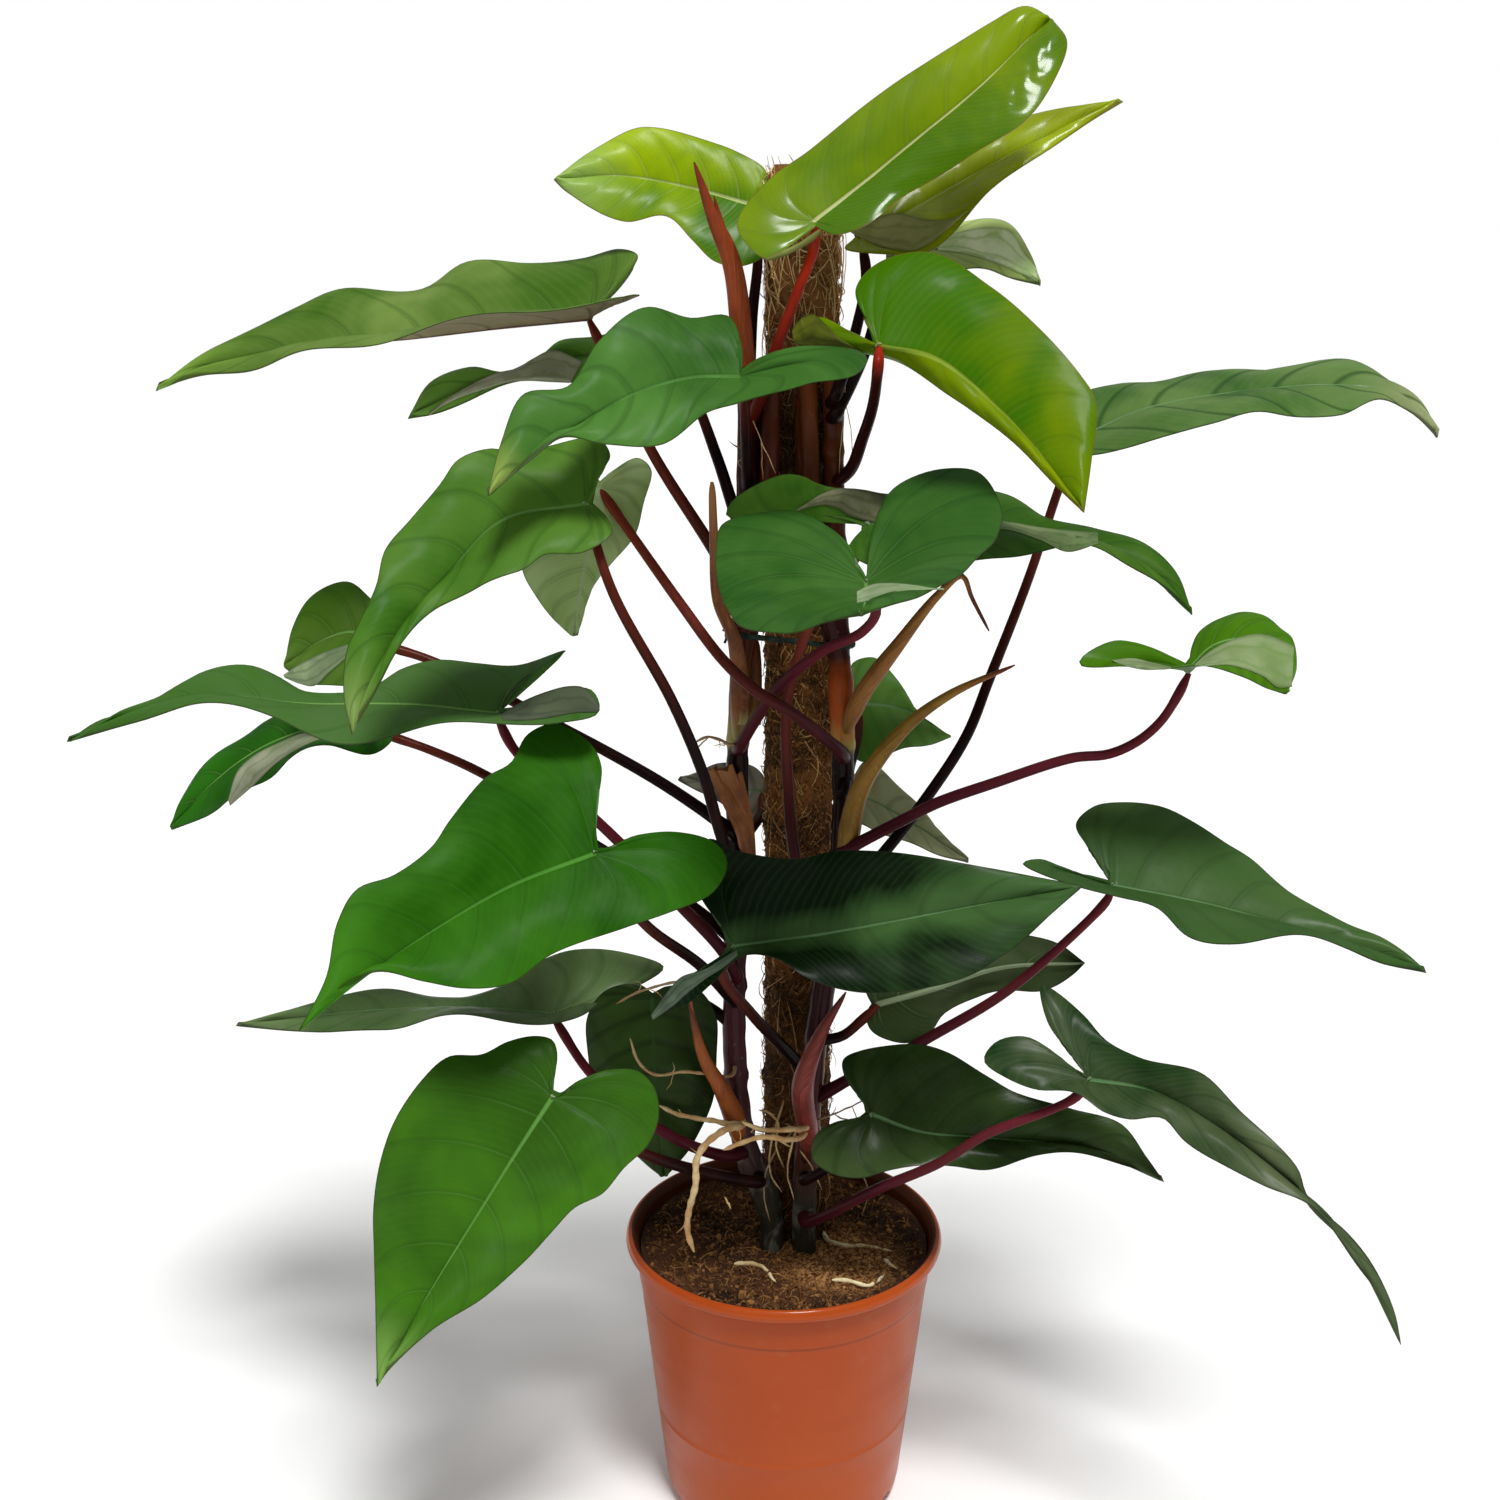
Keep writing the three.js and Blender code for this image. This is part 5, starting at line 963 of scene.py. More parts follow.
def blade(leaf, materials, rng, look):
    """One leaf blade, with its veins pressed in above and raised below."""
    junction, rib, margins = leaf_lines(leaf)
    places, shape, faces, triangles, rims, veins, spans = blade_sheet(leaf, junction, rib, margins)
    outer, along_rib = shape[:, 0], shape[:, 2]
    lift = blade_lift(leaf, look, shape, np.linalg.norm(places - junction, axis=1), rng)
    places = places + triangle_normals(places, triangles) * lift[:, None]
    normals = triangle_normals(places, triangles)
    UNDER_NORMALS[leaf["name"]] = -normals[0]
    from_rib = np.linalg.norm(places - rib.at(along_rib), axis=1)
    thin = 1 - along_rib
    groove = GROOVE_DEPTH * np.exp(-(from_rib / GROOVE_WIDTH) ** 2) * (0.4 + 0.6 * thin)
    ridge_width = RIDGE_WIDTH[0] + RIDGE_WIDTH[1] * thin
    ridge = (RIDGE_HEIGHT[0] + RIDGE_HEIGHT[1] * thin) * np.exp(-(from_rib / ridge_width) ** 2)
    rim_thin = RIM_THIN * (outer >= RIM_SHARES[0])
    upper = places + normals * (HALF_THICK - groove - rim_thin)[:, None]
    under = places - normals * (HALF_THICK + ridge - rim_thin)[:, None]
    total = len(places)
    below = [[i + total for i in reversed(face)] for face in faces]
    cuts = np.cumsum([0] + [len(face) for face in faces])
    back = np.concatenate([np.arange(cuts[i + 1] - 1, cuts[i] - 1, -1) for i in range(len(faces))])
    rim_faces, rim_veins, rim_spans = [], [], []
    for (a, vein_a, span_a), (b, vein_b, span_b) in rims:
        if a != b:
            rim_faces.append([a, a + total, b + total, b])
            rim_veins += [vein_a, vein_a, vein_b, vein_b]
            rim_spans += [span_a, span_a, span_b, span_b]
    veins, spans = np.array(veins), np.array(spans)
    layers = {"vein": np.vstack([veins, veins[back], rim_veins]),
              "span": np.vstack([spans, spans[back], rim_spans])}
    kinds = [0] * len(faces) + [1] * len(faces) + [0] * len(rim_faces)
    return new_piece("blade_" + leaf["name"].removeprefix("leaf_"), np.vstack([upper, under]),
                     faces + below + rim_faces, materials, leaf["slot"], [leaf["name"]], layers,
                     kinds)


def dimmed(colour, share):
    """A colour of six hex digits at a share of its light."""
    return [part * share for part in rgb(colour)[:3]] + [1.0]


# How far from the midrib a paler middle reaches, partly a painted sheen along it
MIDDLE_SHEEN_REACH = 30


def leaf_paint(name, look, under=False):
    """A leaf's skin, upper or lower: mottled green with veins, midrib, margin and painted light and shade.
    """
    light, deep = (look["under"], look["under_deep"]) if under else (look["light"], look["deep"])
    pale = look["under_rib"] if under else look["rib"]
    roughness = look["rough"] + (0.12 if under else 0.0)
    paint = Paint(name, specular=look["shine"], coat=0.0 if under else look["coat"],
                  coat_roughness=look["gloss"])
    vein, outward, spacing = paint.layer("vein")
    from_left, from_margin, along = paint.layer("span")
    from_rib = paint.math("ABSOLUTE", from_left)
    broad = paint.noise(11, 3, distortion=0.6)
    fine = paint.noise(160, 4)
    specks = paint.noise(420, 2)
    phase = paint.plus(vein, paint.times(broad, 0.16))
    away = paint.times(paint.stripes(phase), spacing)
    line = paint.fade(away, 0.15, 1.1, 1.0, 0.0)
    line = paint.times(line, paint.fade(outward, 0.1, 1.0, 1.0, 0.15))
    # Painted shade in the grooves along the side veins
    groove = paint.fade(away, 0.0, 4.5, 1.0, 0.0)
    small = paint.plus(paint.times(phase, 6.0), paint.times(fine, 0.5))
    small = paint.fade(paint.stripes(small), 0.0, 0.3, 1.0, 0.0)
    rib_width = paint.plus(paint.times(along, -1.0), 1.25)
    rib_line = paint.fade(paint.math("DIVIDE", from_rib, rib_width), 0.7, 1.7, 1.0, 0.0)
    margin = paint.fade(from_margin, 0.2, 1.0, 1.0, 0.0)
    shade = paint.fade(broad, 0.2, 0.8)
    # Paler or darker toward the tip, on one half and by the midrib: partly the leaf's own tone, partly
    # painted light and shade, by the midrib partly a painted sheen
    for value, low, high, change in ((along, 0.0, 1.0, -look["onward"]),
                                     (from_left, -3.0, 3.0, look["halves"]),
                                     (from_rib, 0.0, MIDDLE_SHEEN_REACH, look["middle"])):
        if change:
            shade = paint.plus(shade, paint.fade(value, low, high, change, -change))
    shade = paint.plus(shade, 0.0, clamp=True)
    green = paint.mix(shade, deep, light)
    if "tip" in look and not under:
        start, tint = look["tip"]
        green = paint.mix(paint.fade(along, start, 0.97, 0.0, 0.85), green, tint)
    green = paint.mix(paint.times(groove, look["vein_shade"]), green, dimmed(deep, 0.6))
    green = paint.mix(paint.times(line, look["veins"] * (1.6 if under else 1.0)), green, pale)
    green = paint.mix(paint.times(small, 0.10), green, light)
    green = paint.mix(paint.times(rib_line, 0.75), green, pale)
    green = paint.mix(paint.times(margin, 0.75), green, look["edge"])
    green = paint.mix(paint.fade(specks, 0.70, 0.80, 0.0, 0.35), green, deep)
    rough = paint.fade(fine, 0.3, 0.7, roughness - 0.05, roughness + 0.08)
    sign = 1.0 if under else -1.0
    relief = paint.times(line, 0.4 * sign)
    relief = paint.plus(relief, paint.times(small, 0.07 * sign))
    relief = paint.plus(relief, paint.times(rib_line, 0.5 * sign))
    relief = paint.plus(relief, paint.times(fine, 0.3))
    return paint.finish(green, rough, relief, 0.5, 0.7)


# How each age of leaf looks. Colours are six hex digits. onward, halves and middle are how much
# paler the blade gets toward its tip, on its left half and by its midrib: partly its own tone and
# partly painted light and shade, by the midrib partly a painted sheen. veins and the vein shade are
# how pale its side veins are and how dark it is along them, that darkening being painted shade in
# their grooves, and folds how high it stands between them. shine is its plain gloss, coat its wax,
# and gloss how dull that wax is.
LEAF_LOOKS = {
    "leaf_new": dict(under="7c8a3c", under_deep="66752e", rib="c4d088", under_rib="a8b070",
                     edge="6a5a20", rough=0.34, coat=0.3, shine=0.1, veins=0.16, folds=1.0,
                     gloss=0.14, onward=0.0, halves=0.0, middle=0.0, vein_shade=0.15),
    "leaf_mature": dict(under="66825a", under_deep="526e44", rib="7aa858", under_rib="9aa884",
                        edge="2e3418", rough=0.42, coat=0.04, shine=0.05, veins=0.18, folds=1.0,
                        gloss=0.22, onward=0.0, halves=0.0, middle=0.0, vein_shade=0.4),
    "leaf_dark": dict(under="4e6444", under_deep="3e5236", rib="6a9060", under_rib="8a9a78",
                      edge="24281a", rough=0.42, coat=0.06, shine=0.05, veins=0.12, folds=1.0,
                      gloss=0.22, onward=0.0, halves=0.0, middle=0.0, vein_shade=0.35),
}
# Each leaf's light and deep green, above and below: partly its own tone, partly painted light and
# shade, as each leaf is lighter or darker by how the light falls on it
LEAF_TONES = {
    "leaf_top_right_large": ["7a9202", "446c02"],
    "leaf_top_right_behind": ["a0b402", "687202"],
    "leaf_top_back": ["c4d488", "6a9030"],
    "leaf_top_left": ["9ab402", "3c6e02"],
    "leaf_right_upper": ["788c02", "3a6a02"],
    "leaf_left_upper_mid": ["4e7e34", "2a5418"],
    "leaf_left_upper_long": ["708a40", "305c06"],
    "leaf_left_upper_behind": ["78aa46", "366c0c"],
    "leaf_left_mid_large": ["58802e", "2e6010"],
    "leaf_left_mid_hanging": ["b0c58d", "769642"],
    "leaf_left_behind_small": ["56702e", "3c6a04"],
    "leaf_left_lower_behind": ["2a6c12", "1c5006"],
    "leaf_left_long": ["4a6a38", "386818"],
    "leaf_front_left": ["3a7418", "1e5006"],
    "leaf_front_centre": ["3e5e30", "061904"],
    "leaf_left_low_edge": ["687c50", "385826"],
    "leaf_front_low_left": ["407418", "2a4e12"],
    "leaf_low_hanging": ["344c1e", "040602"],
    "leaf_front_high": ["46702e", "1c4a12"],
    "leaf_right_mid_behind": ["4e7424", "1e4c08"],
    "leaf_right_high_far": ["6a8848", "184e08"],
    "leaf_right_small": ["4c7c10", "3c6c08"],
    "leaf_right_mid": ["42602e", "325224"],
    "leaf_right_low_long": ["5c6848", "0c3006"],
    "leaf_right_low_dark": ["3c4e28", "142c08"],
    "leaf_centre_behind": ["4c563a", "243914"],
    "leaf_pole_right_behind": ["60843e", "487a26"],
    "leaf_pole_low_behind": ["acb78f", "767245"],
    "leaf_pole_left_behind": ["b5b39f", "1c0a06"],
}
# What sets a leaf apart from others of its age. tip is where a tint toward the tip starts, and its
# colour. crinkle is the height of small wrinkles, their place along the margin and their reach, and
# bend is where the tip starts to drop, and how far. A turned leaf shows its lower skin.
LEAF_EXTRAS = {
    "leaf_top_right_large": dict(coat=0.3, rough=0.3, veins=0.04, halves=0.35, onward=0.3, shine=0.04,
                                 rib="d4d69a", crinkle=[0.45, 0.7, 0.2], bend=[0.86, 7.0]),
    "leaf_top_right_behind": dict(under="7a8a30", under_deep="4a5028", coat=0.2),
    "leaf_top_back": dict(rough=0.34, folds=2.0, coat=0.1),
    "leaf_right_upper": dict(veins=0.08, coat=0.03, shine=0.03, onward=0.2, halves=-0.4,
                             rib="8aa038"),
    "leaf_top_left": dict(folds=1.2, coat=0.06, gloss=0.26, halves=-0.1, onward=0.35,
                          tip=[0.55, "96b65f"]),
    "leaf_left_upper_mid": dict(folds=1.3, onward=0.15, coat=0.02, shine=0.03, rib="5e9048",
                                tip=[0.78, "94a852"]),
    "leaf_left_mid_large": dict(folds=1.3, onward=-0.35, coat=0.02, shine=0.03, rib="6c9a50",
                                tip=[0.78, "7c9650"]),
    "leaf_left_mid_hanging": dict(turned=True),
    "leaf_left_upper_long": dict(under="8e8868", under_deep="74684e", under_rib="4a1c22", folds=1.8,
                                 tip=[0.72, "7da240"]),
    "leaf_right_high_far": dict(folds=2.2, coat=0.16, gloss=0.2, veins=0.03, vein_shade=0.7,
                                tip=[0.7, "a0a878"]),
    "leaf_front_centre": dict(veins=0.04, rough=0.36, onward=0.35, middle=0.5, vein_shade=0.2),
    "leaf_right_mid_behind": dict(folds=0.5, veins=0.08),
    "leaf_right_mid": dict(halves=0.3),
    "leaf_right_low_long": dict(onward=0.2),
    "leaf_front_left": dict(veins=0.12, folds=0.5, vein_shade=0.2, coat=0.01, shine=0.02, onward=0.3,
                            rib="549038"),
    "leaf_front_low_left": dict(folds=0.6, vein_shade=0.25, coat=0.02, shine=0.03, rib="649a48",
                                tip=[0.75, "78a14c"]),
    "leaf_right_low_dark": dict(veins=0.03, rough=0.3),
    "leaf_low_hanging": dict(veins=0.04, rib="2c4a1c"),
}


def make_leaves():
    """All the blades, each with skins of its own tone."""
    rng = np.random.default_rng(11)
    made = {}
    for leaf in LEAVES:
        look = dict(LEAF_LOOKS[leaf["slot"]])
        tones = LEAF_TONES[leaf["name"]]
        look["light"], look["deep"] = tones
        if leaf.get("faces_away"):
            look["under"], look["under_deep"] = tones
        look.update(LEAF_EXTRAS.get(leaf["name"], {}))
        short = leaf["name"].removeprefix("leaf_")
        skins = [leaf_paint("skin_" + short, look), leaf_paint("under_" + short, look, under=True)]
        if look.get("turned"):
            skins.reverse()
        made[leaf["name"]] = blade(leaf, skins, rng, look)
    return made


# Margins and lobes folded over

# Steps along and across a fold, what it stands off the blade, how far it bulges and its thickness
FOLD_STEPS = [44, 8]
FOLD_LIFT = 0.8
FOLD_BULGE = 1.4
FOLD_THICK = 0.5


def fold_paint(name, light, deep):
    """The pale lower skin on a fold, striped by the veins that run along it."""
    paint = Paint(name, roughness=0.52, specular=0.1)
    along, across = paint.layer("grow")[:2]
    broad = paint.noise(45, 3)
    phase = paint.plus(paint.times(across, 2.2), paint.times(broad, 1.6))
    colour = paint.mix(paint.fade(paint.stripes(phase), 0.04, 0.2, 0.45, 0.0), light, deep)
    colour = paint.mix(paint.fade(broad, 0.4, 0.65, 0.0, 0.5), colour, deep)
    colour = paint.mix(paint.fade(along, 0.3, 1.0, 0.0, 0.4), colour, deep)
    colour = paint.mix(paint.fade(paint.apart(across, 0.5), 0.4, 0.5, 0.0, 0.5), colour, dimmed(deep, 0.4))
    return paint.finish(colour, None, paint.noise(160, 4), 0.3, 0.5)


def fold(heap, tree, upper, lower, kind):
    """A thin lobe of skin in front of a blade, between two lines of columns and rows."""
    along, across = FOLD_STEPS
    t = np.linspace(0, 1, along + 1)
    tops, lows = (Curve([[column, row, 0] for column, row in line]).at(t) for line in (upper, lower))
    shares = np.linspace(0, 1, across + 1)
    rays = np.zeros((along + 1, across + 1, 3))
    far = np.full(rays.shape[:2], np.nan)
    for i in range(along + 1):
        for k in range(across + 1):
            column, row = (tops[i] + (lows[i] - tops[i]) * shares[k])[:2]
            rays[i, k] = unit(place_at(column, row, 0) - EYE)
            found = tree.ray_cast(Vector(EYE * MM), Vector(rays[i, k]))
            if found[0] is not None:
                far[i, k] = found[3] / MM
        seen = ~np.isnan(far[i])
        if seen.any():
            far[i] = np.interp(np.arange(across + 1), np.flatnonzero(seen), far[i][seen])
    seen = ~np.isnan(far[:, 0])
    for k in range(across + 1):
        far[:, k] = np.interp(np.arange(along + 1), np.flatnonzero(seen), far[seen, k])
    soft = far.copy()
    for _ in range(6):
        wide = np.pad(soft, 1, mode="edge")
        soft = (wide[:-2, 1:-1] + wide[2:, 1:-1] + wide[1:-1, :-2] + wide[1:-1, 2:]) / 4
    soft = np.minimum(soft, far)
    front = soft - FOLD_LIFT - FOLD_BULGE * np.sin(math.pi * shares)[None]
    ring = np.concatenate([EYE + rays * front[..., None],
                           (EYE + rays * (front + FOLD_THICK)[..., None])[:, ::-1]], axis=1)
    marks = np.concatenate([shares, shares[::-1]])
    values = np.stack([np.repeat(t, len(marks)), np.tile(marks, along + 1),
                       np.zeros(len(marks) * (along + 1))], -1)
    heap.add(ring.reshape(-1, 3), ring_faces(along, len(marks)), values, kind)


# Each fold: its light and deep tones, then its upper and lower line from left to right
FOLDS = {
    "leaf_front_high": [
        ["98a884", "74905c", [[857, 591], [873, 584], [894, 583], [915, 585], [934, 588], [944, 588]],
         [[857, 603], [871, 600], [883, 595], [902, 591], [923, 590], [944, 590]]]],
    "leaf_right_mid_behind": [
        ["787a5c", "3e4426", [[797, 509], [807, 503], [819, 495], [831, 490], [843, 488], [884, 494]],
         [[797, 511], [810, 507], [825, 505], [838, 508], [851, 516], [877, 523]]],
        ["7c8c60", "44602c", [[982, 526], [1008, 522], [1033, 526], [1067, 530], [1098, 532]],
         [[986, 530], [1008, 530], [1040, 540], [1067, 552], [1098, 544]]]],
    "leaf_left_upper_behind": [
        ["bcc0a4", "74845a", [[429, 413], [446, 400], [470, 385], [496, 373], [517, 368], [532, 359],
                              [553, 350], [582, 361]],
         [[429, 416], [440, 408], [459, 398], [483, 390], [506, 383], [527, 381], [548, 382],
          [570, 383]]]],
    "leaf_left_long": [
        ["546048", "3e4034", [[501, 714], [521, 702], [545, 692], [569, 686], [585, 688], [599, 706]],
         [[503, 720], [529, 720], [553, 717], [573, 713], [589, 712], [599, 712]]]],
    "leaf_left_behind_small": [
        ["8a9c74", "4e6040", [[283, 675], [300, 664], [320, 654], [338, 647], [348, 644]],
         [[285, 678], [300, 684], [314, 686], [330, 672], [346, 658]]]],
    "leaf_left_lower_behind": [
        ["989c82", "62724a", [[228, 800], [237, 772], [253, 756], [278, 743], [307, 732], [327, 735]],
         [[230, 806], [253, 786], [278, 762], [304, 746], [318, 740], [329, 738]]]],
    "leaf_right_small": [
        ["8c9c70", "668440", [[1195, 664], [1206, 654], [1222, 644], [1240, 637], [1258, 634],
                              [1274, 637], [1294, 646]],
         [[1195, 667], [1209, 666], [1227, 665], [1245, 669], [1264, 677], [1277, 687], [1292, 687]]],
        ["8c9c74", "607844", [[1112, 660], [1133, 658], [1151, 662], [1172, 667]],
         [[1114, 662], [1133, 668], [1146, 670], [1170, 669]]]],
    "leaf_top_right_large": [
        ["7e8244", "545c28", [[766, 258], [777, 253], [788, 248], [800, 242], [810, 235], [819, 229]],
         [[767, 261], [780, 258], [792, 253], [803, 247], [813, 241], [820, 234]]]],
    "leaf_top_back": [
        ["e4ecc8", "88b050", [[936, 240], [955, 233], [993, 227], [1012, 232], [1022, 250], [1036, 268]],
         [[938, 250], [962, 253], [985, 259], [1004, 266], [1022, 274], [1038, 282]]]],
    "leaf_top_right_behind": [
        ["9a9c60", "6a7038", [[850, 226], [866, 222], [885, 215], [900, 213], [922, 219], [937, 220],
                              [953, 218], [968, 210]],
         [[850, 232], [862, 239], [880, 246], [898, 250], [912, 251], [926, 246], [940, 236],
          [955, 223], [968, 211]]]],
    "leaf_right_upper": [
        ["5c6418", "3a4010", [[792, 330], [800, 319], [813, 314], [825, 324], [840, 338], [860, 350]],
         [[794, 344], [807, 346], [822, 346], [837, 346], [849, 349], [863, 354]]]],
    "leaf_front_centre": [
        ["5c6c58", "2c3a2c", [[651, 1015], [668, 991], [681, 977], [705, 969], [721, 959], [737, 950]],
         [[653, 1020], [673, 1006], [689, 992], [707, 978], [723, 968], [738, 955]]]],
}


def make_folds(blades):
    """Each leaf's folds, as one piece in front of its blade."""
    slots = {leaf["name"]: leaf["slot"] for leaf in LEAVES}
    for name, folds in FOLDS.items():
        mesh = blades[name].data
        tree = BVHTree.FromPolygons([vertex.co for vertex in mesh.vertices],
                                    [face.vertices for face in mesh.polygons])
        heap = Heap()
        short = name.removeprefix("leaf_")
        skins = []
        for number, (light, deep, upper, lower) in enumerate(folds):
            fold(heap, tree, upper, lower, number)
            skins.append(fold_paint("fold_%s_%d" % (short, number), light, deep))
        heap.piece("fold_" + short, skins, slots[name], [name])


# Stems, shoots, leaf stalks and air roots

# A stalk's colour by the blade, lower down and in patches, and how far the first one reaches
STALK_LOOKS = {
    "bright": ["a82a14", "5a160e", "8a3a18", 0.75],
    "tipped": ["a82a16", "2c0c0e", "44160f", 0.2],
    "crimson": ["64202a", "40121c", "52241f", 0.75],
    "maroon": ["5e2418", "160709", "34160f", 0.6],
    "dark": ["30120e", "170808", "26140c", 0.6],
    "wine": ["74301e", "38151b", "5a2224", 0.9],
    "rusty": ["762e1c", "22100e", "4a1c14", 1.0],
}
STALK_OF = {
    "leaf_top_right_large": "bright", "leaf_right_upper": "tipped",
    "leaf_right_low_long": "crimson", "leaf_right_mid": "crimson", "leaf_left_low_edge": "crimson",
    "leaf_left_long": "crimson", "leaf_front_high": "crimson", "leaf_top_left": "dark",
    "leaf_top_right_behind": "dark", "leaf_top_back": "dark", "leaf_left_mid_hanging": "wine",
    "leaf_right_mid_behind": "wine", "leaf_right_small": "crimson", "leaf_left_upper_long": "rusty",
}


def stalk_paint(name, young, old, tinge, reach):
    """A stalk's skin: reddest by the blade, with fine streaks along it."""
    paint = Paint(name, specular=0.03, coat=0.08, coat_roughness=0.16)
    along = paint.layer("grow")[0]
    streak = paint.noise(60, 3, stretch=(6, 6, 0.5))
    blotch = paint.noise(24, 3)
    colour = paint.mix(paint.fade(along, 0.02, reach), young, old)
    colour = paint.mix(paint.fade(blotch, 0.45, 0.75, 0.0, 0.45), colour, tinge)
    colour = paint.mix(paint.fade(streak, 0.5, 0.75, 0.0, 0.35), colour, old)
    return paint.finish(colour, paint.fade(blotch, 0.3, 0.7, 0.34, 0.5), streak, 0.3, 0.5)


# Heights between which the grey scurf on the stems' feet fades out
SCURF = [270, 330]


def stem_paint(name, bands):
    """A stem's skin, in bands of colour set by their rows in the photograph."""
    paint = Paint(name, specular=0.04, coat=0.14, coat_roughness=0.16)
    heights = [place_at(PHOTO_SIZE / 2, row, 0)[2] for row, tint in bands]
    low, high = heights[0], heights[-1]
    drift = paint.noise(60, 3)
    height = paint.times(paint.height(), 1 / MM)
    height = paint.plus(height, paint.times(drift, 5.0))
    share = paint.math("DIVIDE", paint.math("SUBTRACT", height, low + 2.5), high - low)
    stops = [((at - low) / (high - low), tint) for at, (row, tint) in zip(heights, bands)]
    colour = paint.ramp(share, stops)
    streak = paint.noise(70, 4, stretch=(5, 5, 0.6))
    spot = paint.noise(130, 3)
    colour = paint.mix(paint.fade(streak, 0.5, 0.8, 0.0, 0.5), colour, "1a0d0e")
    colour = paint.mix(paint.fade(spot, 0.66, 0.78, 0.0, 0.45), colour, "7c7a66")
    scurf = paint.fade(paint.noise(38, 5, distortion=0.8), 0.5, 0.62, 0.0, 0.7)
    scurf = paint.times(scurf, paint.fade(height, SCURF[0], SCURF[1], 1.0, 0.0))
    colour = paint.mix(scurf, colour, "77766c")
    rough = paint.fade(spot, 0.3, 0.7, 0.3, 0.5)
    return paint.finish(colour, rough, streak, 0.5, 0.6)


def root_paint(name, pale, tan, dirt):
    """A root's skin, pale to tan, with rings and soil stains."""
    paint = Paint(name, roughness=0.7)
    tone = paint.layer("grow")[2]
    patch = paint.noise(45, 4)
    rings = paint.noise(300, 2, stretch=(1, 1, 3))
    colour = paint.mix(paint.fade(patch, 0.35, 0.65), pale, tan)
    colour = paint.mix(paint.fade(rings, 0.55, 0.75, 0.0, 0.5), colour, dirt)
    colour = paint.mix(paint.fade(tone, 0.3, 1.0, 0.0, 0.8), colour, dirt)
    return paint.finish(colour, None, rings, 0.4, 0.7)


def height_on(curve, height):
    """The place on a stem's middle line at a height."""
    at = int(np.argmax(curve.line[:, 2] >= height))
    if curve.line[at, 2] < height:
        at = len(curve.line) - 1
    return curve.line[max(at, 1)]


def rough_radii(centres, radii, sides, share, size, seed):
    """Radii for every side of every ring, with soft unevenness."""
    angles = np.arange(sides) * 2 * math.pi / sides
    rows = []
    for centre, radius in zip(centres, radii):
        row = []
        for angle in angles:
            probe = Vector((centre[0] + radius * math.cos(angle) + seed,
                            centre[1] + radius * math.sin(angle), centre[2])) * size
            row.append(radius * (1 + share * noise.noise(probe)))
        rows.append(row)
    return np.array(rows)


# How slim roots are beside the frame's, the way from ring to ring, and their sides
ROOT_SLIM = 0.8
ROOT_STEP = 2.2
ROOT_SIDES = 8


def root_tube(heap, places, radius, rng, tone, drift=0.8):
    """A root through places, drifting a little."""
    curve = Curve(places)
    rings = max(8, int(curve.total / ROOT_STEP))
    t = np.linspace(0, 1, rings)
    centres = curve.at(t) + wander(rings, drift, rng) * np.sin(math.pi * t)[:, None]
    radii = ROOT_SLIM * (radius[0] + (radius[1] - radius[0]) * t)
    radii = radii * (1 + 0.12 * np.sin(t * curve.total * 0.55 + rng.uniform(0, 6)))
    radii[:3] *= [0.35, 0.75, 0.93]
    radii[-4:] *= [0.95, 0.8, 0.55, 0.2]
    heap.add(*tube(centres, radii, ROOT_SIDES, tone))
    return centres


# Rings where a leaf grew, as column, row and depth on the stem
STEM_NODES = {
    "stem_left": [[730, 742, 0], [731, 880, 0], [735, 985, -2], [738, 1075, -4], [744, 1130, -4],
                  [752, 1165, -2], [768, 1205, 2], [740, 620, 4], [745, 520, 6]],
    "stem_right": [[842, 746, -6], [842, 640, -6], [838, 855, -8], [828, 945, -10], [818, 1035, -10],
                   [808, 1130, -6], [805, 1180, -4], [836, 545, -2], [833, 450, 0]],
}
# Old leaf bases between a stem and the pole: path, and the radius at each end
LEAF_BASES = {
    "stem_left": [([[760, 505, 12], [763, 470, 15], [764, 430, 17], [764, 380, 18]], [7.5, 6.5]),
                  ([[752, 724, 12], [753, 700, 13], [753, 665, 13], [750, 630, 13]], [6.5, 6.0])],
    "stem_right": [([[806, 500, 2], [803, 460, 2], [803, 420, 4], [806, 384, 6]], [5.5, 6.0])],
}
# Middles of the stoutest stretch
STEM_SWELL = {"stem_left": [752, 1180, -2], "stem_right": [838, 704, -6]}
# Rows of the photograph, from the soil up, and the skin's colour there
STEM_BANDS = {
    "stem_left": [[1290, "1e1810"], [1200, "3c3a30"], [1130, "4a2a2e"], [1000, "4a2028"],
                  [860, "200a0c"], [749, "1a0808"], [742, "aca066"], [724, "8e8248"], [712, "6b4420"],
                  [650, "4e2012"], [520, "34120c"], [380, "4a2010"]],
    "stem_right": [[1290, "1e1810"], [1200, "3e3c30"], [1135, "5a2420"], [1000, "301216"],
                   [860, "200a0c"], [750, "1a0808"], [743, "b8a85a"], [733, "bc8440"], [716, "a84e18"],
                   [684, "94400f"], [662, "74300e"], [654, "34100c"], [600, "2e100e"], [500, "46200e"],
                   [380, "5a2c12"]],
}
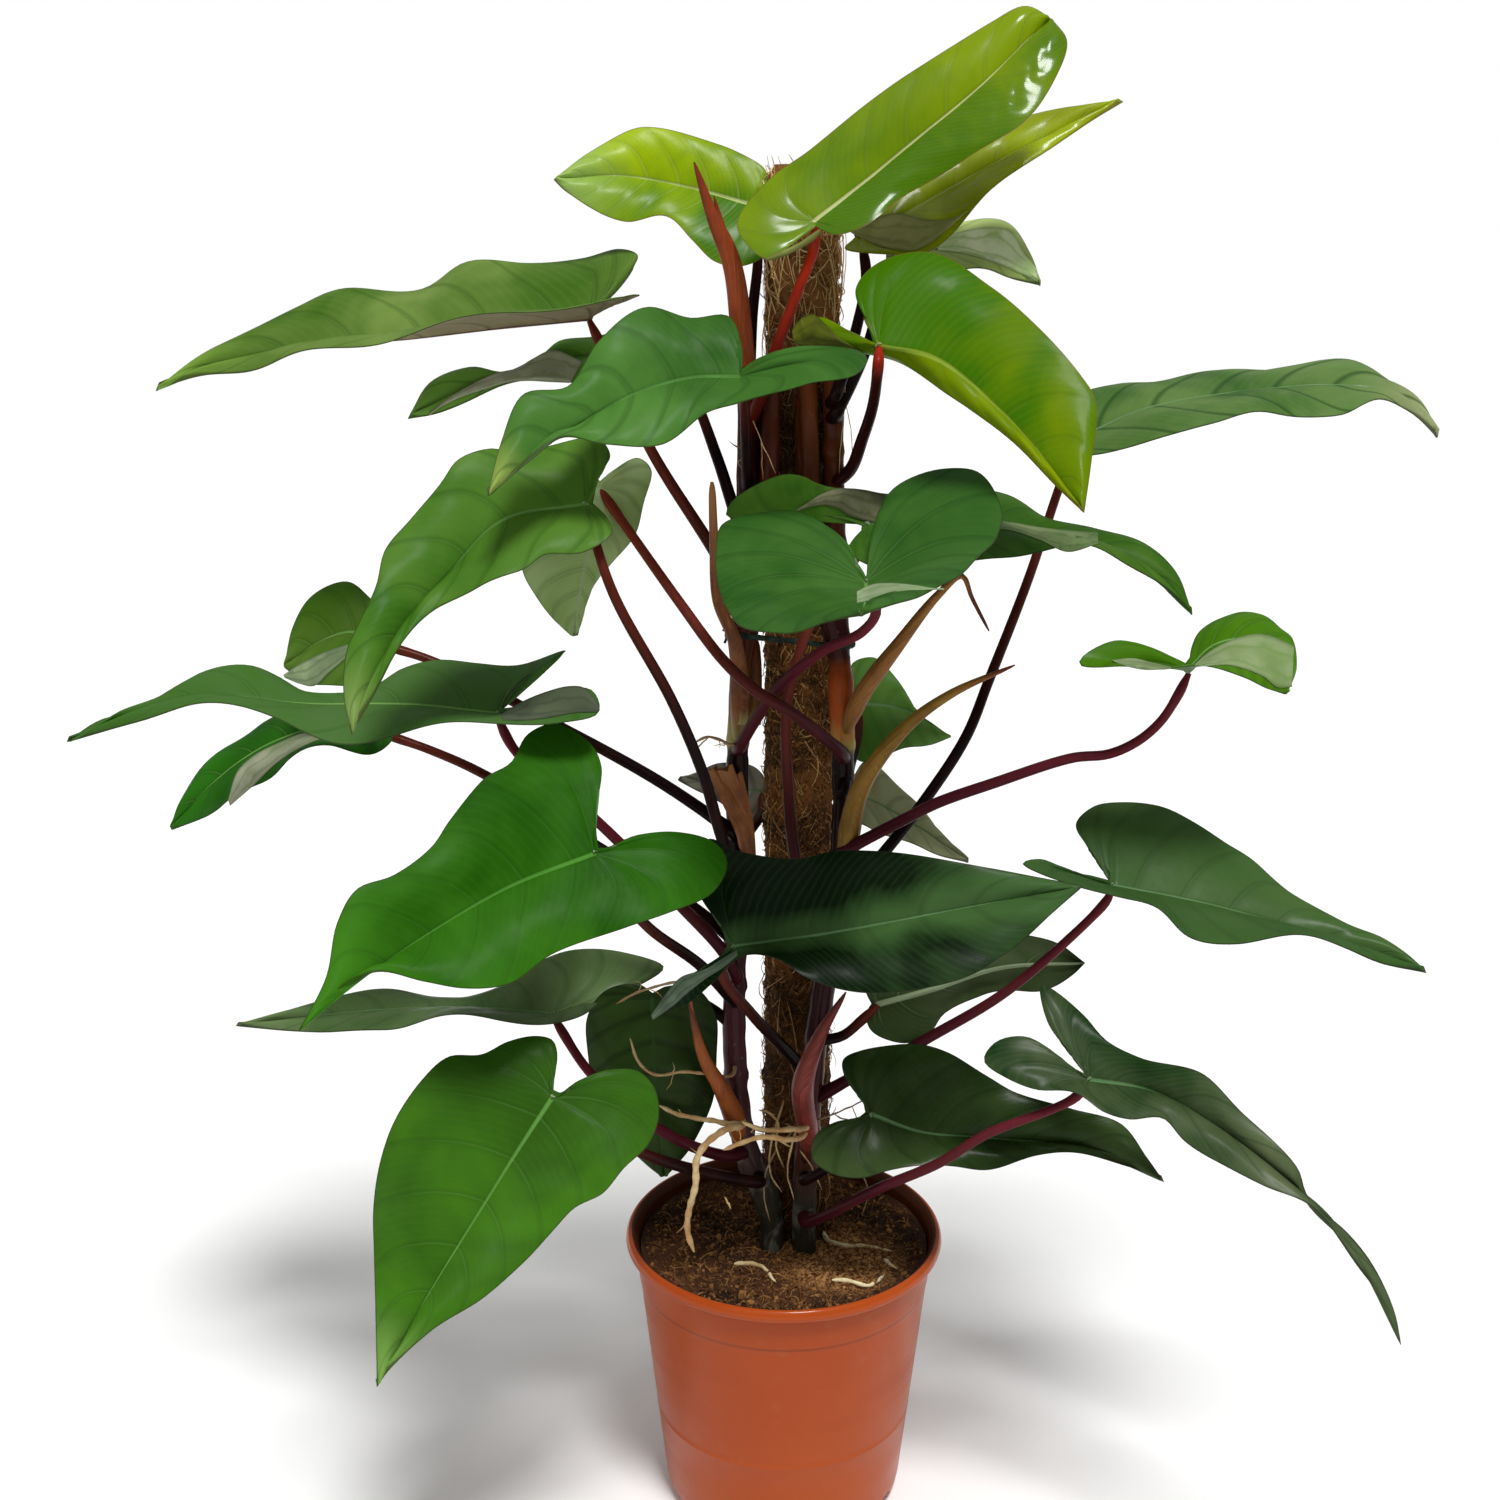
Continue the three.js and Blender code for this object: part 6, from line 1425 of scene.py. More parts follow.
# Thin roots that the frame leaves out: path, radius and how dark they are
FINE_ROOTS = {
    "stem_left": [
        ([[748, 452, 0], [734, 445, -6], [728, 440, -8]], [0.9, 0.5], 0.9),
        ([[748, 458, 0], [738, 462, -6], [742, 470, -8]], [0.8, 0.4], 0.9),
        ([[708, 738, -34], [698, 748, -38], [699, 756, -40]], [0.9, 0.5], 0.8),
        ([[747, 407, -8], [757, 430, -12], [766, 452, -14], [776, 474, -14]], [0.5, 0.45], 0.3),
        ([[761, 440, -12], [762, 460, -12], [763, 480, -12]], [0.4, 0.4], 0.4),
        ([[759, 1110, -10], [768, 1112, -14], [775, 1115, -14]], [1.3, 0.8], 0.1),
        ([[768, 1112, -12], [778, 1122, -14], [776, 1146, -14], [784, 1168, -12]], [1.2, 0.7], 0.4),
        ([[784, 1100, -8], [770, 1150, -14], [771, 1175, -18], [782, 1192, -16]], [1.0, 0.8], 0.5),
        ([[765, 1138, -16], [778, 1140, -20], [791, 1147, -18]], [1.5, 1.3], 0.15),
        ([[776, 1150, -14], [766, 1172, -20], [764, 1196, -24], [770, 1222, -26]], [0.8, 0.5], 0.7),
        ([[725, 1197, -50], [728, 1203, -52], [731, 1209, -52]], [1.3, 0.9], 0.1),
    ],
    "stem_right": [
        ([[812, 1122, -16], [834, 1114, -24], [852, 1106, -28], [868, 1098, -30]], [1.1, 0.6], 0.8),
        ([[834, 1114, -24], [846, 1120, -28], [862, 1116, -30]], [0.8, 0.5], 0.8),
        ([[852, 1106, -28], [856, 1118, -30], [850, 1126, -30]], [0.7, 0.4], 0.8),
        ([[858, 1166, -40], [868, 1190, -44], [862, 1216, -46]], [0.8, 0.5], 0.9),
        ([[846, 377, -12], [844, 410, -12], [841, 445, -12], [839, 474, -12]], [0.4, 0.35], 0.2),
        ([[845, 401, -12], [850, 424, -13], [852, 440, -13], [851, 471, -12]], [0.4, 0.35], 0.2),
        ([[796, 1130, -18], [790, 1152, -22], [788, 1176, -24], [794, 1200, -24]], [1.1, 0.6], 0.4),
        ([[800, 1150, -18], [812, 1168, -24], [822, 1190, -26]], [0.9, 0.6], 0.5),
    ],
}
# How far a ring stands out, and its reach, the depth, reach and drop of the hollow under it, and how
# far the stoutest stretch stands out, and its reach
NODE_RISE = [1.1, 3.2]
NODE_HOLLOW = [0.5, 4, 9]
SWELL = [1.2, 24]
STEM_SIDES = 20
SHOOT_SIDES = 16
STALK_SIDES = 14
# How far under its junction a stalk starts
STALK_START = 2.3


def stem_wood(stem, main, seed):
    """A stem with its rings, its side shoot and its old leaf bases."""
    name = stem["name"]
    growth = Heap()
    t = np.linspace(0, 1, int(main.total / 4))
    centres = main.at(t)
    radii = stem["radius"][0] + (stem["radius"][1] - stem["radius"][0]) * t
    for place in STEM_NODES[name]:
        above = centres[:, 2] - place_at(*place)[2]
        radii = radii + NODE_RISE[0] * np.exp(-(above / NODE_RISE[1]) ** 2)
        radii = radii - NODE_HOLLOW[0] * np.exp(-((above + NODE_HOLLOW[2]) / NODE_HOLLOW[1]) ** 2)
    above = centres[:, 2] - place_at(*STEM_SWELL[name])[2]
    radii = radii + SWELL[0] * np.exp(-(above / SWELL[1]) ** 4)
    radii = rough_radii(centres, radii, STEM_SIDES, 0.10, 0.07, seed)
    growth.add(*tube(centres, radii, STEM_SIDES, 0.4))
    shoot = Curve([place_at(*place) for place in stem["shoot"]])
    t = np.linspace(0, 1, int(shoot.total / 5))
    centres = shoot.at(t)
    radii = SHOOT_RADIUS[0] + (SHOOT_RADIUS[1] - SHOOT_RADIUS[0]) * t
    radii = rough_radii(centres, radii, SHOOT_SIDES, 0.12, 0.06, seed + 5)
    growth.add(*tube(centres, radii, SHOOT_SIDES, 0.7))
    for path, ends in LEAF_BASES[name]:
        line = Curve([place_at(*place) for place in path])
        t = np.linspace(0, 1, 24)
        radii = ends[0] + (ends[1] - ends[0]) * t
        radii[-4:] *= [0.9, 0.75, 0.5, 0.15]
        growth.add(*tube(line.at(t), radii, STALK_SIDES, 0.9))
    growth.piece(name + "_wood", [stem_paint(name + "_skin", STEM_BANDS[name])], "stem", [name])


def stem_stalks(stem, main, rng):
    """A stem's leaf stalks, each from under its blade into the stem."""
    name = stem["name"]
    stalks = Heap()
    kinds = list(STALK_LOOKS)
    for stalk in stem["stalks"]:
        leaf = next(leaf for leaf in LEAVES if leaf["name"] == stalk["leaf"])
        start = place_at(*leaf["junction"]) + UNDER_NORMALS[leaf["name"]] * STALK_START
        places = [start] + [place_at(*place) for place in stalk["path"]]
        places.append(height_on(main, places[-1][2] - STALK_SINK))
        curve = Curve(places)
        t = np.linspace(0, 1, int(curve.total / 4) + 2)
        distance = t * curve.total
        radii = STALK_TIP_RADIUS + (stalk.get("radius", STALK_BASE_RADIUS) - STALK_TIP_RADIUS) * t
        radii = radii * (0.62 + 0.38 * np.clip(distance / 9, 0, 1))
        radii = radii * (1 + 0.14 * np.exp(-((distance - 15) / 8) ** 2))
        radii = radii * (1 + 0.3 * np.clip((t - 0.86) / 0.14, 0, 1) ** 1.5)
        look = kinds.index(STALK_OF.get(stalk["leaf"], "maroon"))
        stalks.add(*tube(curve.at(t), radii, STALK_SIDES, rng.uniform(), 0.9), look)
    skins = [stalk_paint(name + "_stalk_" + kind, *STALK_LOOKS[kind]) for kind in kinds]
    stalks.piece(name + "_stalks", skins, "stem", [name])


def stem_roots(stem, main, rng):
    """A stem's air roots with their side roots, and the thin roots beside them."""
    name = stem["name"]
    roots = Heap()
    for root in STEM_ROOTS[name]:
        places = [place_at(*place) for place in root["path"]]
        places.insert(0, height_on(main, places[0][2]))
        centres = root_tube(roots, places, root["radius"], rng, root.get("tone", 0.25))
        for at in rng.uniform(0.35, 0.95, 3):
            start = centres[int(at * (len(centres) - 1))]
            end = start + unit(rng.normal(size=3)) * rng.uniform(6, 15)
            middle = (start + end) / 2 + rng.normal(size=3) * 1.5
            root_tube(roots, [start, middle, end], [0.55, 0.3], rng, 0.5, 0.3)
    for path, radius, tone in FINE_ROOTS[name]:
        root_tube(roots, [place_at(*place) for place in path], radius, rng, tone, 0.5)
    roots.piece(name + "_roots", [root_paint(name + "_root", "dcc08c", "b98a55", "4a2e22")], "stem",
                [name])


def make_stem(stem, seed):
    """A stem with its shoot, then its leaf stalks, then its air roots, as three pieces."""
    rng = np.random.default_rng(seed)
    main = Curve([place_at(*place) for place in stem["path"]])
    stem_wood(stem, main, seed)
    stem_stalks(stem, main, rng)
    stem_roots(stem, main, rng)


# Sheaths

def sheath_paint(name, body, edge, fibre, tip, base):
    """Papery sheath skin with fibres along it, paler or darker where it leaves the stem."""
    paint = Paint(name, specular=0.15, coat=0.14, coat_roughness=0.25)
    along, arc, tone = paint.layer("grow")
    cross = paint.node("ShaderNodeCombineXYZ")
    paint.put(cross.inputs[0], paint.times(arc, 1.5))
    paint.put(cross.inputs[1], paint.times(along, 1.2))
    paint.put(cross.inputs[2], tone)
    lines = paint.node("ShaderNodeTexNoise")
    paint.put(lines.inputs["Vector"], cross.outputs[0])
    lines.inputs["Scale"].default_value = 2.2
    lines.inputs["Detail"].default_value = 4
    patch = paint.noise(30, 3)
    colour = paint.mix(paint.fade(lines.outputs["Fac"], 0.35, 0.7), body, fibre)
    colour = paint.mix(paint.fade(patch, 0.45, 0.75, 0.0, 0.6), colour, edge)
    colour = paint.mix(paint.fade(along, 0.75, 1.0), colour, tip)
    colour = paint.mix(paint.fade(along, 0.0, 0.18, 0.95, 0.0), colour, base)
    rough = paint.fade(patch, 0.3, 0.7, 0.42, 0.62)
    return paint.finish(colour, rough, lines.outputs["Fac"], 0.5, 0.7)


# Points across a sheath, its thickness, and how far its keel stands out
SHEATH_POINTS = 13
SHEATH_THICK = 0.8
SHEATH_KEEL = 0.12


def sheath_loft(heap, path, widths, curls, rng, tone=0.5, turn=0.0, ragged=0.0):
    """A sheath: a rolled strip whose back faces the viewer. curls are half arcs in degrees."""
    curve = Curve([place_at(*place) for place in path])
    rings = max(18, int(curve.total / 3.5))
    t = np.linspace(0, 1, rings + 1)
    centres = curve.at(t)
    side, across = tube_frames(centres)
    marks = np.linspace(0, 1, len(widths))
    radius = np.interp(t, marks, widths)
    curl = np.radians(np.interp(t, np.linspace(0, 1, len(curls)), curls))
    if not ragged:
        radius[-3:] *= [0.94, 0.8, 0.45]
    points = SHEATH_POINTS
    spread = np.linspace(-1, 1, points)
    angles = curl[:, None] * spread[None] + math.pi + turn
    bump = 1 + SHEATH_KEEL * np.exp(-(spread * 5) ** 2) + 0.03 * np.sin(spread * 21 + rng.uniform(0, 6))
    outer = radius[:, None] * bump[None]
    inner = np.maximum(outer - SHEATH_THICK, outer * 0.3)
    ring_radius = np.concatenate([outer, inner[:, ::-1]], axis=1)
    ring_angle = np.concatenate([angles, angles[:, ::-1]], axis=1)
    spokes = (side[:, None] * (np.cos(ring_angle) * ring_radius)[:, :, None]
              + across[:, None] * (np.sin(ring_angle) * ring_radius)[:, :, None])
    places = centres[:, None] + spokes
    if ragged:
        teeth = rng.uniform(-1, 1, points) + 0.5 * np.sin(spread * 9 + 1)
        teeth = ragged * np.concatenate([teeth, teeth[::-1]])
        onward = unit(centres[-1] - centres[-3])
        for back in range(3):
            places[-1 - back] += onward * (teeth * (1 - back / 3))[:, None]
    places = places.reshape(-1, 3)
    arc = (ring_angle * ring_radius).ravel()
    values = np.stack([np.repeat(t, 2 * points), arc, np.full(len(arc), tone)], -1)
    heap.add(places, ring_faces(rings, 2 * points), values)


# A sheath's colour, edge, fibres, tip and base
SHEATH_LOOKS = {
    "sheath_new_spear": ["8e3a14", "5e1e0c", "b4541e", "7a2c14", "7a2410"],
    "sheath_brown_stick": ["683614", "30140a", "905628", "a87444", "aca066"],
    "sheath_brown_folded": ["844a22", "3a180c", "b0703a", "8e5a30", "5a2a14"],
    "sheath_tan": ["7a4a1c", "4a2410", "9c6a2c", "4a1812", "8a6430"],
    "sheath_ochre": ["7c581a", "4e3410", "9a7428", "6a2a18", "5a4a18"],
    "sheath_low_left": ["8a4418", "4a180e", "b0622a", "5a2e1e", "6a2410"],
    "sheath_low_right": ["66241c", "401412", "964238", "5a1e1a", "2a0e0c"],
}
SHEATH_CURLS = {
    "sheath_new_spear": [168, 172, 176, 178],
    "sheath_brown_stick": [150, 160, 176, 178],
    "sheath_brown_folded": [120, 105, 92, 80],
    "sheath_tan": [110, 118, 130, 150, 160],
    "sheath_ochre": [112, 112, 120, 150],
    "sheath_low_left": [130, 120, 140, 165],
    "sheath_low_right": [135, 120, 125, 160],
}
# How far a torn top end runs up and down
SHEATH_RAGGED = {"sheath_brown_folded": 2.0}
# Second folds that stand beside a sheath's own: path, widths, curls and raggedness
SHEATH_FOLDS = {
    "sheath_new_spear": [([[741, 345, -20], [736, 290, -27], [725, 240, -34], [714, 196, -39]],
                          [5.5, 5, 3.6, 0.8], [165, 170, 176, 178], 0.0)],
    "sheath_brown_stick": [([[741, 722, -9], [741, 690, -14], [737, 655, -18], [728, 622, -23]],
                            [4.5, 6, 5.5, 2.5], [110, 92, 85, 80], 3.0)],
    "sheath_brown_folded": [([[750, 862, -12], [740, 825, -17], [727, 795, -21], [712, 768, -22]],
                             [3, 5, 6, 4.5], [80, 75, 70, 60], 2.5),
                            ([[752, 858, -6], [748, 825, -9], [742, 800, -11], [737, 772, -12]],
                             [3, 4, 5, 4], [80, 75, 70, 60], 2.0)],
    "sheath_low_left": [([[704, 1058, -46], [694, 1020, -50], [688, 985, -53]],
                         [3, 1.6, 0.7], [150, 160, 170], 0.0)],
}


def make_sheaths():
    """Each sheath with the folds beside it, as one piece."""
    rng = np.random.default_rng(31)
    for sheath in SHEATHS:
        name = sheath["name"]
        heap = Heap()
        sheath_loft(heap, sheath["path"], sheath["width"], SHEATH_CURLS[name], rng,
                    ragged=SHEATH_RAGGED.get(name, 0.0))
        for path, widths, curls, ragged in SHEATH_FOLDS.get(name, []):
            sheath_loft(heap, path, widths, curls, rng, tone=1.5, turn=0.5, ragged=ragged)
        skin = sheath_paint(name + "_skin", *SHEATH_LOOKS[name])
        heap.piece(name.removeprefix("sheath_") + "_sheath", [skin], sheath["slot"], [name])


# Coir pole

# Heights in metres between which the coir turns golden, lies in a near-black band of painted shade,
# and comes out of the painted shade at its foot, and how softly the shaded band ends
COIR_GOLD = [0.86, 0.94]
COIR_SHADE_BAND = [0.765, 0.855]
COIR_SHADED = [0.38, 0.46]
SHADE_BAND_EDGE = 0.02


def coir_paint(name, dark, mid, pale):
    """Coir: a tone for each fibre over patchy browns, paler at the pole's top, with painted shade in
    bands.
    """
    paint = Paint(name, roughness=0.85, specular=0.15)
    tone = paint.layer("grow")[2]
    patch = paint.noise(30, 4)
    thread = paint.noise(330, 3, distortion=1.5)
    colour = paint.mix(paint.fade(patch, 0.4, 0.62), dark, mid)
    colour = paint.mix(paint.fade(thread, 0.5, 0.62, 0.0, 0.8), colour, mid)
    colour = paint.mix(paint.times(tone, 0.9), colour, pale)
    colour = paint.mix(paint.fade(thread, 0.36, 0.46, 0.85, 0.0), colour, dark)
    golden = paint.fade(paint.height(), COIR_GOLD[0], COIR_GOLD[1], 0.0, 0.75)
    colour = paint.mix(paint.times(golden, paint.fade(patch, 0.3, 0.6, 0.2, 1.0)), colour, pale)
    shaded = paint.fade(paint.height(), COIR_SHADED[0], COIR_SHADED[1], 0.5, 0.0)
    colour = paint.mix(shaded, colour, dark)
    # A near-black band of painted shade across the pole
    low, high = COIR_SHADE_BAND
    shade_band = paint.times(paint.fade(paint.height(), low - SHADE_BAND_EDGE, low + SHADE_BAND_EDGE),
                       paint.fade(paint.height(), high - SHADE_BAND_EDGE, high + SHADE_BAND_EDGE, 1.0, 0.0))
    colour = paint.mix(paint.times(shade_band, 0.75), colour, "120c06")
    return paint.finish(colour, None, thread, 1.6, 1.0)


# A fibre's thickness at each of its places, as a share of its radius
FIBRE_TAPER = [1.0, 1.0, 0.95, 0.85, 0.7, 0.3]


def fibres(heap, roots, heads, sags, radius, tones):
    """Many thin three-sided fibres, each from root to head with a sag between, as one bit."""
    steps = np.linspace(0, 1, len(FIBRE_TAPER))
    lines = (roots[:, None] + (heads - roots)[:, None] * steps[None, :, None]
             + sags[:, None] * (4 * steps * (1 - steps))[None, :, None])
    along = unit(np.gradient(lines, axis=1))
    side = unit(np.cross(along, np.array([0.2, 0.3, 1.0]) + 0 * along))
    across = np.cross(along, side)
    taper = radius[:, None] * np.array(FIBRE_TAPER)[None]
    sides = 3
    rings = []
    for k in range(sides):
        angle = 2 * math.pi * k / sides
        rings.append(lines + (side * math.cos(angle) + across * math.sin(angle)) * taper[..., None])
    places = np.stack(rings, 2).reshape(-1, 3)
    faces = []
    pattern = ring_faces(len(steps) - 1, sides)
    points = len(steps) * sides
    for i in range(len(roots)):
        faces += [[k + i * points for k in face] for face in pattern]
    values = np.stack([np.tile(np.repeat(steps, sides), len(roots)),
                       np.zeros(len(places)), np.repeat(tones, points)], -1)
    heap.add(places, faces, values)


# The mat's sides and rings, the short fibres on it, and the coarse strands: how many, from and to
# which height
MAT_SIDES = 88
MAT_RINGS = 230
COIR_FIBRES = 4600
COIR_STRANDS = [[220, 860, 985], [120, 230, 860]]


def spokes(turn):
    """Directions out from the pole at angles round it."""
    return np.stack([np.cos(turn), np.sin(turn), np.zeros(len(turn))], -1)


def pole_line(top, rings):
    """Places on the pole's axis, from its foot to a height."""
    heights = np.linspace(POLE_FOOT, top, rings)
    return np.array(POLE_AXIS, float) + heights[:, None] * [0, 0, 1]


def coir_mat():
    """The sleeve's rough mat."""
    centres = pole_line(POLE_TOP, MAT_RINGS)
    base = np.full(MAT_RINGS, POLE_RADIUS - 1.0)
    base[-3:] = [POLE_RADIUS - 2, POLE_RADIUS - 4, POLE_RADIUS - 6]
    coarse = rough_radii(centres, base, MAT_SIDES, 0.13, 0.11, 3)
    fine = rough_radii(centres, base, MAT_SIDES, 0.12, 0.42, 9)
    mat = Heap()
    mat.add(*tube(centres, coarse + fine - base[:, None], MAT_SIDES, 0.15))
    mat.piece("coir_mat", [coir_paint("coir_mat", "1a0e06", "7a4c24", "a87440")], "coir",
              ["pole_coir"])


def coir_fibres(rng):
    """Short fibres all over the mat."""
    count = COIR_FIBRES
    turn = rng.uniform(0, 2 * math.pi, count)
    height = rng.uniform(POLE_FOOT + 10, POLE_TOP - 4, count)
    out = spokes(turn)
    roots = np.array(POLE_AXIS) + out * (POLE_RADIUS - 1.2)
    roots[:, 2] = height
    lean = rng.uniform(-0.45, 0.45, count)
    climb = rng.uniform(-17, 17, count)
    head_out = spokes(turn + lean)
    stand = POLE_RADIUS + rng.exponential(1.1, count) - 1.0
    heads = np.array(POLE_AXIS) + head_out * stand[:, None]
    heads[:, 2] = np.minimum(height + climb, POLE_TOP + 6)
    middle = unit(out + head_out) * (1 - np.cos(lean / 2))[:, None] * POLE_RADIUS
    sags = middle + rng.normal(size=(count, 3)) * 1.3 + unit(out + head_out) * 0.8
    heap = Heap()
    fibres(heap, roots, heads, sags, rng.uniform(0.2, 0.5, count), rng.uniform(0, 1, count) ** 1.8)
    heap.piece("coir_fibres", [coir_paint("coir_fibre", "5a3214", "a87036", "e2b878")], "coir",
               ["pole_coir"], 80)


def coir_strands(rng):
    """Coarser, longer strands that lie round the pole."""
    strands = Heap()
    for count, low, high in COIR_STRANDS:
        turn = rng.uniform(0, 2 * math.pi, count)
        height = rng.uniform(low, high, count)
        lean = rng.normal(size=count) * 0.55
        rise = rng.normal(size=count) * 24
        start = np.stack([np.cos(turn), np.sin(turn)], -1) * (POLE_RADIUS + 0.2)
        end = np.stack([np.cos(turn + lean), np.sin(turn + lean)], -1) * (POLE_RADIUS + 1.2)
        roots = np.column_stack([start, height]) + POLE_AXIS
        heads = np.column_stack([end, np.clip(height + rise, POLE_FOOT, POLE_TOP)])
        heads += POLE_AXIS
        sags = np.column_stack([start + end, np.zeros(count)]) * 0.03
        fibres(strands, roots, heads, sags + rng.normal(size=(count, 3)) * 1.6,
               rng.uniform(0.3, 0.65, count), rng.uniform(0.3, 1, count))
    strands.piece("coir_strands", [coir_paint("coir_strand", "8a5a28", "c08a4c", "f0cc94")], "coir",
                  ["pole_coir"], 80)


def pole_tube():
    """The tube inside the sleeve."""
    core = Heap()
    rings = 12
    core.add(*tube(pole_line(CORE_TOP, rings), np.full(rings, CORE_RADIUS - 0.4), 32))
    core.piece("pole_tube", [coir_paint("tube_fibre", "6a5a44", "8d7a5f", "a8967a")], "core",
               ["pole_core"])


def make_pole():
    """The coir sleeve: a rough mat with fibres standing off it, and the tube inside."""
    rng = np.random.default_rng(47)
    coir_mat()
    coir_fibres(rng)
    coir_strands(rng)
    pole_tube()


# Soil, with crumbs, peat fibres and the roots that lie in its surface

# How far the soil rises toward the pot's wall
SOIL_BANK = 11
# The bed's sides and rings, and how many crumbs and fibres lie on it
SOIL_SIDES = 150
SOIL_RINGS = 46
CRUMBS = 3600
LITTER = 1300


def soil_height(x, y):
    """The soil's height at a place, in millimetres, with its unevenness."""
    radius = math.hypot(x, y)
    level = SOIL_TOP + SOIL_RISE * (1 - (radius / SOIL_RADIUS) ** 2) - 2.5
    level += SOIL_BANK * (radius / SOIL_RADIUS) ** 3
    lumps = noise.noise(Vector((x, y, 4)) * 0.045) * 4.5 + noise.noise(Vector((x, y, 9)) * 0.16) * 2.2
    return level + lumps * min(1.0, (SOIL_RADIUS - radius) / 12 + 0.25)


# Column and row of the middle of a patch painted lighter, a pool of painted light on the soil
LIT_SOIL_SPOT = [838, 1264]


def soil_spot(column, row, sink=0.0):
    """Where the view through a column and row meets the soil, or sink above it."""
    ray = place_at(column, row, 0) - EYE
    level = SOIL_TOP
    for _ in range(3):
        place = EYE + ray * ((level - EYE[2]) / ray[2])
        level = soil_height(place[0], place[1]) + sink
    return place


def soil_paint(name, dark, mid, pale):
    """Peat in patches, paler where its pieces are, with a lighter patch of crumb as painted light."""
    paint = Paint(name, roughness=0.92, specular=0.2)
    tone = paint.layer("grow")[2]
    patch = paint.noise(18, 5)
    grain = paint.noise(240, 4)
    colour = paint.mix(paint.fade(patch, 0.35, 0.65), dark, mid)
    colour = paint.mix(paint.fade(grain, 0.55, 0.8, 0.0, 0.6), colour, pale)
    colour = paint.mix(paint.times(tone, 0.75), colour, pale)
    # A lighter patch of crumb round one spot, a pool of painted light
    away = paint.node("ShaderNodeVectorMath", operation="DISTANCE")
    paint.put(away.inputs[0], paint.place)
    away.inputs[1].default_value = soil_spot(*LIT_SOIL_SPOT) * MM
    reach = paint.plus(away.outputs["Value"], paint.times(patch, 0.04))
    crumb = paint.noise(330, 5, 0.7)
    lit_earth = paint.mix(paint.fade(crumb, 0.42, 0.6), "5a3418", "d09a60")
    colour = paint.mix(paint.fade(reach, 0.048, 0.078, 0.85, 0.0), colour, lit_earth)
    return paint.finish(colour, None, grain, 1.5, 0.9)


def lump_points():
    """The twelve corners of an even lump."""
    phi = (1 + math.sqrt(5)) / 2
    points = []
    for a in (-1, 1):
        for b in (-phi, phi):
            points += [(0, a, b), (a, b, 0), (b, 0, a)]
    return np.array(points, float)


def lump(centre, size, rng):
    """The twelve corners of one crumb: a lump pulled out of round."""
    points = unit(lump_points()) * rng.uniform(0.7, 1.25, (12, 1))
    turn = np.linalg.qr(rng.normal(size=(3, 3)))[0]
    scale = size * rng.uniform(0.55, 1.3, 3)
    return centre + (points * scale) @ turn.T


def lump_faces():
    """The twenty faces of a lump, found from its nearest corners and turned outward."""
    points = lump_points()
    near = np.linalg.norm(points[:, None] - points[None], axis=-1) < 2.01
    faces = []
    for i in range(12):
        for j in range(i + 1, 12):
            for k in range(j + 1, 12):
                if near[i, j] and near[j, k] and near[i, k]:
                    a, b, c = points[i], points[j], points[k]
                    outward = np.cross(b - a, c - a) @ (a + b + c) > 0
                    faces.append([i, j, k] if outward else [i, k, j])
    return faces


def scatter(count, rng, reach):
    """Random places over the soil's round top."""
    radius = reach * np.sqrt(rng.uniform(0, 1, count))
    turn = rng.uniform(0, 2 * math.pi, count)
    return [(r * math.cos(a), r * math.sin(a)) for r, a in zip(radius, turn)]


def soil_bed():
    """The soil's bed: an uneven top, and plain sides and base down to the step in the wall."""
    sides, rings = SOIL_SIDES, SOIL_RINGS
    foot_radius, foot = SOIL_FOOT
    turns = [2 * math.pi * k / sides for k in range(sides)]
    places = []
    for i in range(1, rings + 1):
        for turn in turns:
            radius = SOIL_RADIUS * i / rings
            x, y = radius * math.cos(turn), radius * math.sin(turn)
            places.append([x, y, soil_height(x, y)])
    places += [[foot_radius * math.cos(turn), foot_radius * math.sin(turn), foot] for turn in turns]
    places += [[0, 0, soil_height(0, 0)], [0, 0, foot]]
    top, bottom = len(places) - 2, len(places) - 1
    faces = [[a, d, c, b] for a, b, c, d in ring_faces(rings, sides)[:-2]]
    for k in range(sides):
        faces.append([top, k, (k + 1) % sides])
        faces.append([bottom, rings * sides + (k + 1) % sides, rings * sides + k])
    bed = Heap()
    bed.add(np.array(places), faces, np.zeros((len(places), 3)))
    bed.piece("soil_bed", [soil_paint("soil_peat", "22130a", "4a2c18", "80532f")], "soil", ["soil"])


def soil_crumbs(rng):
    """Crumbs scattered over the bed, most of them small."""
    crumbs = Heap()
    pattern = lump_faces()
    for x, y in scatter(CRUMBS, rng, SOIL_RADIUS - 3):
        size = rng.gamma(2.0, 0.36) + 0.5
        centre = np.array([x, y, soil_height(x, y) + size * 0.25])
        values = np.tile([0.0, 0.0, rng.uniform() ** 3], (12, 1))
        crumbs.add(lump(centre, min(size, 5.0), rng), pattern, values)
    crumbs.piece("soil_crumbs", [soil_paint("soil_crumb", "2a180c", "5c3820", "ae7a46")], "soil",
                 ["soil"], 25)


def soil_fibres(rng):
    """Fine peat fibres that lie on the bed, none of them past the pot's wall."""
    spots = scatter(LITTER, rng, SOIL_RADIUS - 8)
    roots = np.array([[x, y, soil_height(x, y) + 0.4] for x, y in spots])
    heads = roots + rng.normal(size=(LITTER, 3)) * [5.5, 5.5, 1.4]
    inside = np.hypot(heads[:, 0], heads[:, 1]) < SOIL_RADIUS - 3
    roots, heads = roots[inside], heads[inside]
    heads[:, 2] = [max(z, soil_height(x, y) + 0.3) for x, y, z in heads]
    sags = rng.normal(size=roots.shape) * 1.2 + [0, 0, 1.4]
    litter = Heap()
    fibres(litter, roots, heads, sags, rng.uniform(0.18, 0.55, len(roots)),
           rng.uniform(0, 1, len(roots)) ** 2.4)
    litter.piece("soil_fibres", [soil_paint("soil_fibre", "3a2010", "7a4e2a", "bc8c54")], "soil",
                 ["soil"], 80)


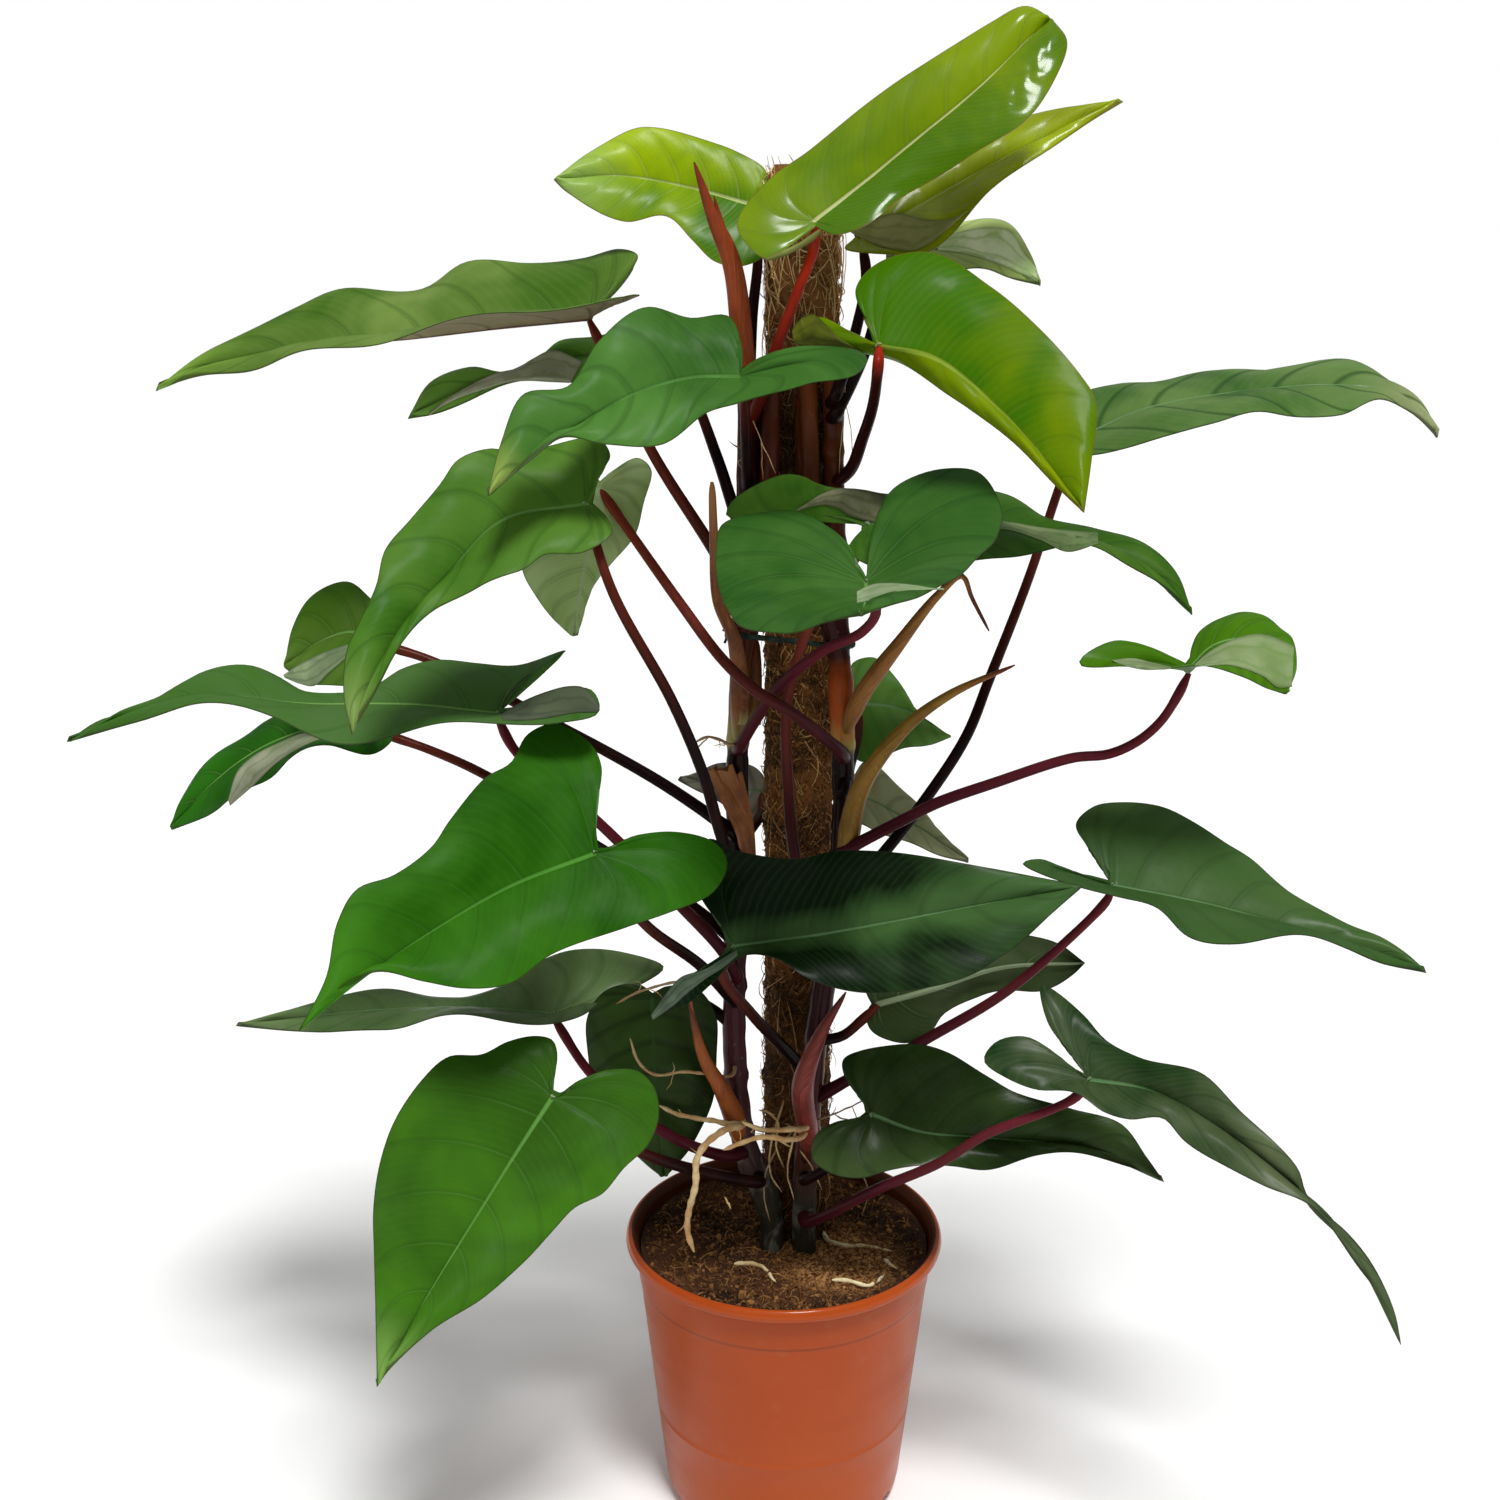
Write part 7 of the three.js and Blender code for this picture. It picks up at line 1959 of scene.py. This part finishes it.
def soil_roots(rng):
    """Pale roots that lie in the bed's surface."""
    pale = Heap()
    for root in SOIL_ROOTS:
        places = [soil_spot(column, row, root["radius"][1] + 0.8) for column, row in root["path"]]
        root_tube(pale, places, root["radius"], rng, 0.0, 0.5)
    pale.piece("soil_roots", [root_paint("pale_root", "f6e8bc", "cdb27c", "6a4a30")], "soil", ["soil"])


def make_soil():
    """The soil's bed, and what lies on it."""
    rng = np.random.default_rng(59)
    soil_bed()
    soil_crumbs(rng)
    soil_fibres(rng)
    soil_roots(rng)


# Pot

# Steps round a corner of the pot's skin
CORNER_STEPS = 4


def rounded(profile, radius):
    """A profile with its corners rounded."""
    points = [np.array(point, float) for point in profile]
    line = [points[0]]
    for before, here, after in zip(points, points[1:], points[2:]):
        back, on = before - here, after - here
        start = here + back * min(radius / np.linalg.norm(back), 0.45)
        end = here + on * min(radius / np.linalg.norm(on), 0.45)
        for t in np.linspace(0, 1, CORNER_STEPS + 1):
            line.append(start * (1 - t) ** 2 + here * 2 * t * (1 - t) + end * t ** 2)
    return line + [points[-1]]


# Height in metres of the band of painted shade under the lip
LIP_SHADE_HEIGHT = 0.2088
# Height in metres of the step in the wall, where a line of painted shade runs
STEP_HEIGHT = 0.1826


def pot_paint(name, tones, coat):
    """Terracotta-coloured plastic with a satin skin, scuffs and soil dust, and lines of painted shade."""
    paint = Paint(name, specular=0.1, coat=coat, coat_roughness=0.12)
    broad = paint.noise(5, 3)
    streak = paint.noise(9, 4, stretch=(1, 1, 5))
    grain = paint.noise(500, 3)
    colour = paint.mix(paint.fade(broad, 0.3, 0.7), tones[0], tones[1])
    colour = paint.mix(paint.fade(streak, 0.5, 0.8, 0.0, 0.35), colour, tones[2])
    dust = paint.fade(paint.noise(60, 4), 0.55, 0.75, 0.0, 0.25)
    colour = paint.mix(dust, colour, tones[3])
    # A dark band of painted shade under the lip
    lip_shade = paint.apart(paint.height(), LIP_SHADE_HEIGHT)
    colour = paint.mix(paint.fade(lip_shade, 0.0004, 0.0022, 0.75, 0.0), colour, "5a240c")
    # A dark line of painted shade along the step in the wall
    step_shade = paint.apart(paint.height(), STEP_HEIGHT)
    colour = paint.mix(paint.fade(step_shade, 0.0004, 0.0016, 0.5, 0.0), colour, "6a2c10")
    rough = paint.fade(streak, 0.3, 0.7, 0.34, 0.46)
    return paint.finish(colour, rough, grain, 0.12, 0.5)


POT_SIDES = 168
POT_CORNER = 1.3
# A stretch of wall is split into steps no shorter than this
POT_STEP = 30
# Column, row and depth of a place on the moulding line round the wall, the line's half width, and
# how far it stands out over its middle
SEAM_SPOT = [800, 1478, -108]
SEAM_HALF = 0.5
SEAM_RISE = 0.15
# Directions in degrees of the notches in the foot, their radius, length and way out from the axis
FOOT_NOTCHES = [-30, 60, 150, 240]
NOTCH_RADIUS = 13
NOTCH_LENGTH = 14
NOTCH_REACH = 93


def pot_rows():
    """The pot's rows as radius and height, with a moulding line round the outside."""
    profile = rounded(POT_SKIN, POT_CORNER)
    fine = []
    for start, end in zip(profile, profile[1:]):
        steps = max(1, int(np.linalg.norm(end - start) / POT_STEP))
        fine += [start + (end - start) * k / steps for k in range(steps)]
    fine.append(profile[-1])
    seam = place_at(*SEAM_SPOT)[2]
    rows = []
    for (r0, z0), (r1, z1) in zip(fine, fine[1:]):
        rows.append([r0, z0])
        if z0 < seam <= z1:
            at = r0 + (r1 - r0) * ((seam - z0) / (z1 - z0))
            rows += [[at, seam - SEAM_HALF], [at + SEAM_RISE, seam - SEAM_RISE],
                     [at + SEAM_RISE, seam + SEAM_RISE], [at, seam + SEAM_HALF]]
    rows.append(fine[-1])
    return [row for row in rows if row[0] > 0.01]


def cut_notch(pot, turn):
    """Cuts one drainage notch in the pot's foot."""
    mesh = bpy.data.meshes.new("notch")
    shape = bmesh.new()
    bmesh.ops.create_cone(shape, cap_ends=True, segments=40, radius1=NOTCH_RADIUS * MM,
                          radius2=NOTCH_RADIUS * MM, depth=NOTCH_LENGTH * MM)
    shape.to_mesh(mesh)
    shape.free()
    cutter = bpy.data.objects.new("notch", mesh)
    bpy.context.scene.collection.objects.link(cutter)
    cutter.rotation_euler = (0, math.pi / 2, turn)
    cutter.location = (NOTCH_REACH * MM * math.cos(turn), NOTCH_REACH * MM * math.sin(turn), 0)
    cut = pot.modifiers.new("notch", "BOOLEAN")
    cut.object = cutter
    cut.solver = "EXACT"
    bpy.context.view_layer.update()
    shown = pot.evaluated_get(bpy.context.evaluated_depsgraph_get())
    made = bpy.data.meshes.new_from_object(shown)
    pot.modifiers.clear()
    pot.data = made
    bpy.data.objects.remove(cutter)


def make_pot():
    """The pot, turned from its rows and notched at its foot, with a darker skin of painted shade inside.
    """
    rows = pot_rows()
    sides = POT_SIDES
    turns = [2 * math.pi * k / sides for k in range(sides)]
    places = np.array([[radius * math.cos(turn), radius * math.sin(turn), height]
                       for radius, height in rows for turn in turns])
    faces = ring_faces(len(rows) - 1, sides)
    rim = max(range(len(rows)), key=lambda i: rows[i][1])
    kinds = [int(face[0] // sides > rim) for face in faces[:-2]] + [0, 1]
    skins = [pot_paint("pot_plastic", ["a6420e", "ae4a10", "9a3c10", "a85c30"], 0.3),
             # The inside skin's darker tones are painted shade, with soil dust
             pot_paint("pot_inside_shaded", ["4a2410", "562a12", "3a1c0e", "33241a"], 0.05)]
    pot = new_piece("pot_shell", places, faces, skins, "pot", ["pot"], {}, kinds, 40)
    for turn in FOOT_NOTCHES:
        cut_notch(pot, math.radians(turn))


# Tie

# How much the tie slopes down to the right, and how far its knot stands off the loop's first place
TIE_SLOPE = 0.08
KNOT_OFF = [1.5, -2.5, 0]
KNOT_RINGS = 14
# Where the two tails end from the knot
TIE_TAILS = [[-5, -7, 3], [-4, -7, -6]]
TAIL_RINGS = 8


def make_tie():
    """The cord that holds both stems to the pole, with its knot and tails."""
    paint = Paint("tie_green", roughness=0.5, specular=0.08)
    strands = paint.noise(220, 3)
    colour = paint.mix(paint.fade(strands, 0.35, 0.7), "16211a", "38463c")
    material = paint.finish(colour, None, strands, 0.3, 0.6)
    loop = [np.array([x, y, TIE_HEIGHT - TIE_SLOPE * (x - POLE_X)], float) for x, y in TIE_LOOP]
    steps, sides = 10, 12
    wrapped = smooth_line(loop[-3:] + loop + loop[:3], steps)
    centres = wrapped[3 * steps:-2 * steps - 1]
    run = np.concatenate([[0], np.cumsum(np.linalg.norm(np.diff(centres, axis=0), axis=1))])
    angles = np.arange(sides) * 2 * math.pi / sides
    twist = 1.4 + 0.16 * np.cos(2 * (angles[None] - run[:, None] * 0.9))
    heap = Heap()
    heap.add(*tube(centres, TIE_RADIUS * 0.95 * twist, sides))
    knot = loop[0] + KNOT_OFF
    for turn in range(3):
        t = np.linspace(0, 1, KNOT_RINGS)
        swirl = np.stack([3.0 * np.sin(2 * math.pi * t + turn * 2), 2.2 * np.cos(2 * math.pi * t + turn),
                          3.0 * np.cos(2 * math.pi * t * 0.8 + turn * 2.4)], -1)
        heap.add(*tube(knot + swirl, np.full(KNOT_RINGS, 1.25), 8))
    for end in TIE_TAILS:
        tail = Curve([knot, knot + np.array(end) * 0.5 + [0, 0, 1], knot + end])
        heap.add(*tube(tail.at(np.linspace(0, 1, TAIL_RINGS)), np.linspace(1.2, 0.9, TAIL_RINGS), 8))
    heap.piece("tie_wrap", [material], "tie", ["tie_cord"])


# Stage: floor, light and camera

# How bright the surroundings are at the horizon and overhead
WORLD_STRENGTH = [0.12, 0.5]
# Name, strength, size in degrees, and the direction as turns about X, Y and Z in degrees
LIGHTS = [
    ("key", 2.6, 14, (25, 0, 20)),
    ("fill", 0.2, 60, (50, 0, -40)),
]
# Half the floor's side in metres
FLOOR_HALF = 9.0


def make_floor():
    """A plain pale floor."""
    mesh = bpy.data.meshes.new("floor")
    half = FLOOR_HALF
    mesh.from_pydata([(-half, -half, 0), (half, -half, 0), (half, half, 0), (-half, half, 0)], [],
                     [[0, 1, 2, 3]])
    floor = bpy.data.objects.new("floor", mesh)
    bpy.context.scene.collection.objects.link(floor)
    paint = Paint("floor_pale", roughness=0.9, specular=0.1)
    mesh.materials.append(paint.finish(paint.mix(paint.noise(2, 2), "f6f6f5", "fbfbfa")))
    floor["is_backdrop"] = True


def make_stage():
    """The floor, the surroundings, the lights and the camera."""
    scene = bpy.context.scene
    scene.view_settings.view_transform = "Standard"
    make_floor()
    world = bpy.data.worlds.new("studio")
    scene.world = world
    world.use_nodes = True
    tree = world.node_tree
    light = tree.nodes["Background"]
    light.inputs["Color"].default_value = (1, 1, 1, 1)
    direction = tree.nodes.new("ShaderNodeTexCoord").outputs["Generated"]
    parts = tree.nodes.new("ShaderNodeSeparateXYZ")
    tree.links.new(direction, parts.inputs[0])
    climb = tree.nodes.new("ShaderNodeMapRange")
    tree.links.new(parts.outputs["Z"], climb.inputs["Value"])
    climb.inputs["From Min"].default_value = -0.1
    climb.inputs["To Min"].default_value = WORLD_STRENGTH[0]
    climb.inputs["To Max"].default_value = WORLD_STRENGTH[1]
    tree.links.new(climb.outputs["Result"], light.inputs["Strength"])
    seen = tree.nodes.new("ShaderNodeBackground")
    seen.inputs["Strength"].default_value = 1.0
    seen.inputs["Color"].default_value = (1, 1, 1, 1)
    path = tree.nodes.new("ShaderNodeLightPath")
    blend = tree.nodes.new("ShaderNodeMixShader")
    tree.links.new(path.outputs["Is Camera Ray"], blend.inputs[0])
    tree.links.new(light.outputs[0], blend.inputs[1])
    tree.links.new(seen.outputs[0], blend.inputs[2])
    tree.links.new(blend.outputs[0], tree.nodes["World Output"].inputs["Surface"])
    for name, strength, spread, turn in LIGHTS:
        lamp = bpy.data.lights.new(name, "SUN")
        lamp.energy = strength
        lamp.angle = math.radians(spread)
        made = bpy.data.objects.new(name, lamp)
        made.rotation_euler = [math.radians(angle) for angle in turn]
        scene.collection.objects.link(made)
    camera = bpy.data.cameras.new("camera")
    camera.sensor_width = SENSOR_MM
    camera.lens = SENSOR_MM * PHOTO_FOCAL / PHOTO_SIZE
    camera.clip_start, camera.clip_end = 0.01, 100
    viewer = bpy.data.objects.new("camera", camera)
    viewer.location = EYE * MM
    viewer.rotation_euler = (math.pi / 2 - EYE_TILT, 0, 0)
    scene.collection.objects.link(viewer)
    scene.camera = viewer


make_stage()
make_folds(make_leaves())
for number, stem in enumerate(STEMS):
    make_stem(stem, 5 + number)
make_sheaths()
make_pole()
make_soil()
make_pot()
make_tie()

[[list(corner) for corner in box] for box in (CAD_BOX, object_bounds())]
